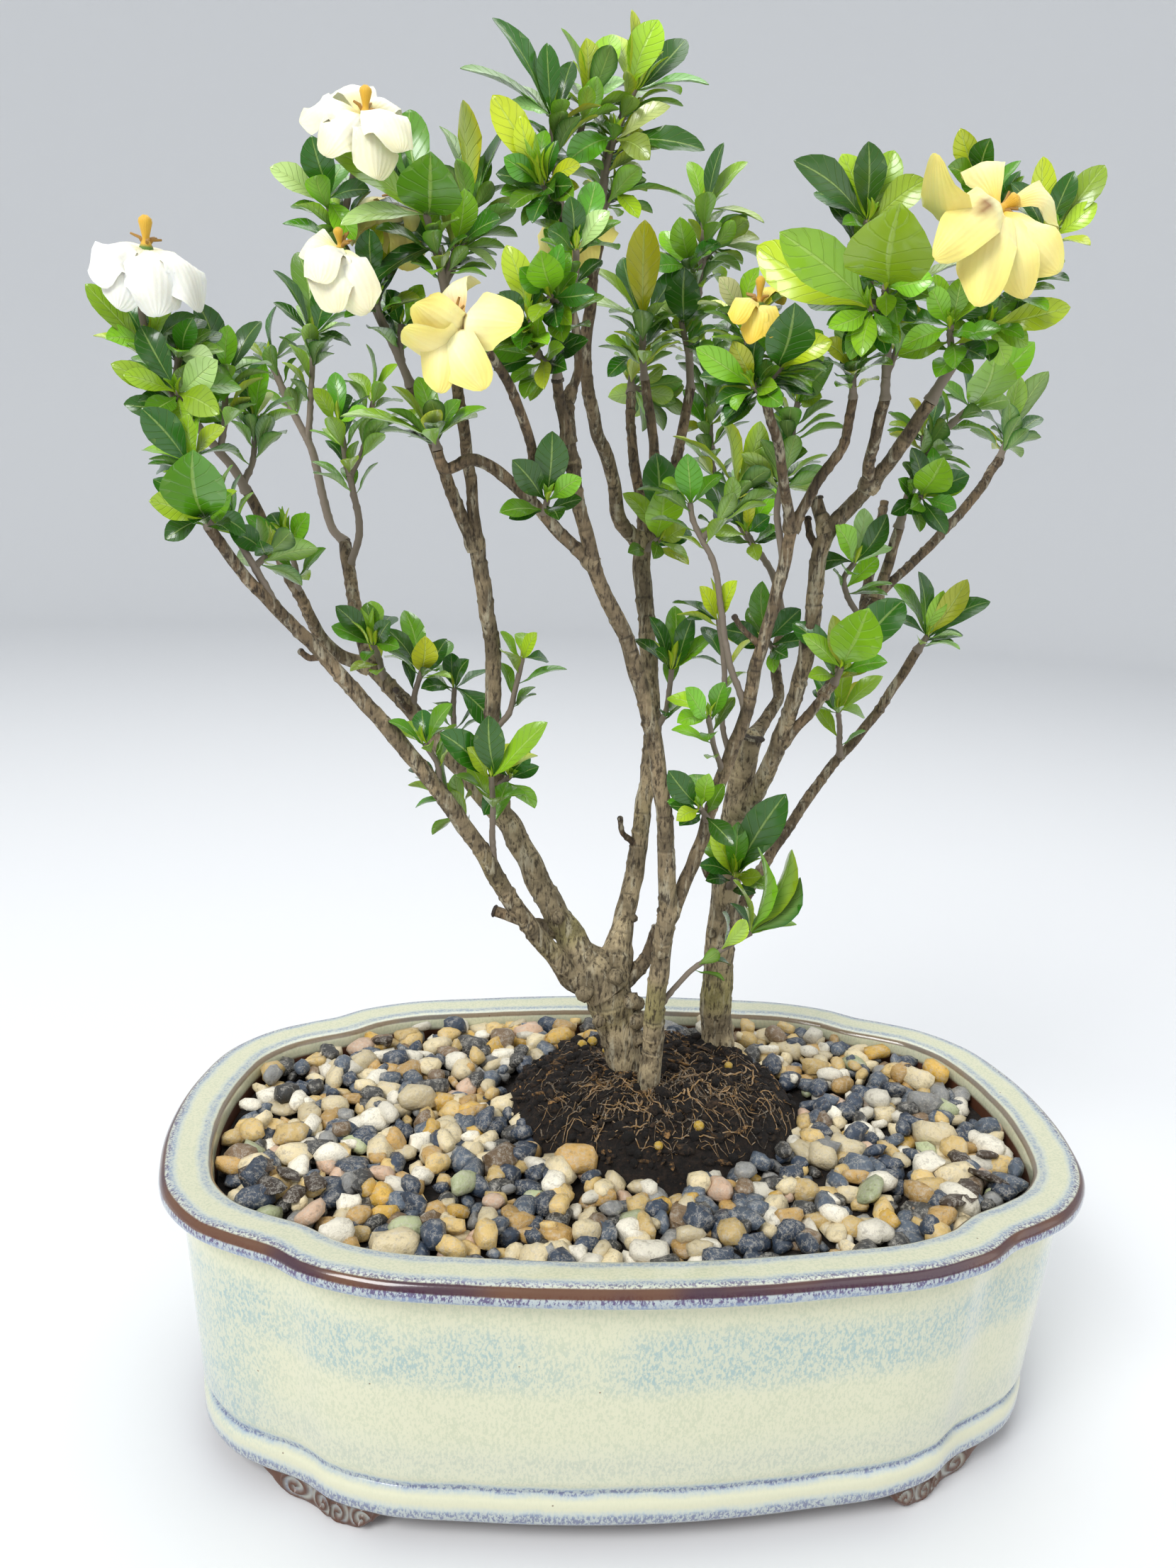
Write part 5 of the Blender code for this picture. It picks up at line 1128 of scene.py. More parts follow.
# node: shoots of (limb or earlier shoot's number, elevation route, width, end depth, leaves);
# a leaf is its tip (x, z), its width, and 1 where it points away from the viewer
SHOOTS = {
    "leaves_01": (("LO", (-45, 179, -47, 190, -47, 198, -48, 210), 2.4, -14, ((-62, 222, 10),
     (-55, 219, 6), (-49, 229, 9), (-31, 228, 6), (-42, 221, 5, 1))),),
    "leaves_02": (("G", (-46, 207, -42, 210), 2.2, 6, ((-45, 221, 5, 1), (-36, 218, 6))),),
    "leaves_03": (("LO", (-53, 190, -57, 198, -61, 203), 2.2, 4, ((-64, 215, 5), (-74, 207, 5),
     (-72, 200, 5, 1))),),
    "leaves_04": (("LO", (-64, 205, -65, 214, -69, 220), 2.2, -12, ((-81, 228, 5), (-61, 233, 7),
     (-70, 231, 6, 1), (-80, 217, 5))),),
    "leaves_05": (("LI", (-59, 214, -60, 225, -60, 238), 2.2, 22, ((-49, 229, 10), (-56, 247, 6),
     (-61, 249, 6, 1), (-70, 238, 6))),),
    "leaves_06": (("LI", (-73, 230, -72, 237, -70, 243), 2.2, 18, ((-63, 253, 6), (-80, 256, 6),
     (-69, 253, 8), (-75, 262, 5, 1))),),
    "leaves_07": (("LI", (-81, 240, -83, 246, -85, 251), 2.4, 12, ((-96, 262, 7), (-87, 263, 6, 1),
     (-80, 258, 6), (-77, 250, 5))),),
    "leaves_08": (("G", (-46, 225, -43, 230, -41, 238, -39, 248), 2.2, 8, ((-46, 256, 5),
     (-35, 256, 5), (-31, 248, 5, 1))),),
    "leaves_09": (("LO", (-133, 284, -134, 287), 3.0, -42, ((-137, 306, 15), (-150, 291, 8),
     (-146, 280, 6), (-127, 294, 7), (-122, 283, 6, 1))),),
    "leaves_10": (("LO", (-114, 261, -119, 271, -125, 281, -131, 293, -138, 303), 2.6, -40,
     ((-151, 317, 9), (-138, 316, 6), (-148, 301, 7, 1), (-128, 313, 6))), (0,
     (-120, 273, -117, 276), 2.0, -28, ((-125, 282, 7), (-118, 280, 5), (-109, 284, 6)))),
    "leaves_11": (("FA", (-107, 266, -108, 273, -110, 280), 2.2, -6, ((-122, 288, 5),
     (-115, 289, 6, 1), (-104, 289, 6))),),
    "leaves_12": (("FA", (-122, 295, -126, 302, -134, 311, -143, 323, -148, 335), 3.0, -20,
     ((-165, 350, 6), (-157, 349, 7, 1), (-142, 347, 6), (-135, 343, 6), (-160, 336, 7))), (0,
     (-148, 334, -150, 343, -149, 352), 2.2, -24, ()), (0, (-143, 323, -141, 327, -140, 333), 2.0,
     -24, ((-136, 342, 6), (-131, 332, 6))), (0, (-138, 317, -141, 322), 2.0, -28, ((-159, 329, 6),
     (-130, 331, 8), (-130, 317, 8), (-148, 335, 8, 1))), (0, (-129, 306, -128, 313, -127, 328),
     2.2, -8, ((-134, 347, 8), (-126, 341, 6), (-117, 343, 6, 1), (-140, 333, 6))), (0, (-123, 297,
     -120, 303, -119, 316), 2.2, 2, ((-116, 331, 6), (-123, 330, 7, 1), (-128, 320, 5),
     (-108, 322, 5)))),
    "leaves_13": (("FB", (-93, 281, -97, 285, -103, 308, -110, 322, -114, 332), 2.8, 58,
     ((-113, 347, 7), (-124, 337, 6), (-105, 340, 6, 1), (-120, 326, 6))), (0, (-104, 310,
     -103, 320, -102, 340), 2.2, 52, ((-112, 357, 6), (-106, 362, 5, 1), (-96, 354, 9),
     (-90, 347, 6), (-113, 348, 6), (-91, 338, 6, 1)))),
    "leaves_14": (("FB", (-92, 274, -89, 284, -93, 306, -95, 316), 2.6, 36, ((-102, 325, 6),
     (-96, 330, 6, 1), (-87, 320, 6))), (0, (-92, 300, -88, 308, -85, 322), 2.0, 46,
     ((-78, 333, 6), (-86, 338, 6), (-92, 330, 6, 1)))),
    "leaves_15": (("GL", (-74, 327, -79, 338, -84, 347, -93, 364, -98, 376), 2.8, -32,
     ((-102, 392, 8), (-113, 384, 7), (-93, 386, 6, 1), (-85, 380, 6), (-90, 366, 6))), (0,
     (-82, 342, -86, 354), 2.0, -30, ((-86, 369, 7), (-95, 366, 6), (-77, 366, 6, 1))), (0,
     (-76, 334, -77, 344), 2.0, -18, ((-81, 353, 6), (-71, 355, 6), (-68, 345, 5, 1))), (0,
     (-94, 367, -90, 385, -88, 393), 2.2, -40, ()), (0, (-84, 348, -81, 360, -79, 370), 2.2, -18,
     ()), (0, (-88, 355, -92, 360), 2.2, -42, ())),
    "leaves_16": (("GR", (-64, 352, -67, 364, -70, 374), 2.8, -38, ((-69, 389, 15),
     (-75, 401, 7, 1), (-97, 391, 6), (-94, 371, 6), (-62, 382, 7, 1), (-84, 395, 7, 1))), (0,
     (-65, 356, -61, 366), 2.0, -28, ((-59, 381, 8), (-49, 374, 8), (-50, 361, 5), (-86, 356, 5))),
     (0, (-65, 355, -60, 364, -57, 376), 2.0, -20, ((-60, 404, 6), (-53, 391, 5), (-46, 384, 5),
     (-65, 398, 6, 1), (-46, 400, 8)))),
    "leaves_17": (("CT", (-31, 376, -34, 390, -35, 402), 2.4, -18, ((-51, 426, 9), (-37, 420, 6),
     (-46, 404, 6), (-61, 412, 6), (-30, 416, 5, 1))), (0, (-31, 382, -28, 394, -25, 406), 2.2,
     -10, ((-26, 422, 8), (-33, 424, 5), (-18, 424, 7, 1), (-15, 412, 6))), (0,
     (-31, 378, -37, 384), 2.0, -28, ((-52, 406, 7), (-44, 401, 6), (-48, 390, 6), (-29, 384, 6),
     (-37, 398, 5, 1)))),
    "leaves_18": (("CA", (-20, 375, -19, 392, -15, 403, -12, 410), 2.8, -8, ((-6, 428, 9),
     (-13, 430, 6), (9, 414, 6), (-20, 426, 7, 1), (2, 424, 6, 1))), (0, (-19, 388, -17, 397), 2.0,
     -10, ((9, 397, 6), (-7, 393, 7), (-30, 391, 8), (-29, 402, 7, 1), (-2, 407, 6))), (0,
     (-20, 377, -17, 383), 2.0, -2, ((3, 384, 7), (-9, 377, 6), (-10, 391, 6, 1)))),
    "leaves_19": (("CB", (-9, 328, -9, 332, -8, 338), 2.6, 52, ((-17, 343, 7), (6, 346, 7),
     (-4, 353, 7, 1), (-16, 333, 6))), (0, (-9, 330, -4, 329), 2.0, 54, ((8, 323, 5),
     (5, 333, 6, 1)))),
    "leaves_20": (("CC", (-5, 332, -6, 340, -6, 349), 2.6, 30, ((-7, 376, 6), (-22, 363, 6),
     (-30, 353, 5), (-13, 366, 7, 1), (5, 364, 6, 1))),),
    "leaves_21": (("CD", (9, 330, 8, 340, 10, 362, 10, 380), 2.6, 48, ((14, 398, 7), (21, 394, 8),
     (5, 393, 5, 1), (-6, 385, 6), (28, 378, 6))), (0, (9, 356, 6, 365), 2.0, 42, ((3, 377, 8),
     (-5, 364, 7), (15, 372, 6, 1), (-3, 356, 6))), (0, (8, 338, 5, 349), 2.0, 38, ((5, 363, 11),
     (-8, 357, 6), (17, 355, 6))), (0, (10, 366, 15, 371), 2.0, 52, ((33, 366, 6),
     (27, 374, 6, 1)))),
    "leaves_22": (("C1", (-2, 282, 2, 286), 2.4, 22, ((3, 302, 12), (-10, 299, 6), (10, 290, 6),
     (0, 310, 12, 1))),),
    "leaves_23": (("CL", (-31, 331, -31, 347, -27, 360, -27, 367), 2.8, -36, ((-29, 381, 6),
     (-18, 378, 6), (-35, 372, 6), (-22, 386, 5, 1))), (0, (-30, 350, -34, 354), 2.0, -40,
     ((-37, 366, 9), (-43, 361, 6), (-29, 366, 5))), (0, (-31, 334, -38, 338), 2.0, -36,
     ((-52, 339, 6), (-46, 347, 6), (-37, 349, 6))), (2, (-37, 337, -40, 347), 2.0, -42,
     ((-47, 367, 7), (-48, 354, 6), (-38, 362, 5, 1)))),
    "leaves_25": (("BR", (-66, 309, -67, 313), 2.8, -26, ((-79, 327, 5), (-60, 324, 6),
     (-52, 322, 6), (-94, 319, 6), (-72, 330, 6, 1))),),
    "leaves_26": (("BR", (-34, 292, -33, 296), 2.2, -26, ((-32, 316, 9), (-43, 307, 8),
     (-23, 303, 6))),),
    "leaves_27": (("C1", (3, 224, 7, 232, 8, 246), 2.2, 14, ((1, 262, 5), (14, 263, 6),
     (21, 257, 6), (3, 252, 5), (8, 266, 5, 1))),),
    "leaves_28": (("C3", (26, 213, 23, 222, 21, 231), 2.2, -14, ((13, 240, 7), (25, 242, 6),
     (11, 229, 6))),),
    "leaves_29": (("C3", (22, 197, 20, 201), 2.2, -14, ((9, 213, 8), (22, 212, 6),
     (13, 197, 5))),),
    "leaves_30": (("C3", (29, 219, 26, 226, 25, 247, 22, 262), 2.2, 0, ((16, 272, 6), (26, 274, 7),
     (12, 262, 5, 1))),),
    "leaves_31": (("R1", (41, 252, 38, 256), 2.2, 40, ((24, 259, 8), (48, 266, 8), (35, 274, 6),
     (31, 266, 5, 1))),),
    "leaves_32": (("R1", (43, 262, 38, 277, 29, 288, 18, 305, 15, 320), 2.4, 58, ((7, 330, 7),
     (19, 338, 7), (27, 325, 7), (6, 318, 6, 1))), (0, (33, 283, 29, 289), 2.0, 48, ((28, 302, 6),
     (15, 304, 9), (38, 304, 6), (36, 294, 6))), (0, (16, 313, 13, 340), 2.0, 62, ((7, 352, 6),
     (20, 352, 6, 1)))),
    "leaves_33": (("CM", (31, 330, 28, 332), 2.6, -36, ((10, 342, 6), (21, 344, 6), (28, 346, 6),
     (36, 341, 5, 1))), (0, (30, 330, 26, 342, 24, 351), 2.0, -34, ((16, 362, 6), (27, 366, 6),
     (33, 359, 6), (12, 352, 6, 1))), (0, (30, 330, 36, 338), 2.0, -40, ((39, 355, 12),
     (29, 353, 8), (51, 346, 7))), (1, (26, 342, 29, 350), 2.0, -42, ())),
    "leaves_34": (("CN", (59, 330, 58, 340), 2.6, -26, ((49, 346, 6), (54, 355, 6), (66, 350, 6),
     (60, 354, 5, 1))),),
    "leaves_35": (("C3", (41, 280, 38, 296, 40, 310, 42, 328), 2.4, -6, ((42, 346, 6),
     (34, 340, 6), (52, 340, 11), (49, 330, 6))), (0, (39, 300, 39, 308), 2.0, -2, ((37, 326, 8),
     (46, 314, 6), (30, 315, 6, 1)))),
    "leaves_36": (("C3", (33, 233, 26, 250, 19, 280, 12, 292, 11, 297), 2.4, -4, ((9, 311, 8),
     (2, 303, 6), (20, 306, 6, 1))), (0, (16, 287, 22, 294, 25, 302), 2.0, 2, ((20, 324, 6),
     (31, 322, 6), (7, 317, 6), (34, 311, 6, 1)))),
    "leaves_37": (("R", (31, 172, 33, 178), 2.2, 20, ((48, 206, 12), (24, 192, 6), (33, 196, 7),
     (23, 181, 6), (42, 178, 6))),),
    "leaves_38": (("C2", (10, 130, 20, 144, 32, 153, 40, 158), 2.2, 6, ((53, 187, 8), (43, 188, 7),
     (34, 177, 6), (57, 177, 6), (33, 169, 6, 1), (55, 162, 6))),),
    "leaves_39": (("RU", (69, 330, 67, 352, 62, 360, 57, 374, 59, 380), 3.0, -46, ((50, 397, 8),
     (57, 401, 8), (65, 400, 8), (75, 392, 8), (36, 395, 7), (42, 387, 6, 1))), (0,
     (66, 354, 62, 356), 2.2, -46, ((33, 375, 12), (26, 371, 7, 1))), (0, (66, 354, 66, 362), 2.2,
     -50, ((68, 383, 20), (80, 365, 7))), (0, (69, 336, 72, 349, 71, 360), 2.2, -24, ((91, 372, 6),
     (82, 361, 6), (96, 363, 7), (76, 376, 7, 1), (63, 372, 6, 1)))),
    "leaves_43": (("RW", (83, 330, 93, 348, 104, 361, 112, 373, 115, 379), 3.8, -42,
     ((110, 400, 6), (120, 397, 6), (130, 401, 6), (128, 389, 6), (102, 393, 6))), (0, (110, 369,
     103, 378, 98, 380), 2.4, -60, ()), (0, (111, 371, 94, 385, 90, 392), 2.0, -42, ((84, 406, 6),
     (93, 404, 7), (82, 396, 6))), (0, (88, 341, 87, 352), 2.2, -44, ((80, 363, 6), (89, 366, 6),
     (73, 346, 6), (97, 360, 6, 1))), (0, (94, 350, 98, 353), 2.2, -34, ((124, 360, 8),
     (112, 348, 6), (106, 342, 6, 1)))),
    "leaves_44": (("RB", (61, 243, 63, 248), 2.6, -2, ((70, 267, 15), (81, 270, 12, 1),
     (59, 264, 6), (50, 258, 6), (46, 262, 6, 1))),),
    "leaves_45": (("U", (107, 314, 109, 321), 2.6, 46, ((103, 335, 6), (111, 339, 6),
     (119, 341, 6), (119, 328, 6, 1))),),
    "leaves_46": (("V", (77, 292, 82, 312, 88, 321, 96, 329), 3.0, 10, ((102, 345, 14),
     (114, 349, 8), (90, 346, 7), (86, 336, 6, 1), (108, 332, 6, 1))), (0, (83, 314, 82, 320), 2.0,
     18, ((77, 331, 7), (86, 334, 6, 1), (71, 323, 6))), (0, (79, 300, 84, 302), 2.2, 8,
     ((89, 313, 11), (98, 309, 7), (95, 299, 6)))),
    "leaves_47": (("U", (68, 263, 63, 270, 61, 276, 64, 281), 2.2, 8, ((58, 292, 8), (73, 296, 7),
     (66, 298, 6, 1), (53, 280, 6))),),
    "leaves_49": (("T", (87, 254, 90, 259), 2.8, 52, ((78, 275, 6), (85, 279, 6), (94, 273, 6),
     (101, 277, 6), (109, 271, 6), (78, 265, 5, 1))),),
    "leaves_50": (("T", (65, 219, 64, 228, 63, 234), 2.2, 54, ((54, 246, 7), (76, 246, 6),
     (65, 250, 6), (72, 233, 6, 1))),),
}

# node: (leaf node and shoot that carries it, stalk route, end depth, petal tips,
#        pistil tip, pistil width)
BLOOMS = {
    "bloom_1": (("leaves_12", 1), (-149, 352, -148, 360), -26, ((-163, 353, 9), (-157, 346, 9),
     (-145, 345, 9), (-133, 347, 9), (-158, 352, 9, 1), (-140, 351, 9, 1)), (-148, 369), 3.6),
    "bloom_2": (("leaves_15", 3), (-88, 393, -87, 398), -42, ((-105, 398, 8), (-98, 390, 8),
     (-83, 385, 8), (-77, 393, 8), (-95, 404, 8, 1), (-80, 401, 7, 1)), (-87, 406), 3.2),
    "bloom_3": (("leaves_15", 4), (-79, 370, -79, 376), -16, ((-92, 368, 9), (-70, 367, 9),
     (-86, 362, 9), (-74, 361, 9), (-69, 378, 8, 1)), (-79, 386), 3.2),
    "bloom_4": (("leaves_15", 5), (-92, 360, -94, 363), -44, ((-101, 357, 8), (-97, 349, 9),
     (-88, 349, 9), (-104, 364, 7, 1)), (-95, 369), 2.6),
    "bloom_5": ("BE", (-52, 338, -55, 343, -59, 345), -58, ((-46, 347, 11), (-56, 330, 11),
     (-67, 329, 10), (-74, 339, 10), (-71, 347, 9), (-60, 357, 9, 1)), (-69, 352), 3.4),
    "bloom_6": ("CA", (-22, 360, -25, 368, -27, 374), 8, ((-37, 368, 9), (-24, 364, 9),
     (-18, 372, 9), (-32, 361, 9), (-22, 384, 8, 1)), (-34, 380), 3.0),
    "bloom_7": (("leaves_33", 3), (29, 350, 28, 355), -44, ((21, 352, 6), (32, 348, 6),
     (26, 346, 6), (34, 358, 6, 1)), (28, 363), 2.6),
    "bloom_8": (("leaves_43", 1), (98, 380, 98, 385), -66, ((76, 392, 13), (84, 376, 12),
     (95, 363, 12), (109, 364, 11), (119, 371, 11), (118, 382, 10, 1), (90, 398, 10, 1)),
     (104, 389), 3.8),
}

# limb, elevation place and radius of a healed knot
KNOTS = (("L", 3, 127, 3.6), ("L", -1, 133, 3.2), ("L", -13, 137, 3.4), ("L", 4, 120, 3.0),
         ("L", -6, 141, 2.8), ("L", 7, 134, 2.6), ("L", -8, 127, 2.4), ("LI", -25, 163, 2.4),
         ("C2", 10, 150, 1.6), ("C1", 0, 163, 1.6), ("R", 27, 158, 2.2), ("R2", 47, 230, 1.5),
         ("LO", -39, 168, 1.7))

# limb, elevation route, width and end depth of a short dead twig
STUBS = (("C1", (-1, 188, -5, 192, -6, 197), 2.2, 14),
         ("LI", (-72, 229, -76, 233, -78, 237), 2.4, 12),
         ("C3", (36, 254, 30, 259, 27, 263), 2.2, -12),
         ("R2", (53, 283, 49, 289, 48, 294), 2.8, 8), ("R", (29, 175, 24, 178, 22, 182), 2.4, 30),
         ("LO", (-100, 247, -104, 246, -107, 248), 2.0, -20))

# elevation places of shoots that end in a spray of narrow young leaves, x, z in turn
SPRAYS = (-62, 395, -50, 396, -37, 392, -22, 414, -12, 416, -5, 366, 20, 312, -77, 250, 8, 250,
          38, 180, 112, 388, 60, 392, -118, 278, -72, 305, 20, 262, 78, 262, 38, 362)

# elevation places of leaves by colour, x, z in turn; pale is partly the paler underside seen from
# below and partly a painted sheen of gloss
TONE_MARKS = {
    "dark": (-49, 229, -64, 214, -79, 255, -95, 261, -37, 216, -124, 281, -149, 316, -154, 348,
     -146, 334, -134, 346, -121, 329, -113, 344, -97, 352, -102, 390, -82, 394, -50, 375, -47, 399,
     -60, 389, -85, 366, -32, 315, -50, 424, -26, 417, -7, 425, -22, 402, -29, 380, 14, 396,
     3, 366, -14, 364, 1, 309, 13, 352, 38, 354, 2, 262, 14, 263, 9, 211, 25, 258, 47, 264,
     24, 181, 47, 204, 56, 177, 33, 168, 56, 245, 80, 268, 91, 346, 72, 294, 34, 294, 57, 400,
     37, 394, 95, 362, 92, 402, 103, 394, 16, 303),
    "light": (-123, 312, -138, 313, -163, 349, -158, 329, -126, 339, -111, 335, -96, 391, -60, 380,
     -93, 319, -36, 308, -28, 378, -32, 422, -20, 422, 20, 393, -15, 342, 2, 300, 11, 341, 26, 361,
     54, 353, 65, 349, 42, 344, 20, 256, 40, 175, 34, 374, 93, 271, 72, 266, 52, 258, 67, 381,
     103, 343, 112, 348, 59, 291, 48, 274, 37, 305, 63, 398, 73, 391, 80, 361, 74, 346, -77, 326,
     -116, 329, -53, 322, 88, 310, -31, 228, 75, 245),
    "yellow": (-44, 219, -80, 217, -9, 420, 17, 268, 25, 270, 50, 345, 33, 174, 98, 275, 28, 301,
     124, 360, -105, 372, 20, 323, 30, 321, 7, 317, 31, 312, 127, 391, -56, 403, -50, 405,
     -46, 402, -25, 426, -17, 428, -3, 428, -7, 375),
    "olive": (-9, 393, 5, 345, 36, 338, 60, 262, 89, 372, 27, 377),
    "pale": (-111, 384, -50, 362, -131, 330, -45, 404, -20, 377, -12, 415, -17, 407, -2, 408,
     -93, 371, -4, 384, 32, 366, -29, 353, 18, 362, 28, 341, 17, 200, 47, 260, 70, 296),
}

# colours at the petal's foot, middle and tip
WHITE, CREAM, LEMON = (0.90, 0.89, 0.80), (0.90, 0.84, 0.55), (0.90, 0.76, 0.20)
GOLD, ORANGE, BROWN = (0.85, 0.58, 0.05), (0.74, 0.36, 0.02), (0.25, 0.10, 0.02)
STRAW = (0.90, 0.81, 0.40)
BLOOM_SHADES = {
    "bloom_1": (CREAM, WHITE, WHITE), "bloom_2": (LEMON, WHITE, CREAM),
    "bloom_3": (GOLD, CREAM, LEMON), "bloom_4": (LEMON, WHITE, CREAM),
    "bloom_5": (ORANGE, CREAM, LEMON), "bloom_6": (GOLD, LEMON, LEMON),
    "bloom_7": (GOLD, LEMON, GOLD), "bloom_8": (GOLD, STRAW, LEMON),
}
# share of the usual petal width
PETAL_WIDTHS = {"bloom_1": 1.12, "bloom_2": 1.12, "bloom_3": 1.1, "bloom_5": 0.9,
                "bloom_8": 0.78}
# elevation place and size of a brown spot on a petal
BRUISES = {"bloom_8": ((94, 386, 2.4),)}


def route(numbers: Sequence[float]) -> Array:
    """Rows of x, z from a flat list."""
    return np.array(numbers, dtype=float).reshape(-1, 2)


def spread(values: Sequence[float], count: int) -> Array:
    """Values shared out evenly over count places."""
    return np.interp(np.linspace(0, 1, count), np.linspace(0, 1, len(values)), values)


class Limb:
    """A limb's centre line on the elevation, with its depth and real radius."""

    def __init__(self, flat: Array, depth: Array, radius: Array) -> None:
        """Keep the route and move its points to their depths."""
        self.flat = np.asarray(flat, dtype=float)
        self.depth = np.asarray(depth, dtype=float)
        self.radius = np.asarray(radius, dtype=float)
        self.points = np.array([sighted(x, z, y) for (x, z), y in zip(self.flat, self.depth)])

    @property
    def axis(self) -> Array:
        """The direction at its end."""
        return unit(self.points[-1] - self.points[-2])

    def nearest(self, x: float, z: float) -> tuple[Array, float]:
        """Find the limb's place nearest an elevation point.

        Args:
            x: Place to the right on the elevation.
            z: Height on the elevation.

        Returns:
            The place and the limb's radius there.
        """
        a, b = self.flat[:-1], self.flat[1:]
        span = b - a
        t = np.clip((((x, z) - a) * span).sum(axis=1) / (span * span).sum(axis=1), 0, 1)
        far = np.linalg.norm(a + span * t[:, None] - (x, z), axis=1)
        i = int(np.argmin(far))
        share = t[i]
        place = self.points[i] * (1 - share) + self.points[i + 1] * share
        return place, float(self.radius[i] * (1 - share) + self.radius[i + 1] * share)

    @classmethod
    def grown(cls, numbers: Sequence[float], widths: Sequence[float],
              depths: Sequence[float], host: "Limb | None") -> "Limb":
        """A limb along its route; one that grows from a host begins on its centre line.

        Args:
            numbers: Its route on the elevation, x, z in turn.
            widths: Its widths there, spread along it.
            depths: Its depths, spread along it.
            host: The limb that it grows from.

        Returns:
            The limb.
        """
        flat = route(numbers)
        depth = spread(depths, len(flat))
        if host:
            start, _ = host.nearest(*flat[0])
            depth[0] = start[1]
        limb = cls(flat, depth, spread(widths, len(flat)) / 2 * stretch(depth))
        if host:
            limb.points[0] = start
        return limb

    @classmethod
    def shoot(cls, numbers: Sequence[float], width: float, end_depth: float,
              host: "Limb") -> "Limb":
        """A shoot's centre line, from its host's centre line to its end depth.

        Args:
            numbers: Its route on the elevation, x, z in turn.
            width: Its width there.
            end_depth: Its end's depth.
            host: The limb that it grows from.

        Returns:
            The shoot.
        """
        flat = route(numbers)
        place, _ = host.nearest(*flat[0])
        limb = cls(flat, np.linspace(place[1], end_depth, len(flat)), np.ones(len(flat)))
        limb.radius = np.maximum(width / 2 * stretch(limb.depth)
                                 * np.linspace(1, 0.78, len(flat)), 0.97)
        limb.points[0] = place
        return limb


class Clearance:
    """Every blade and limb placed so far, for fitting more leaves between them."""

    def __init__(self) -> None:
        """Start with nothing placed."""
        self.items: list[tuple[Array, Array, BVHTree]] = []

    def add(self, points: Array, faces: Array) -> None:
        """Remember a piece."""
        tree = BVHTree.FromPolygons(points.tolist(), faces.tolist())
        self.items.append((points.min(axis=0), points.max(axis=0), tree))

    def touches(self, points: Array, faces: Array) -> bool:
        """Whether a piece crosses anything remembered.

        Args:
            points: Its vertices.
            faces: Its faces.

        Returns:
            True where it does.
        """
        low, high = points.min(axis=0), points.max(axis=0)
        near = [tree for a, b, tree in self.items if (a < high).all() and (low < b).all()]
        if not near:
            return False
        own = BVHTree.FromPolygons(points.tolist(), faces.tolist())
        return any(own.overlap(tree) for tree in near)


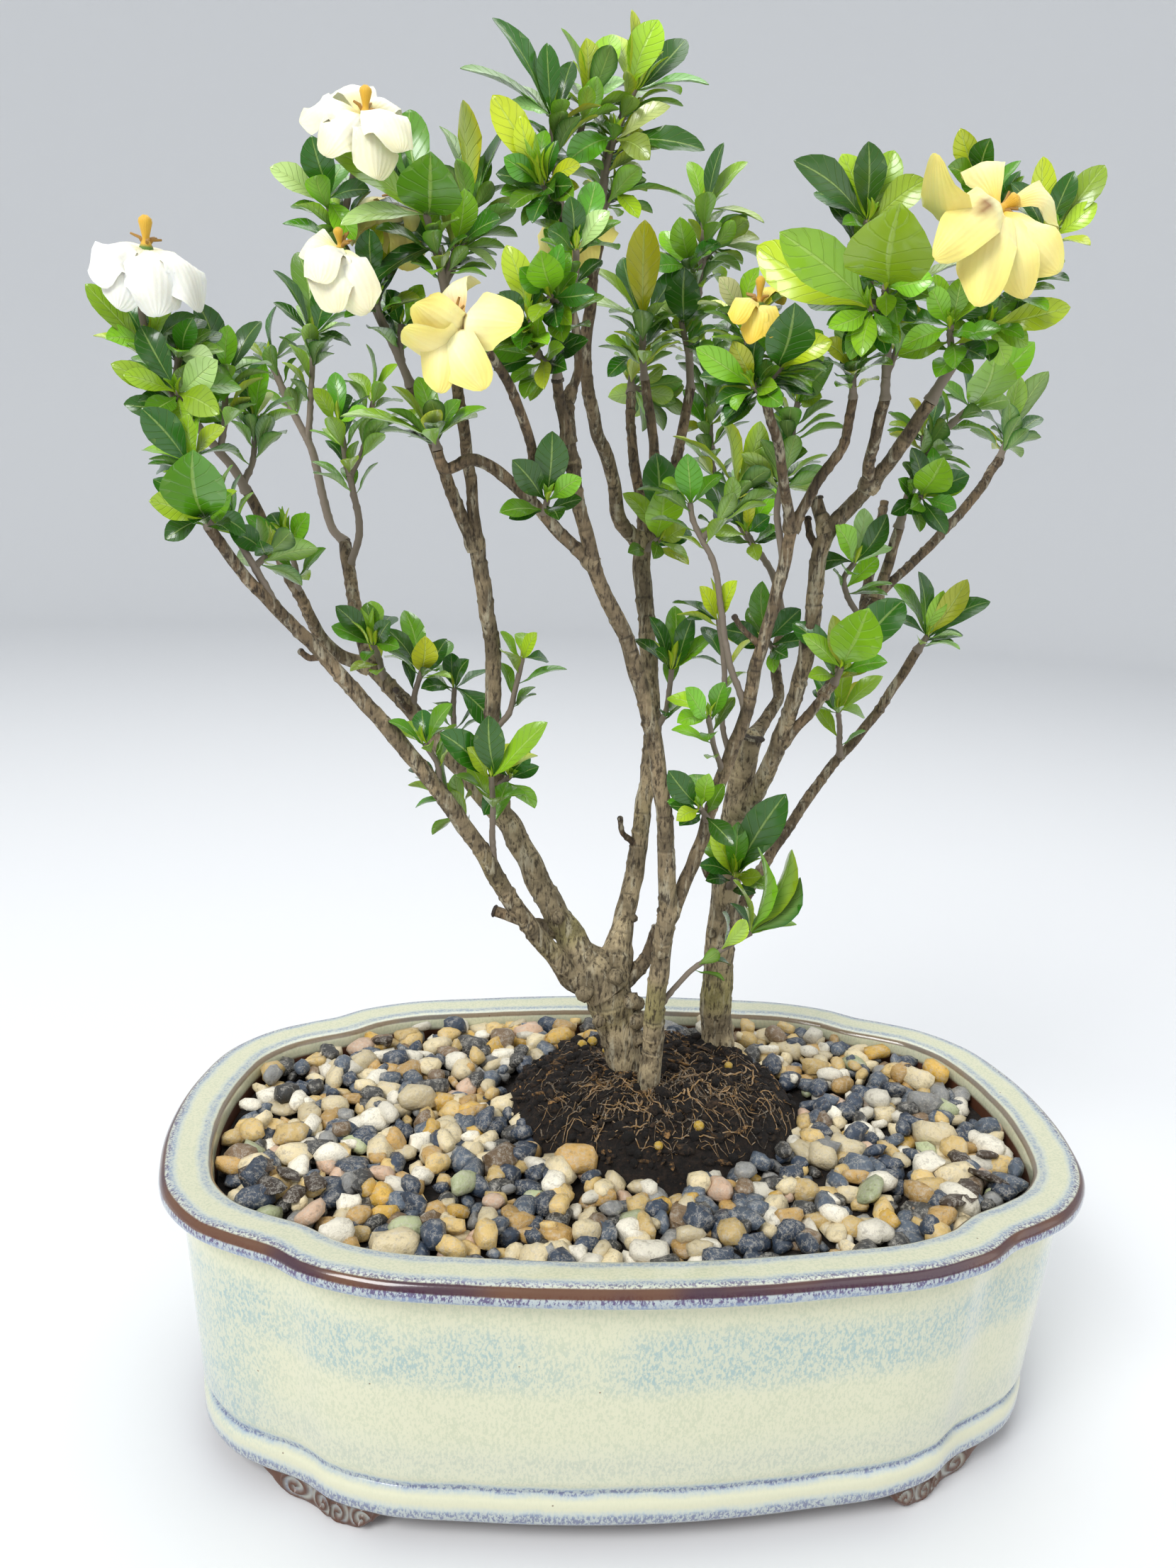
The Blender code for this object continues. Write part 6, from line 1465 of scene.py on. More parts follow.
@dataclass
class Wood:
    """Trunks and limbs with ring scars, knots, collars at forks and cut stubs."""

    lines: dict = field(default_factory=dict)
    room: Clearance = field(default_factory=Clearance)
    step: float = 0.5
    slim: float = 0.92
    old: Colour = (0.37, 0.295, 0.175)
    young: Colour = (0.135, 0.085, 0.045)
    algae: Colour = (0.26, 0.25, 0.05)
    stub: Colour = (0.045, 0.032, 0.024)
    # shortest and longest space between ring scars
    scar_space: tuple = (3.6, 6.6)
    # limbs that end in a cut, and how low the trunks' feet go
    cut: tuple = ("LS", "CK", "RX", "CL", "R")
    foot_level: float = 88.5

    def limb(self, mesh: Mesh, path: Array, radii: Array, seed: int, collar: float = 0.0,
             foot: bool = False) -> None:
        """Add one limb with its scars.

        The radius swells at each ring scar by a narrow bell and sinks between,
        widens towards its host by a falling exponential, and is roughened by a
        ripple, so each ring is slightly out of round. The tint is painted lighter
        on each swell, a painted highlight, and darker just past each scar.

        Args:
            mesh: Where it goes.
            path: Its points.
            radii: Their radii.
            seed: Seeds its scars.
            collar: Radius of the host that it grows from.
            foot: Whether it flares into the soil.
        """
        draw = np.random.default_rng(seed)
        curve, size, along = smooth_path(path, self.step, radii * self.slim)
        thin = float(np.clip(3.6 - size.mean(), 0, 2) / 2)
        scars = np.cumsum(draw.uniform(*self.scar_space, 200)) * (1.25 - 0.45 * thin)
        scars = scars[scars < along[-1] - 0.5]
        gap = along[:, None] - scars[None]
        strength = draw.uniform(0.35, 1.0, len(scars))

        def bells(middle: float, width: float) -> Array:
            """A bell past each scar, at its strength."""
            return (np.exp(-((gap - middle) / width) ** 2) * strength).sum(axis=1)

        swell = bells(0.0, 0.62) - 0.45 * bells(1.3, 0.5)
        ring_dark = bells(0.85, 0.36)
        widen = collar * 0.42 * np.exp(-np.maximum(along - collar * 0.9, 0) / (collar * 0.7 + 1e-6)
                                       ) if collar else 0.0
        flare = size * 0.30 * np.exp(-along / 9.0) if foot else 0.0
        scar = swell * (0.12 + 0.10 * np.minimum(size, 3.5))
        size = size + np.minimum(widen, size * 0.55) + flare
        sides = 16 if size.max() > 4.2 else 10
        angle = turns(sides)
        ring = np.stack([np.cos(angle), np.sin(angle)], axis=1)
        spot = np.concatenate((np.broadcast_to(ring[None] * 3.0, (len(along), sides, 2)),
                               np.broadcast_to((along / 3.0)[:, None, None],
                                               (len(along), sides, 1))), axis=2)
        rough = ripple(spot, 6.5, seed) * 0.055 + ripple(spot, 2.6, seed + 1) * 0.03
        shift = ripple(curve, 13.0, seed + 2)
        curve = curve + np.column_stack((shift, ripple(curve, 11.0, seed + 3), shift * 0)) * min(
            0.30, 0.12 * size.mean()) * np.clip(along / 6, 0, 1)[:, None]
        arc = np.clip(0.55 + 0.75 * ripple(spot, 7.0, seed + 5), 0.0, 1.15)
        arc = arc * min(1.0, 3.6 / float(size.mean())) ** 0.5
        full = size[:, None] * (1 + rough) + scar[:, None] * arc
        age = np.clip((size - 1.2) / 2.6, 0, 1)[:, None]
        tint = np.array(self.young) * (1 - age) + np.array(self.old) * age
        tone = 1 + 0.22 * ripple(curve, 9.0, seed + 4)[:, None]
        green = np.clip(ripple(curve, 23.0, 7) - 0.15, 0, 1)[:, None] * np.clip(
            (250 - curve[:, 2:3]) / 120, 0, 1) * np.clip((size[:, None] - 2.0) / 3, 0, 1)
        tint = (tint * (1 - green) + np.array(self.algae) * green) * tone
        # lighter on each scar's swell: a painted highlight on the ridge; darker just past the scar
        shade = (1 + 0.25 * np.clip(swell, 0, 1)[:, None] * arc) * (
            1 - 0.90 * np.clip(ring_dark, 0, 1)[:, None] * np.clip(arc, 0, 1))
        blotch = 1 + 0.22 * ripple(spot, 9.0, seed + 6)
        tint = (tint[:, None] * (shade * blotch)[..., None]).reshape(-1, 3)
        mesh.tube(curve, full, sides, np.concatenate((tint, tint[:1], tint[-1:])), 0, along)

    def cap(self, mesh: Mesh, limb: Limb, share: float = 1.0) -> None:
        """A dark weathered disc on a cut end: a low dome across the limb."""
        path = limb.points[-1] + np.array([[-0.6], [0.0], [0.45], [0.6]]) * limb.axis
        size = limb.radius[-1] * share * np.array([1.06, 1.08, 0.8, 0.3])
        mesh.tube(path, size, 12, self.stub)

    def knot(self, mesh: Mesh, place: Array, radius: float, seed: int) -> None:
        """A healed knot: a flattened rough ball on the bark."""
        ball, faces = pebble_shape(2)
        rough = 1 + 0.16 * ripple(ball * 2, 2.4, seed)
        mesh.add(ball * rough[:, None] * radius + place, (faces,), np.array(self.old) * 0.85)

    def build(self, finish: Bark) -> None:
        """Make the three trees, each one piece.

        Args:
            finish: The bark.
        """
        bark = finish.material()
        meshes = {node: Mesh() for node in LIMBS}
        rows = [(meshes[node], *row) for node, group in LIMBS.items() for row in group]
        home = {name: mesh for mesh, name, *_ in rows}
        for number, (mesh, name, host, numbers, widths, depths) in enumerate(rows):
            limb = Limb.grown(numbers, widths, depths, self.lines.get(host))
            self.lines[name] = limb
            points, radii = limb.points, limb.radius
            collar = 0.0
            if host:
                collar = self.lines[host].nearest(*limb.flat[0])[1]
            else:
                sunk = (0, 0, max(points[0][2] - self.foot_level, 4))
                points = np.concatenate((points[:1] - sunk, points))
                radii = np.concatenate((radii[:1], radii))
            self.limb(mesh, points, radii, 300 + number * 11, collar, not host)
            if name in self.cut:
                self.cap(mesh, limb, 1.1)
        for number, (limb, x, z, size) in enumerate(KNOTS):
            place, radius = self.lines[limb].nearest(x, z)
            aside = unit(sighted(x, z, place[1]) - place + unit(EYE - place) * 0.6 * radius)
            away = radius * 0.9 + max(radius - 5.0, 0.0) * 0.55
            self.knot(home[limb], place + aside * away, size, number)
        for number, (limb, numbers, width, depth) in enumerate(STUBS):
            shoot = Limb.shoot(numbers, width, depth, self.lines[limb])
            self.limb(home[limb], shoot.points, shoot.radius, 900 + number,
                      self.lines[limb].nearest(*shoot.flat[0])[1] * 0.6)
            self.cap(home[limb], shoot)
        for node, mesh in meshes.items():
            self.room.add(*mesh.quads())
            settle(mesh.build(node + "_bark", [bark], 80.0), "bark", node)


@dataclass(frozen=True)
class Blade:
    """The outline, fold and bow of one kind of leaf or petal."""

    stations: tuple
    fold: float
    bow: float
    thick: float
    wave: float
    rows: int
    columns: int

    def build(self, mesh: Mesh, root: Array, tip: Array, width: float, face: Array,
              tints: tuple[Colour, Colour], draw: np.random.Generator, out: Array,
              kind: int = 1, curl: float = 0.0) -> None:
        """Add a closed thin blade.

        The middle line at t is root + t (tip - root) + 4 bow length t (1 - t)
        face + curl length t³ away from the face. Across it at s, from -1 to 1,
        the blade stands half-width × s to the side and fold × half-width ×
        |s|^1.6 up, with a wave along its edge; the underside is the same
        surface set down by the thickness, which thins to the edge.

        Args:
            mesh: Where it goes.
            root: Its foot.
            tip: Its end.
            width: Its full width.
            face: The way its upper side looks.
            tints: Colours of the upper and under side.
            draw: Seeded numbers.
            out: Direction away from the shoot at its foot.
            kind: Number of the material slot.
            curl: How far the tip turns back, as a share of the length.
        """
        along = tip - root
        length = float(np.linalg.norm(along))
        face = unit(face - along * (face @ along) / length**2)
        side = np.cross(along / length, face)
        sweep = math.pi * 0.94
        t = (1 - np.cos(np.linspace(0.0, 1.0, self.rows) * sweep)) / (1 - math.cos(sweep))
        shape = np.interp(t, *np.array(self.stations).T)
        half = np.maximum(width / 2 * shape, 0.10)
        twist = draw.normal(0, 0.10)
        middle = (root + along * t[:, None]
                  + face * ((4 * self.bow * t * (1 - t) - curl * t**3) * length)[:, None]
                  + side * (draw.normal(0, 0.03) * 4 * length * t * (1 - t))[:, None]
                  + out * (1.2 * (1 - t) ** 2 * np.minimum(t * 6, 1) * (length > 7))[:, None])
        turn = twist * t
        across = np.cos(turn)[:, None] * side + np.sin(turn)[:, None] * face
        up = -np.sin(turn)[:, None] * side + np.cos(turn)[:, None] * face
        upper = np.linspace(-1, 1, self.columns)
        s = np.concatenate((upper, upper[-2:0:-1]))
        around = len(s)
        under = (np.arange(around) >= self.columns).astype(float)
        phase, beat = draw.uniform(0, 6.28), draw.uniform(9, 15)
        edge = self.wave * np.abs(s) ** 2 * np.sin(beat * t[:, None] + phase + 1.4 * s)
        rise = (self.fold * np.abs(s) ** 1.6 + edge) * half[:, None]
        thick = self.thick * np.clip(shape * 3, 0.5, 1)[:, None]
        rise = rise - under * thick * (1 - 0.6 * np.abs(s))
        points = (middle[:, None] + across[:, None] * (half[:, None] * s)[..., None]
                  + up[:, None] * rise[..., None])
        tone = np.clip(1 + 0.10 * np.sin(5 * t + phase), 0.8, 1.2)
        above, below = np.array(tints)
        tint = (above * (1 - under)[:, None] + below * under[:, None]) * tone[:, None, None]
        place = np.column_stack((np.repeat(t, around), np.tile(s, self.rows)))
        first, last = end_rings(self.rows, around)
        mesh.add(points.reshape(-1, 3), (wrap(self.rows, around), first[:, ::-1], last),
                 tint.reshape(-1, 3), place, kind)


class BladeKind(Enum):
    """The kinds of blade on the plant."""

    LEAF = Blade(((0, 0.08), (0.05, 0.09), (0.12, 0.20), (0.25, 0.52), (0.40, 0.80),
                  (0.55, 0.97), (0.66, 1.0), (0.77, 0.90), (0.87, 0.68), (0.94, 0.42),
                  (0.98, 0.20), (1.0, 0.03)), 0.24, 0.07, 0.34, 0.07, 12, 5)
    YOUNG = Blade(((0, 0.14), (0.10, 0.22), (0.3, 0.75), (0.5, 1.0), (0.7, 0.86),
                   (0.88, 0.44), (1.0, 0.04)), 0.42, 0.09, 0.34, 0.04, 9, 5)
    PETAL = Blade(((0, 0.16), (0.08, 0.26), (0.25, 0.62), (0.45, 0.92), (0.62, 1.0),
                   (0.78, 0.94), (0.9, 0.68), (0.97, 0.36), (1.0, 0.10)), -0.42, 0.24, 0.42,
                  0.30, 17, 9)


@dataclass
class Foliage:
    """Leafy shoots: twigs that end in whorls of leaves round a young bud."""

    wood: Wood
    # height above which a shoot gets this many more leaves below its whorl
    fills: tuple = ((345, 15), (300, 13), (0, 5))
    # spots tried for each of them
    tries: int = 9
    tone_odds: tuple = (("dark", 0.28), ("middle", 0.34), ("light", 0.30), ("yellow", 0.08))
    # how near the frame's solid a leaf has to end
    nearness: float = 0.15
    # how near a mark tells a leaf's colour, and a place where there are none
    mark_reach: float = 5.0
    nowhere: tuple = (999.0, 999.0)
    spray_reach: float = 9.0
    swings: tuple = ((0, 0), (14, 0), (-14, 0), (28, 0), (-28, 0), (0, 9), (0, -9), (14, 9),
                     (-14, -9), (28, -9), (-28, 9), (42, 0), (-42, 0), (42, 12), (-42, -12),
                     (56, 0), (-56, 0))
    # pale: partly the leaf's paler underside, partly a painted sheen of gloss
    tones: dict = field(default_factory=lambda: {
        "dark": (0.026, 0.120, 0.006), "middle": (0.110, 0.29, 0.009),
        "light": (0.265, 0.50, 0.018), "yellow": (0.49, 0.61, 0.024),
        "olive": (0.24, 0.33, 0.03), "pale": (0.45, 0.60, 0.20)})

    @staticmethod
    def tip_of(base: Array, leaf: Sequence[float]) -> tuple[Array, float]:
        """A leaf's tip at its natural length: what the elevation hides is in its depth.

        Returns:
            The tip and the length that the elevation shows.
        """
        x, z, width = leaf[0], leaf[1], leaf[2]
        shown = float(np.linalg.norm(sighted(x, z, base[1]) - base))
        natural = max(shown * 1.05, 2.1 * width, 12.0)
        deep = math.sqrt(natural**2 - shown**2)
        return sighted(x, z, base[1] + (deep if len(leaf) > 3 else -deep)), shown

    @staticmethod
    def swung(base: Array, tip: Array, turn: tuple) -> Array:
        """The tip swung about the base, in depth and across the line of sight.

        Args:
            base: The leaf's foot.
            tip: Its end.
            turn: Degrees in depth and degrees across.

        Returns:
            The swung tip.
        """
        reach = tip - base
        length = np.linalg.norm(reach)
        sight = unit(base - EYE)
        across = np.cross(sight, reach)
        deep, aside = (math.tan(math.radians(part)) for part in turn)
        return base + unit(reach + sight * length * deep + across * aside) * length

    @staticmethod
    def far_side(node: int, shoot: int, base: Array, axis: Array, count: int) -> list:
        """Seeded leaves on the shoot's far side, where the elevation shows none.

        Args:
            node: The node's number.
            shoot: The shoot's number in it.
            base: The shoot's end.
            axis: Its direction there.
            count: Leaves wanted.

        Returns:
            Tip, width, face and no elevation row for each leaf.
        """
        draw = random.Random(node * 31 + shoot * 7 + 5)
        found = []
        for number in range(count):
            side = draw.uniform(-0.9, 0.9) + (0.5 if number else -0.5)
            way = unit(np.array([side, draw.uniform(0.75, 1.1), draw.uniform(-0.1, 0.5)])
                       + axis * 0.4)
            found.append((base + way * draw.uniform(13.5, 17.5), draw.uniform(6.5, 8.5),
                          axis + np.array([0, 0, 0.6]), None))
        return found

    def placed(self, base: Array, tip: Array, corners: Array) -> Array | None:
        """The swing of the tip that the frame's own solid ends at, if any."""
        for turn in self.swings:
            end = self.swung(base, tip, turn)
            if np.linalg.norm(corners - end, axis=1).min() < self.nearness:
                return end
        return None

    def tone(self, x: float, z: float, draw: np.random.Generator) -> Colour:
        """A leaf's colour: that of the nearest mark within reach, or a seeded one.

        Args:
            x: The leaf's place on the elevation.
            z: Its height there.
            draw: Seeded numbers.

        Returns:
            The colour.
        """
        best, far = "", self.mark_reach
        for name, numbers in TONE_MARKS.items():
            gap = float(np.linalg.norm(route(numbers) - (x, z), axis=1).min())
            if gap < far:
                best, far = name, gap
        if not best:
            names, odds = zip(*self.tone_odds)
            best = draw.choice(names, p=odds)
        return tuple(np.array(self.tones[str(best)]) * draw.uniform(0.82, 1.2, 3))

    def leaf(self, mesh: Mesh, base: Array, axis: Array, bud: float, end: Array, width: float,
             face: Array, tone: Colour, draw: np.random.Generator) -> None:
        """Add one leaf from the bud's side to its end.

        Args:
            mesh: Where it goes.
            base: Middle of the bud.
            axis: The shoot's direction.
            bud: The bud's radius.
            end: The leaf's tip.
            width: Its width as measured.
            face: The way its upper side looks.
            tone: Its colour.
            draw: Seeded numbers.
        """
        way = end - base
        out = unit(way - axis * (way @ axis))
        length = float(np.linalg.norm(way))
        under = tuple(np.array(tone) * 0.45 + np.array((0.17, 0.26, 0.075)))
        full = max(width * 1.06, 0.37 * length)
        BladeKind.LEAF.value.build(mesh, base + out * bud * 0.7, end, full, face, (tone, under),
                                   draw, out, 1, draw.uniform(0.0, 0.09))

    def crown(self, mesh: Mesh, base: Array, axis: Array, draw: np.random.Generator) -> None:
        """The young bud: small upright leaves about the shoot's end, a spray where marked.

        Args:
            mesh: Where it goes.
            base: The shoot's end.
            axis: Its direction there.
            draw: Seeded numbers.
        """
        flat = EYE + (base - EYE) * (-EYE[1] / (base[1] - EYE[1]))
        near = np.linalg.norm(route(SPRAYS) - flat[[0, 2]], axis=1) < self.spray_reach
        count, size, lean, slim = (8, 11.5, 0.75, 0.2) if near.any() else (3, 6.0, 0.5, 0.32)
        pair, start = cross_pair(base, axis), draw.uniform(0, 6.28)
        upright = unit(axis + (0, 0, 0.8))
        for number in range(count):
            out = spoke(pair, start + number * GOLDEN)
            way = unit(upright + out * draw.uniform(0.12, lean))
            BladeKind.YOUNG.value.build(
                mesh, base + out * 0.6, base + way * size * draw.uniform(0.7, 1.15), size * slim,
                axis - out, (self.tones["light"], self.tones["yellow"]), draw, out)

    def fill(self, mesh: Mesh, limb: Limb, room: Clearance, draw: np.random.Generator) -> None:
        """Fit more leaves below the whorl, each at the first seeded spot that is clear.

        Args:
            mesh: Where they go.
            limb: The shoot.
            room: Everything placed so far.
            draw: Seeded numbers.
        """
        base, axis = limb.points[-1], limb.axis
        path, _, along = smooth_path(limb.points, 0.8, limb.radius)
        pair = cross_pair(base, axis)
        wanted = next(count for height, count in self.fills if base[2] > height)
        placed, turn = 0, draw.uniform(0, 6.28)
        attempts = wanted * self.tries
        for attempt in range(attempts):
            if placed == wanted:
                break
            turn += GOLDEN + draw.normal(0, 0.25)
            out = spoke(pair, turn)
            back = draw.uniform(0.5, min(24.0, along[-1] * 0.8)) if along[-1] > 2 else 0.4
            foot = path[int(np.searchsorted(along, along[-1] - back).clip(0, len(path) - 1))]
            length = draw.uniform(10.5, 17.0) * (1 - 0.30 * attempt / attempts)
            rise = draw.uniform(0.25, 0.95)
            end = foot + unit(out + axis * rise + (0, 0, 0.12)) * length
            trial = Mesh()
            self.leaf(trial, foot, axis, 0.9, end, length * 0.40, axis * 1.2 - out * 0.2,
                      self.tone(*self.nowhere, draw), draw)
            points, faces = trial.points[0], trial.faces[0]
            outer = np.linalg.norm(points - foot, axis=1) > 0.30 * length
            kept = faces[outer[faces].all(axis=1)]
            if room.touches(points, kept):
                continue
            room.add(points, kept)
            mesh.add(points, trial.faces, trial.tints[0], trial.places[0], 1)
            placed += 1

    def cluster(self, mesh: Mesh, node: str, index: int, rows: Sequence, corners: Array,
                draw: np.random.Generator) -> list[Limb]:
        """Add a node's twigs and its solid leaves' finer blades; return the leafy twigs.

        Args:
            mesh: Where they go.
            node: The node's name.
            index: Its number.
            rows: Its shoots.
            corners: The vertices of its solid.
            draw: Seeded numbers.

        Returns:
            The twigs that bear leaves.
        """
        own, leafy = [], []
        for number, (host, numbers, width, depth, leaves) in enumerate(rows):
            fused = isinstance(host, int)
            bearer = own[host] if fused else self.wood.lines[host]
            limb = Limb.shoot(numbers, width, depth, bearer)
            own.append(limb)
            self.wood.lines[(node, number)] = limb
            collar = 0.9 if fused else bearer.nearest(*limb.flat[0])[1] * 0.6
            self.wood.limb(mesh, limb.points, limb.radius, 2000 + index * 10 + number, collar)
            if not leaves:
                continue
            leafy.append(limb)
            base, axis = limb.points[-1], limb.axis
            view = unit(EYE - base)
            wanted = []
            for leaf in leaves:
                tip, shown = self.tip_of(base, leaf)
                share = min(max(0.35 + 0.8 * (leaf[2] / shown - 0.35), 0.3), 0.95)
                wanted.append((tip, leaf[2], axis * (1 - share) + view * share, leaf))
            wanted += self.far_side(index, number, base, axis, 1 if len(leaves) < 4 else 2)
            bud = max(float(limb.radius[-1]), 0.9)
            for tip, wide, face, leaf in wanted:
                end = self.placed(base, tip, corners)
                if end is None:
                    LOG.info("no solid leaf for %s at %s", node, leaf)
                    continue
                spot = leaf[:2] if leaf else self.nowhere
                self.leaf(mesh, base, axis, bud, end, wide, face, self.tone(*spot, draw), draw)
            self.crown(mesh, base, axis, draw)
        return leafy

    def build(self, bark: bpy.types.Material, finish: Leaf) -> None:
        """Make each leafy cluster as one piece in place of its node.

        Args:
            bark: The twigs' material.
            finish: The leaf.
        """
        leaf_paint = finish.material()
        room = self.wood.room
        made = []
        for index, (node, rows) in enumerate(SHOOTS.items()):
            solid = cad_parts[node].data
            corners = np.empty(len(solid.vertices) * 3)
            solid.vertices.foreach_get("co", corners)
            corners = corners.reshape(-1, 3) / MM - ORIGIN_SHIFT
            draw = np.random.default_rng(5000 + index)
            mesh = Mesh()
            leafy = self.cluster(mesh, node, index, rows, corners, draw)
            made.append((node, mesh, leafy, draw))
            room.add(*mesh.quads())
        for node, mesh, leafy, draw in made:
            for limb in leafy:
                self.fill(mesh, limb, room, draw)
            settle(mesh.build(node + "_fine", [bark, leaf_paint], 75.0), "leaf_green", node)


@dataclass
class Flowers:
    """Spent blooms: a skirt of drooping petals under an upright club."""

    wood: Wood
    petal_face: float = 0.25
    calyx: Colour = (0.10, 0.22, 0.03)
    club: Colour = (0.72, 0.42, 0.03)
    stamen: Colour = (0.42, 0.22, 0.03)

    def build(self, finish: Petal, leaf_paint: bpy.types.Material) -> None:
        """Make each bloom as one piece in place of its node.

        Args:
            finish: The petal.
            leaf_paint: The calyx's and stalk's material.
        """
        paint = finish.material()
        for index, (node, row) in enumerate(BLOOMS.items()):
            host, numbers, depth, petals, pistil, club = row
            shades = BLOOM_SHADES[node]
            stalk = Limb.shoot(numbers, 2.2, depth, self.wood.lines[host])
            base, axis = stalk.points[-1], stalk.axis
            draw = np.random.default_rng(8000 + index)
            mesh = Mesh()
            curve, size, along = smooth_path(stalk.points, 0.8, stalk.radius * 0.85)
            mesh.tube(curve, size, 8, self.calyx, 1, along)
            for petal in petals:
                tip = Foliage.tip_of(base, petal)[0]
                way = tip - base
                out = unit(way - axis * (way @ axis))
                face = unit(axis * 0.9 + out * 0.9 + unit(EYE - base) * self.petal_face)
                wide = petal[2] * draw.uniform(1.2, 1.45) * PETAL_WIDTHS.get(node, 1.0)
                self.petal(mesh, base + out * 0.9, tip, wide, face, shades, draw, out)
            self.middle(mesh, base, sighted(*pistil, depth - 1.5), club, axis, draw)
            for x, z, size in BRUISES.get(node, ()):
                for part, points in enumerate(mesh.points):
                    flat = EYE + (points - EYE) * (-EYE[1] / (points[:, 1:2] - EYE[1]))
                    away = np.linalg.norm(flat[:, [0, 2]] - (x, z), axis=1)
                    share = np.clip(1.5 - away / size, 0, 1)[:, None]
                    mesh.tints[part] = mesh.tints[part] * (1 - share) + np.array(BROWN) * share
            settle(mesh.build(node + "_fine", [paint, leaf_paint], 75.0), "petal", node)

    def petal(self, mesh: Mesh, root: Array, tip: Array, width: float, face: Array,
              shades: tuple, draw: np.random.Generator, out: Array) -> None:
        """Add one petal whose colour runs from its foot to its tip.

        Args:
            mesh: Where it goes.
            root: Its foot.
            tip: Its end.
            width: Its full width.
            face: The way its upper side looks.
            shades: Its colours at foot, middle and tip.
            draw: Seeded numbers.
            out: Direction away from the stalk.
        """
        start = mesh.total
        BladeKind.PETAL.value.build(mesh, root, tip, width, face, ((1, 1, 1), (1, 1, 1)),
                                    draw, out, 0, 0.16)
        t = mesh.places[-1][:, 0]
        s = np.abs(mesh.places[-1][:, 1])
        foot, middle, edge = (np.array(shade) for shade in shades)
        near = np.clip(t / 0.45, 0, 1)[:, None]
        far = np.clip((t - 0.45 + 0.25 * s) / 0.6, 0, 1)[:, None]
        colour = (foot * (1 - near) + middle * near) * (1 - far) + edge * far
        spot = ripple(mesh.points[-1], 9.0, start % 89)[:, None]
        mesh.tints[-1] = np.clip(colour * (1 + 0.10 * spot), 0, 0.92)

    def middle(self, mesh: Mesh, base: Array, top: Array, club: float, axis: Array,
               draw: np.random.Generator) -> None:
        """Add the calyx cup, the club and its faded stamens.

        Args:
            mesh: Where they go.
            base: The stalk's end.
            top: The club's end.
            club: The club's width.
            axis: The stalk's direction.
            draw: Seeded numbers.
        """
        along = top - base
        share = np.linspace(-0.15, 1, 12)
        path = base + along * share[:, None]
        size = club * np.interp(share, (-0.15, 0, 0.12, 0.3, 0.55, 0.8, 0.95, 1.0),
                                (0.42, 0.55, 0.42, 0.22, 0.36, 0.50, 0.42, 0.16))
        ring = np.where(share[:, None] < 0.1, np.array(self.calyx), np.array(self.club))
        mesh.tube(path, size, 10, ring)
        pair = cross_pair(base, axis)
        for _ in range(5):
            out = spoke(pair, draw.uniform(0, 6.28))
            end = base + along * 0.35 + out * draw.uniform(3.0, 4.6)
            bend = base + along * 0.30 + out * 1.6
            mesh.tube(np.array([base, bend, end]), np.array([0.45, 0.5, 0.3]), 5, self.stamen)


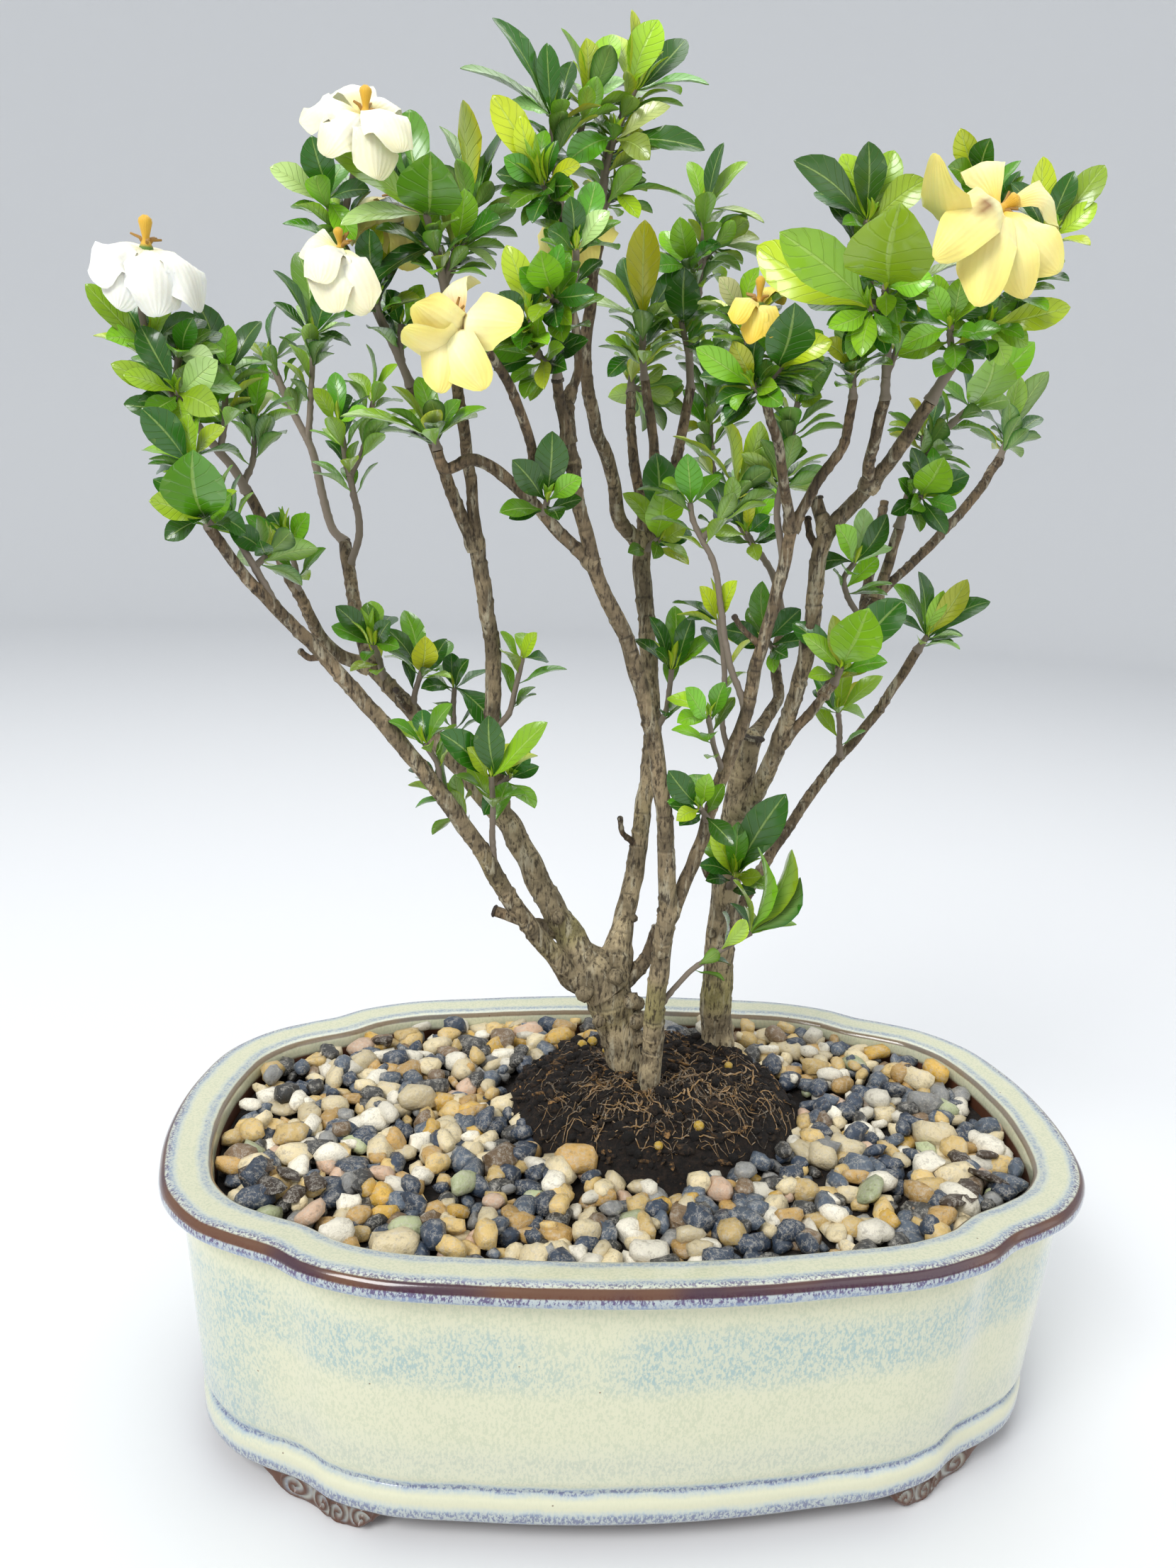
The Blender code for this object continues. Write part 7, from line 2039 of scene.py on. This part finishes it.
@dataclass
class Studio:
    """The camera at the photograph's angle, soft lights and a pale floor."""

    eye: tuple = (-49.28, -366.4, 292.8)
    pitch: float = 0.2261
    roll: float = 0.0418
    yaw: float = 0.0966
    focal: float = 1661.0
    picture: tuple = (1659, 2212)
    sensor: float = 36.0
    # name, place, point it looks at, size and power of each light, in metres and watts
    lamps: tuple = (("window", (-0.9, -1.1, 1.5), (0, 0, 0.22), 0.8, 27.0),
                    ("fill", (1.3, -0.9, 0.9), (0, 0, 0.2), 1.6, 6.0),
                    ("crown_light", (0.1, 0.5, 1.7), (0, 0, 0.2), 1.3, 10.0))
    sky: tuple = (0.93, 0.96, 1.0, 1.0)
    sky_strength: float = 0.66
    paper: Colour = (0.80, 0.81, 0.82)
    # the floor's flat reach, the radius of its bend, its rim's height and its sides
    sweep: tuple = (2.6, 0.8, 2.4, 96)

    @staticmethod
    def stand(name: str, data: bpy.types.ID, columns: Sequence[Array],
              place: Array) -> bpy.types.Object:
        """Stand an object with its axes along the columns, at a place in metres.

        Args:
            name: Its name.
            data: What it shows.
            columns: Where its x, y and z axes point.
            place: Where it stands.

        Returns:
            The linked object.
        """
        item = bpy.data.objects.new(name, data)
        matrix = np.eye(4)
        matrix[:3, :3] = np.column_stack(columns)
        matrix[:3, 3] = place
        item.matrix_world = Matrix(matrix.tolist())
        bpy.context.scene.collection.objects.link(item)
        return item

    def camera(self) -> None:
        """Stand the camera: pitch down, roll, then turn about the vertical."""
        forward = np.array([0, math.cos(self.pitch), -math.sin(self.pitch)])
        right = np.array([1.0, 0, 0])
        up = np.array([0, math.sin(self.pitch), math.cos(self.pitch)])
        c, s = math.cos(self.roll), math.sin(self.roll)
        right, up = c * right + s * up, -s * right + c * up
        c, s = math.cos(self.yaw), math.sin(self.yaw)
        turn = np.array([[c, -s, 0], [s, c, 0], [0, 0, 1]])
        columns = [turn.T @ part for part in (right, up, -forward)]
        lens = bpy.data.cameras.new("camera")
        lens.sensor_width = self.sensor
        lens.lens = self.focal / max(self.picture) * self.sensor
        lens.clip_start = 0.01
        bpy.context.scene.camera = self.stand("camera", lens, columns, np.array(self.eye) * MM)

    def light(self, name: str, place: tuple, target: tuple, size: float, power: float) -> None:
        """Hang a square soft light that looks at a point."""
        data = bpy.data.lights.new(name, "AREA")
        data.size, data.energy = size, power
        away = unit(np.array(place) - np.array(target))
        right = unit(np.cross((0, 0, 1), away) + 1e-6)
        self.stand(name, data, (right, np.cross(away, right), away), np.array(place))

    def floor(self) -> None:
        """A flat pale floor that curves up all round into a low wall.

        Height is zero, then a quarter circle of the given radius, then upright,
        turned about the vertical.
        """
        reach, radius, rim, sides = self.sweep
        bend = np.linspace(0, math.pi / 2, 24)
        far = np.concatenate(([0.05], reach + radius * np.sin(bend), [reach + radius]))
        high = np.concatenate(([0.0], radius * (1 - np.cos(bend)), [rim]))
        angle = turns(sides)
        points = np.stack(np.broadcast_arrays(
            far[:, None] * np.cos(angle), far[:, None] * np.sin(angle), high[:, None]), axis=-1)
        faces = wrap(len(far), sides).tolist() + [list(range(sides))]
        mesh = bpy.data.meshes.new("floor")
        mesh.from_pydata(points.reshape(-1, 3).tolist(), [], faces)
        mesh.polygons.foreach_set("use_smooth", np.ones(len(faces), dtype=bool))
        mesh.materials.append(Recipe("pale_floor", 0.7).colour(self.paper))
        floor = self.stand("floor", mesh, np.eye(3), np.zeros(3))

    def build(self) -> None:
        """Set everything that isn't part of the object."""
        self.camera()
        self.floor()
        for lamp in self.lamps:
            self.light(*lamp)
        world = bpy.data.worlds.new("studio")
        world.use_nodes = True
        sky = world.node_tree.nodes["Background"]
        sky.inputs["Color"].default_value = self.sky
        sky.inputs["Strength"].default_value = self.sky_strength
        bpy.context.scene.world = world
        bpy.context.scene.view_settings.view_transform = "Standard"


def main() -> None:
    """Build every piece."""
    logging.basicConfig(level=logging.INFO, format="%(message)s")
    Studio().build()
    Pot().build(Glaze())
    soil = Soil()
    soil.build(Earth())
    Gravel().build(soil, Stone())
    wood = Wood()
    wood.build(Bark())
    bark = bpy.data.materials["bark"]
    Foliage(wood).build(bark, Leaf())
    Flowers(wood).build(Petal(), bpy.data.materials["leaf_green"])


if __name__ == "__main__":
    main()
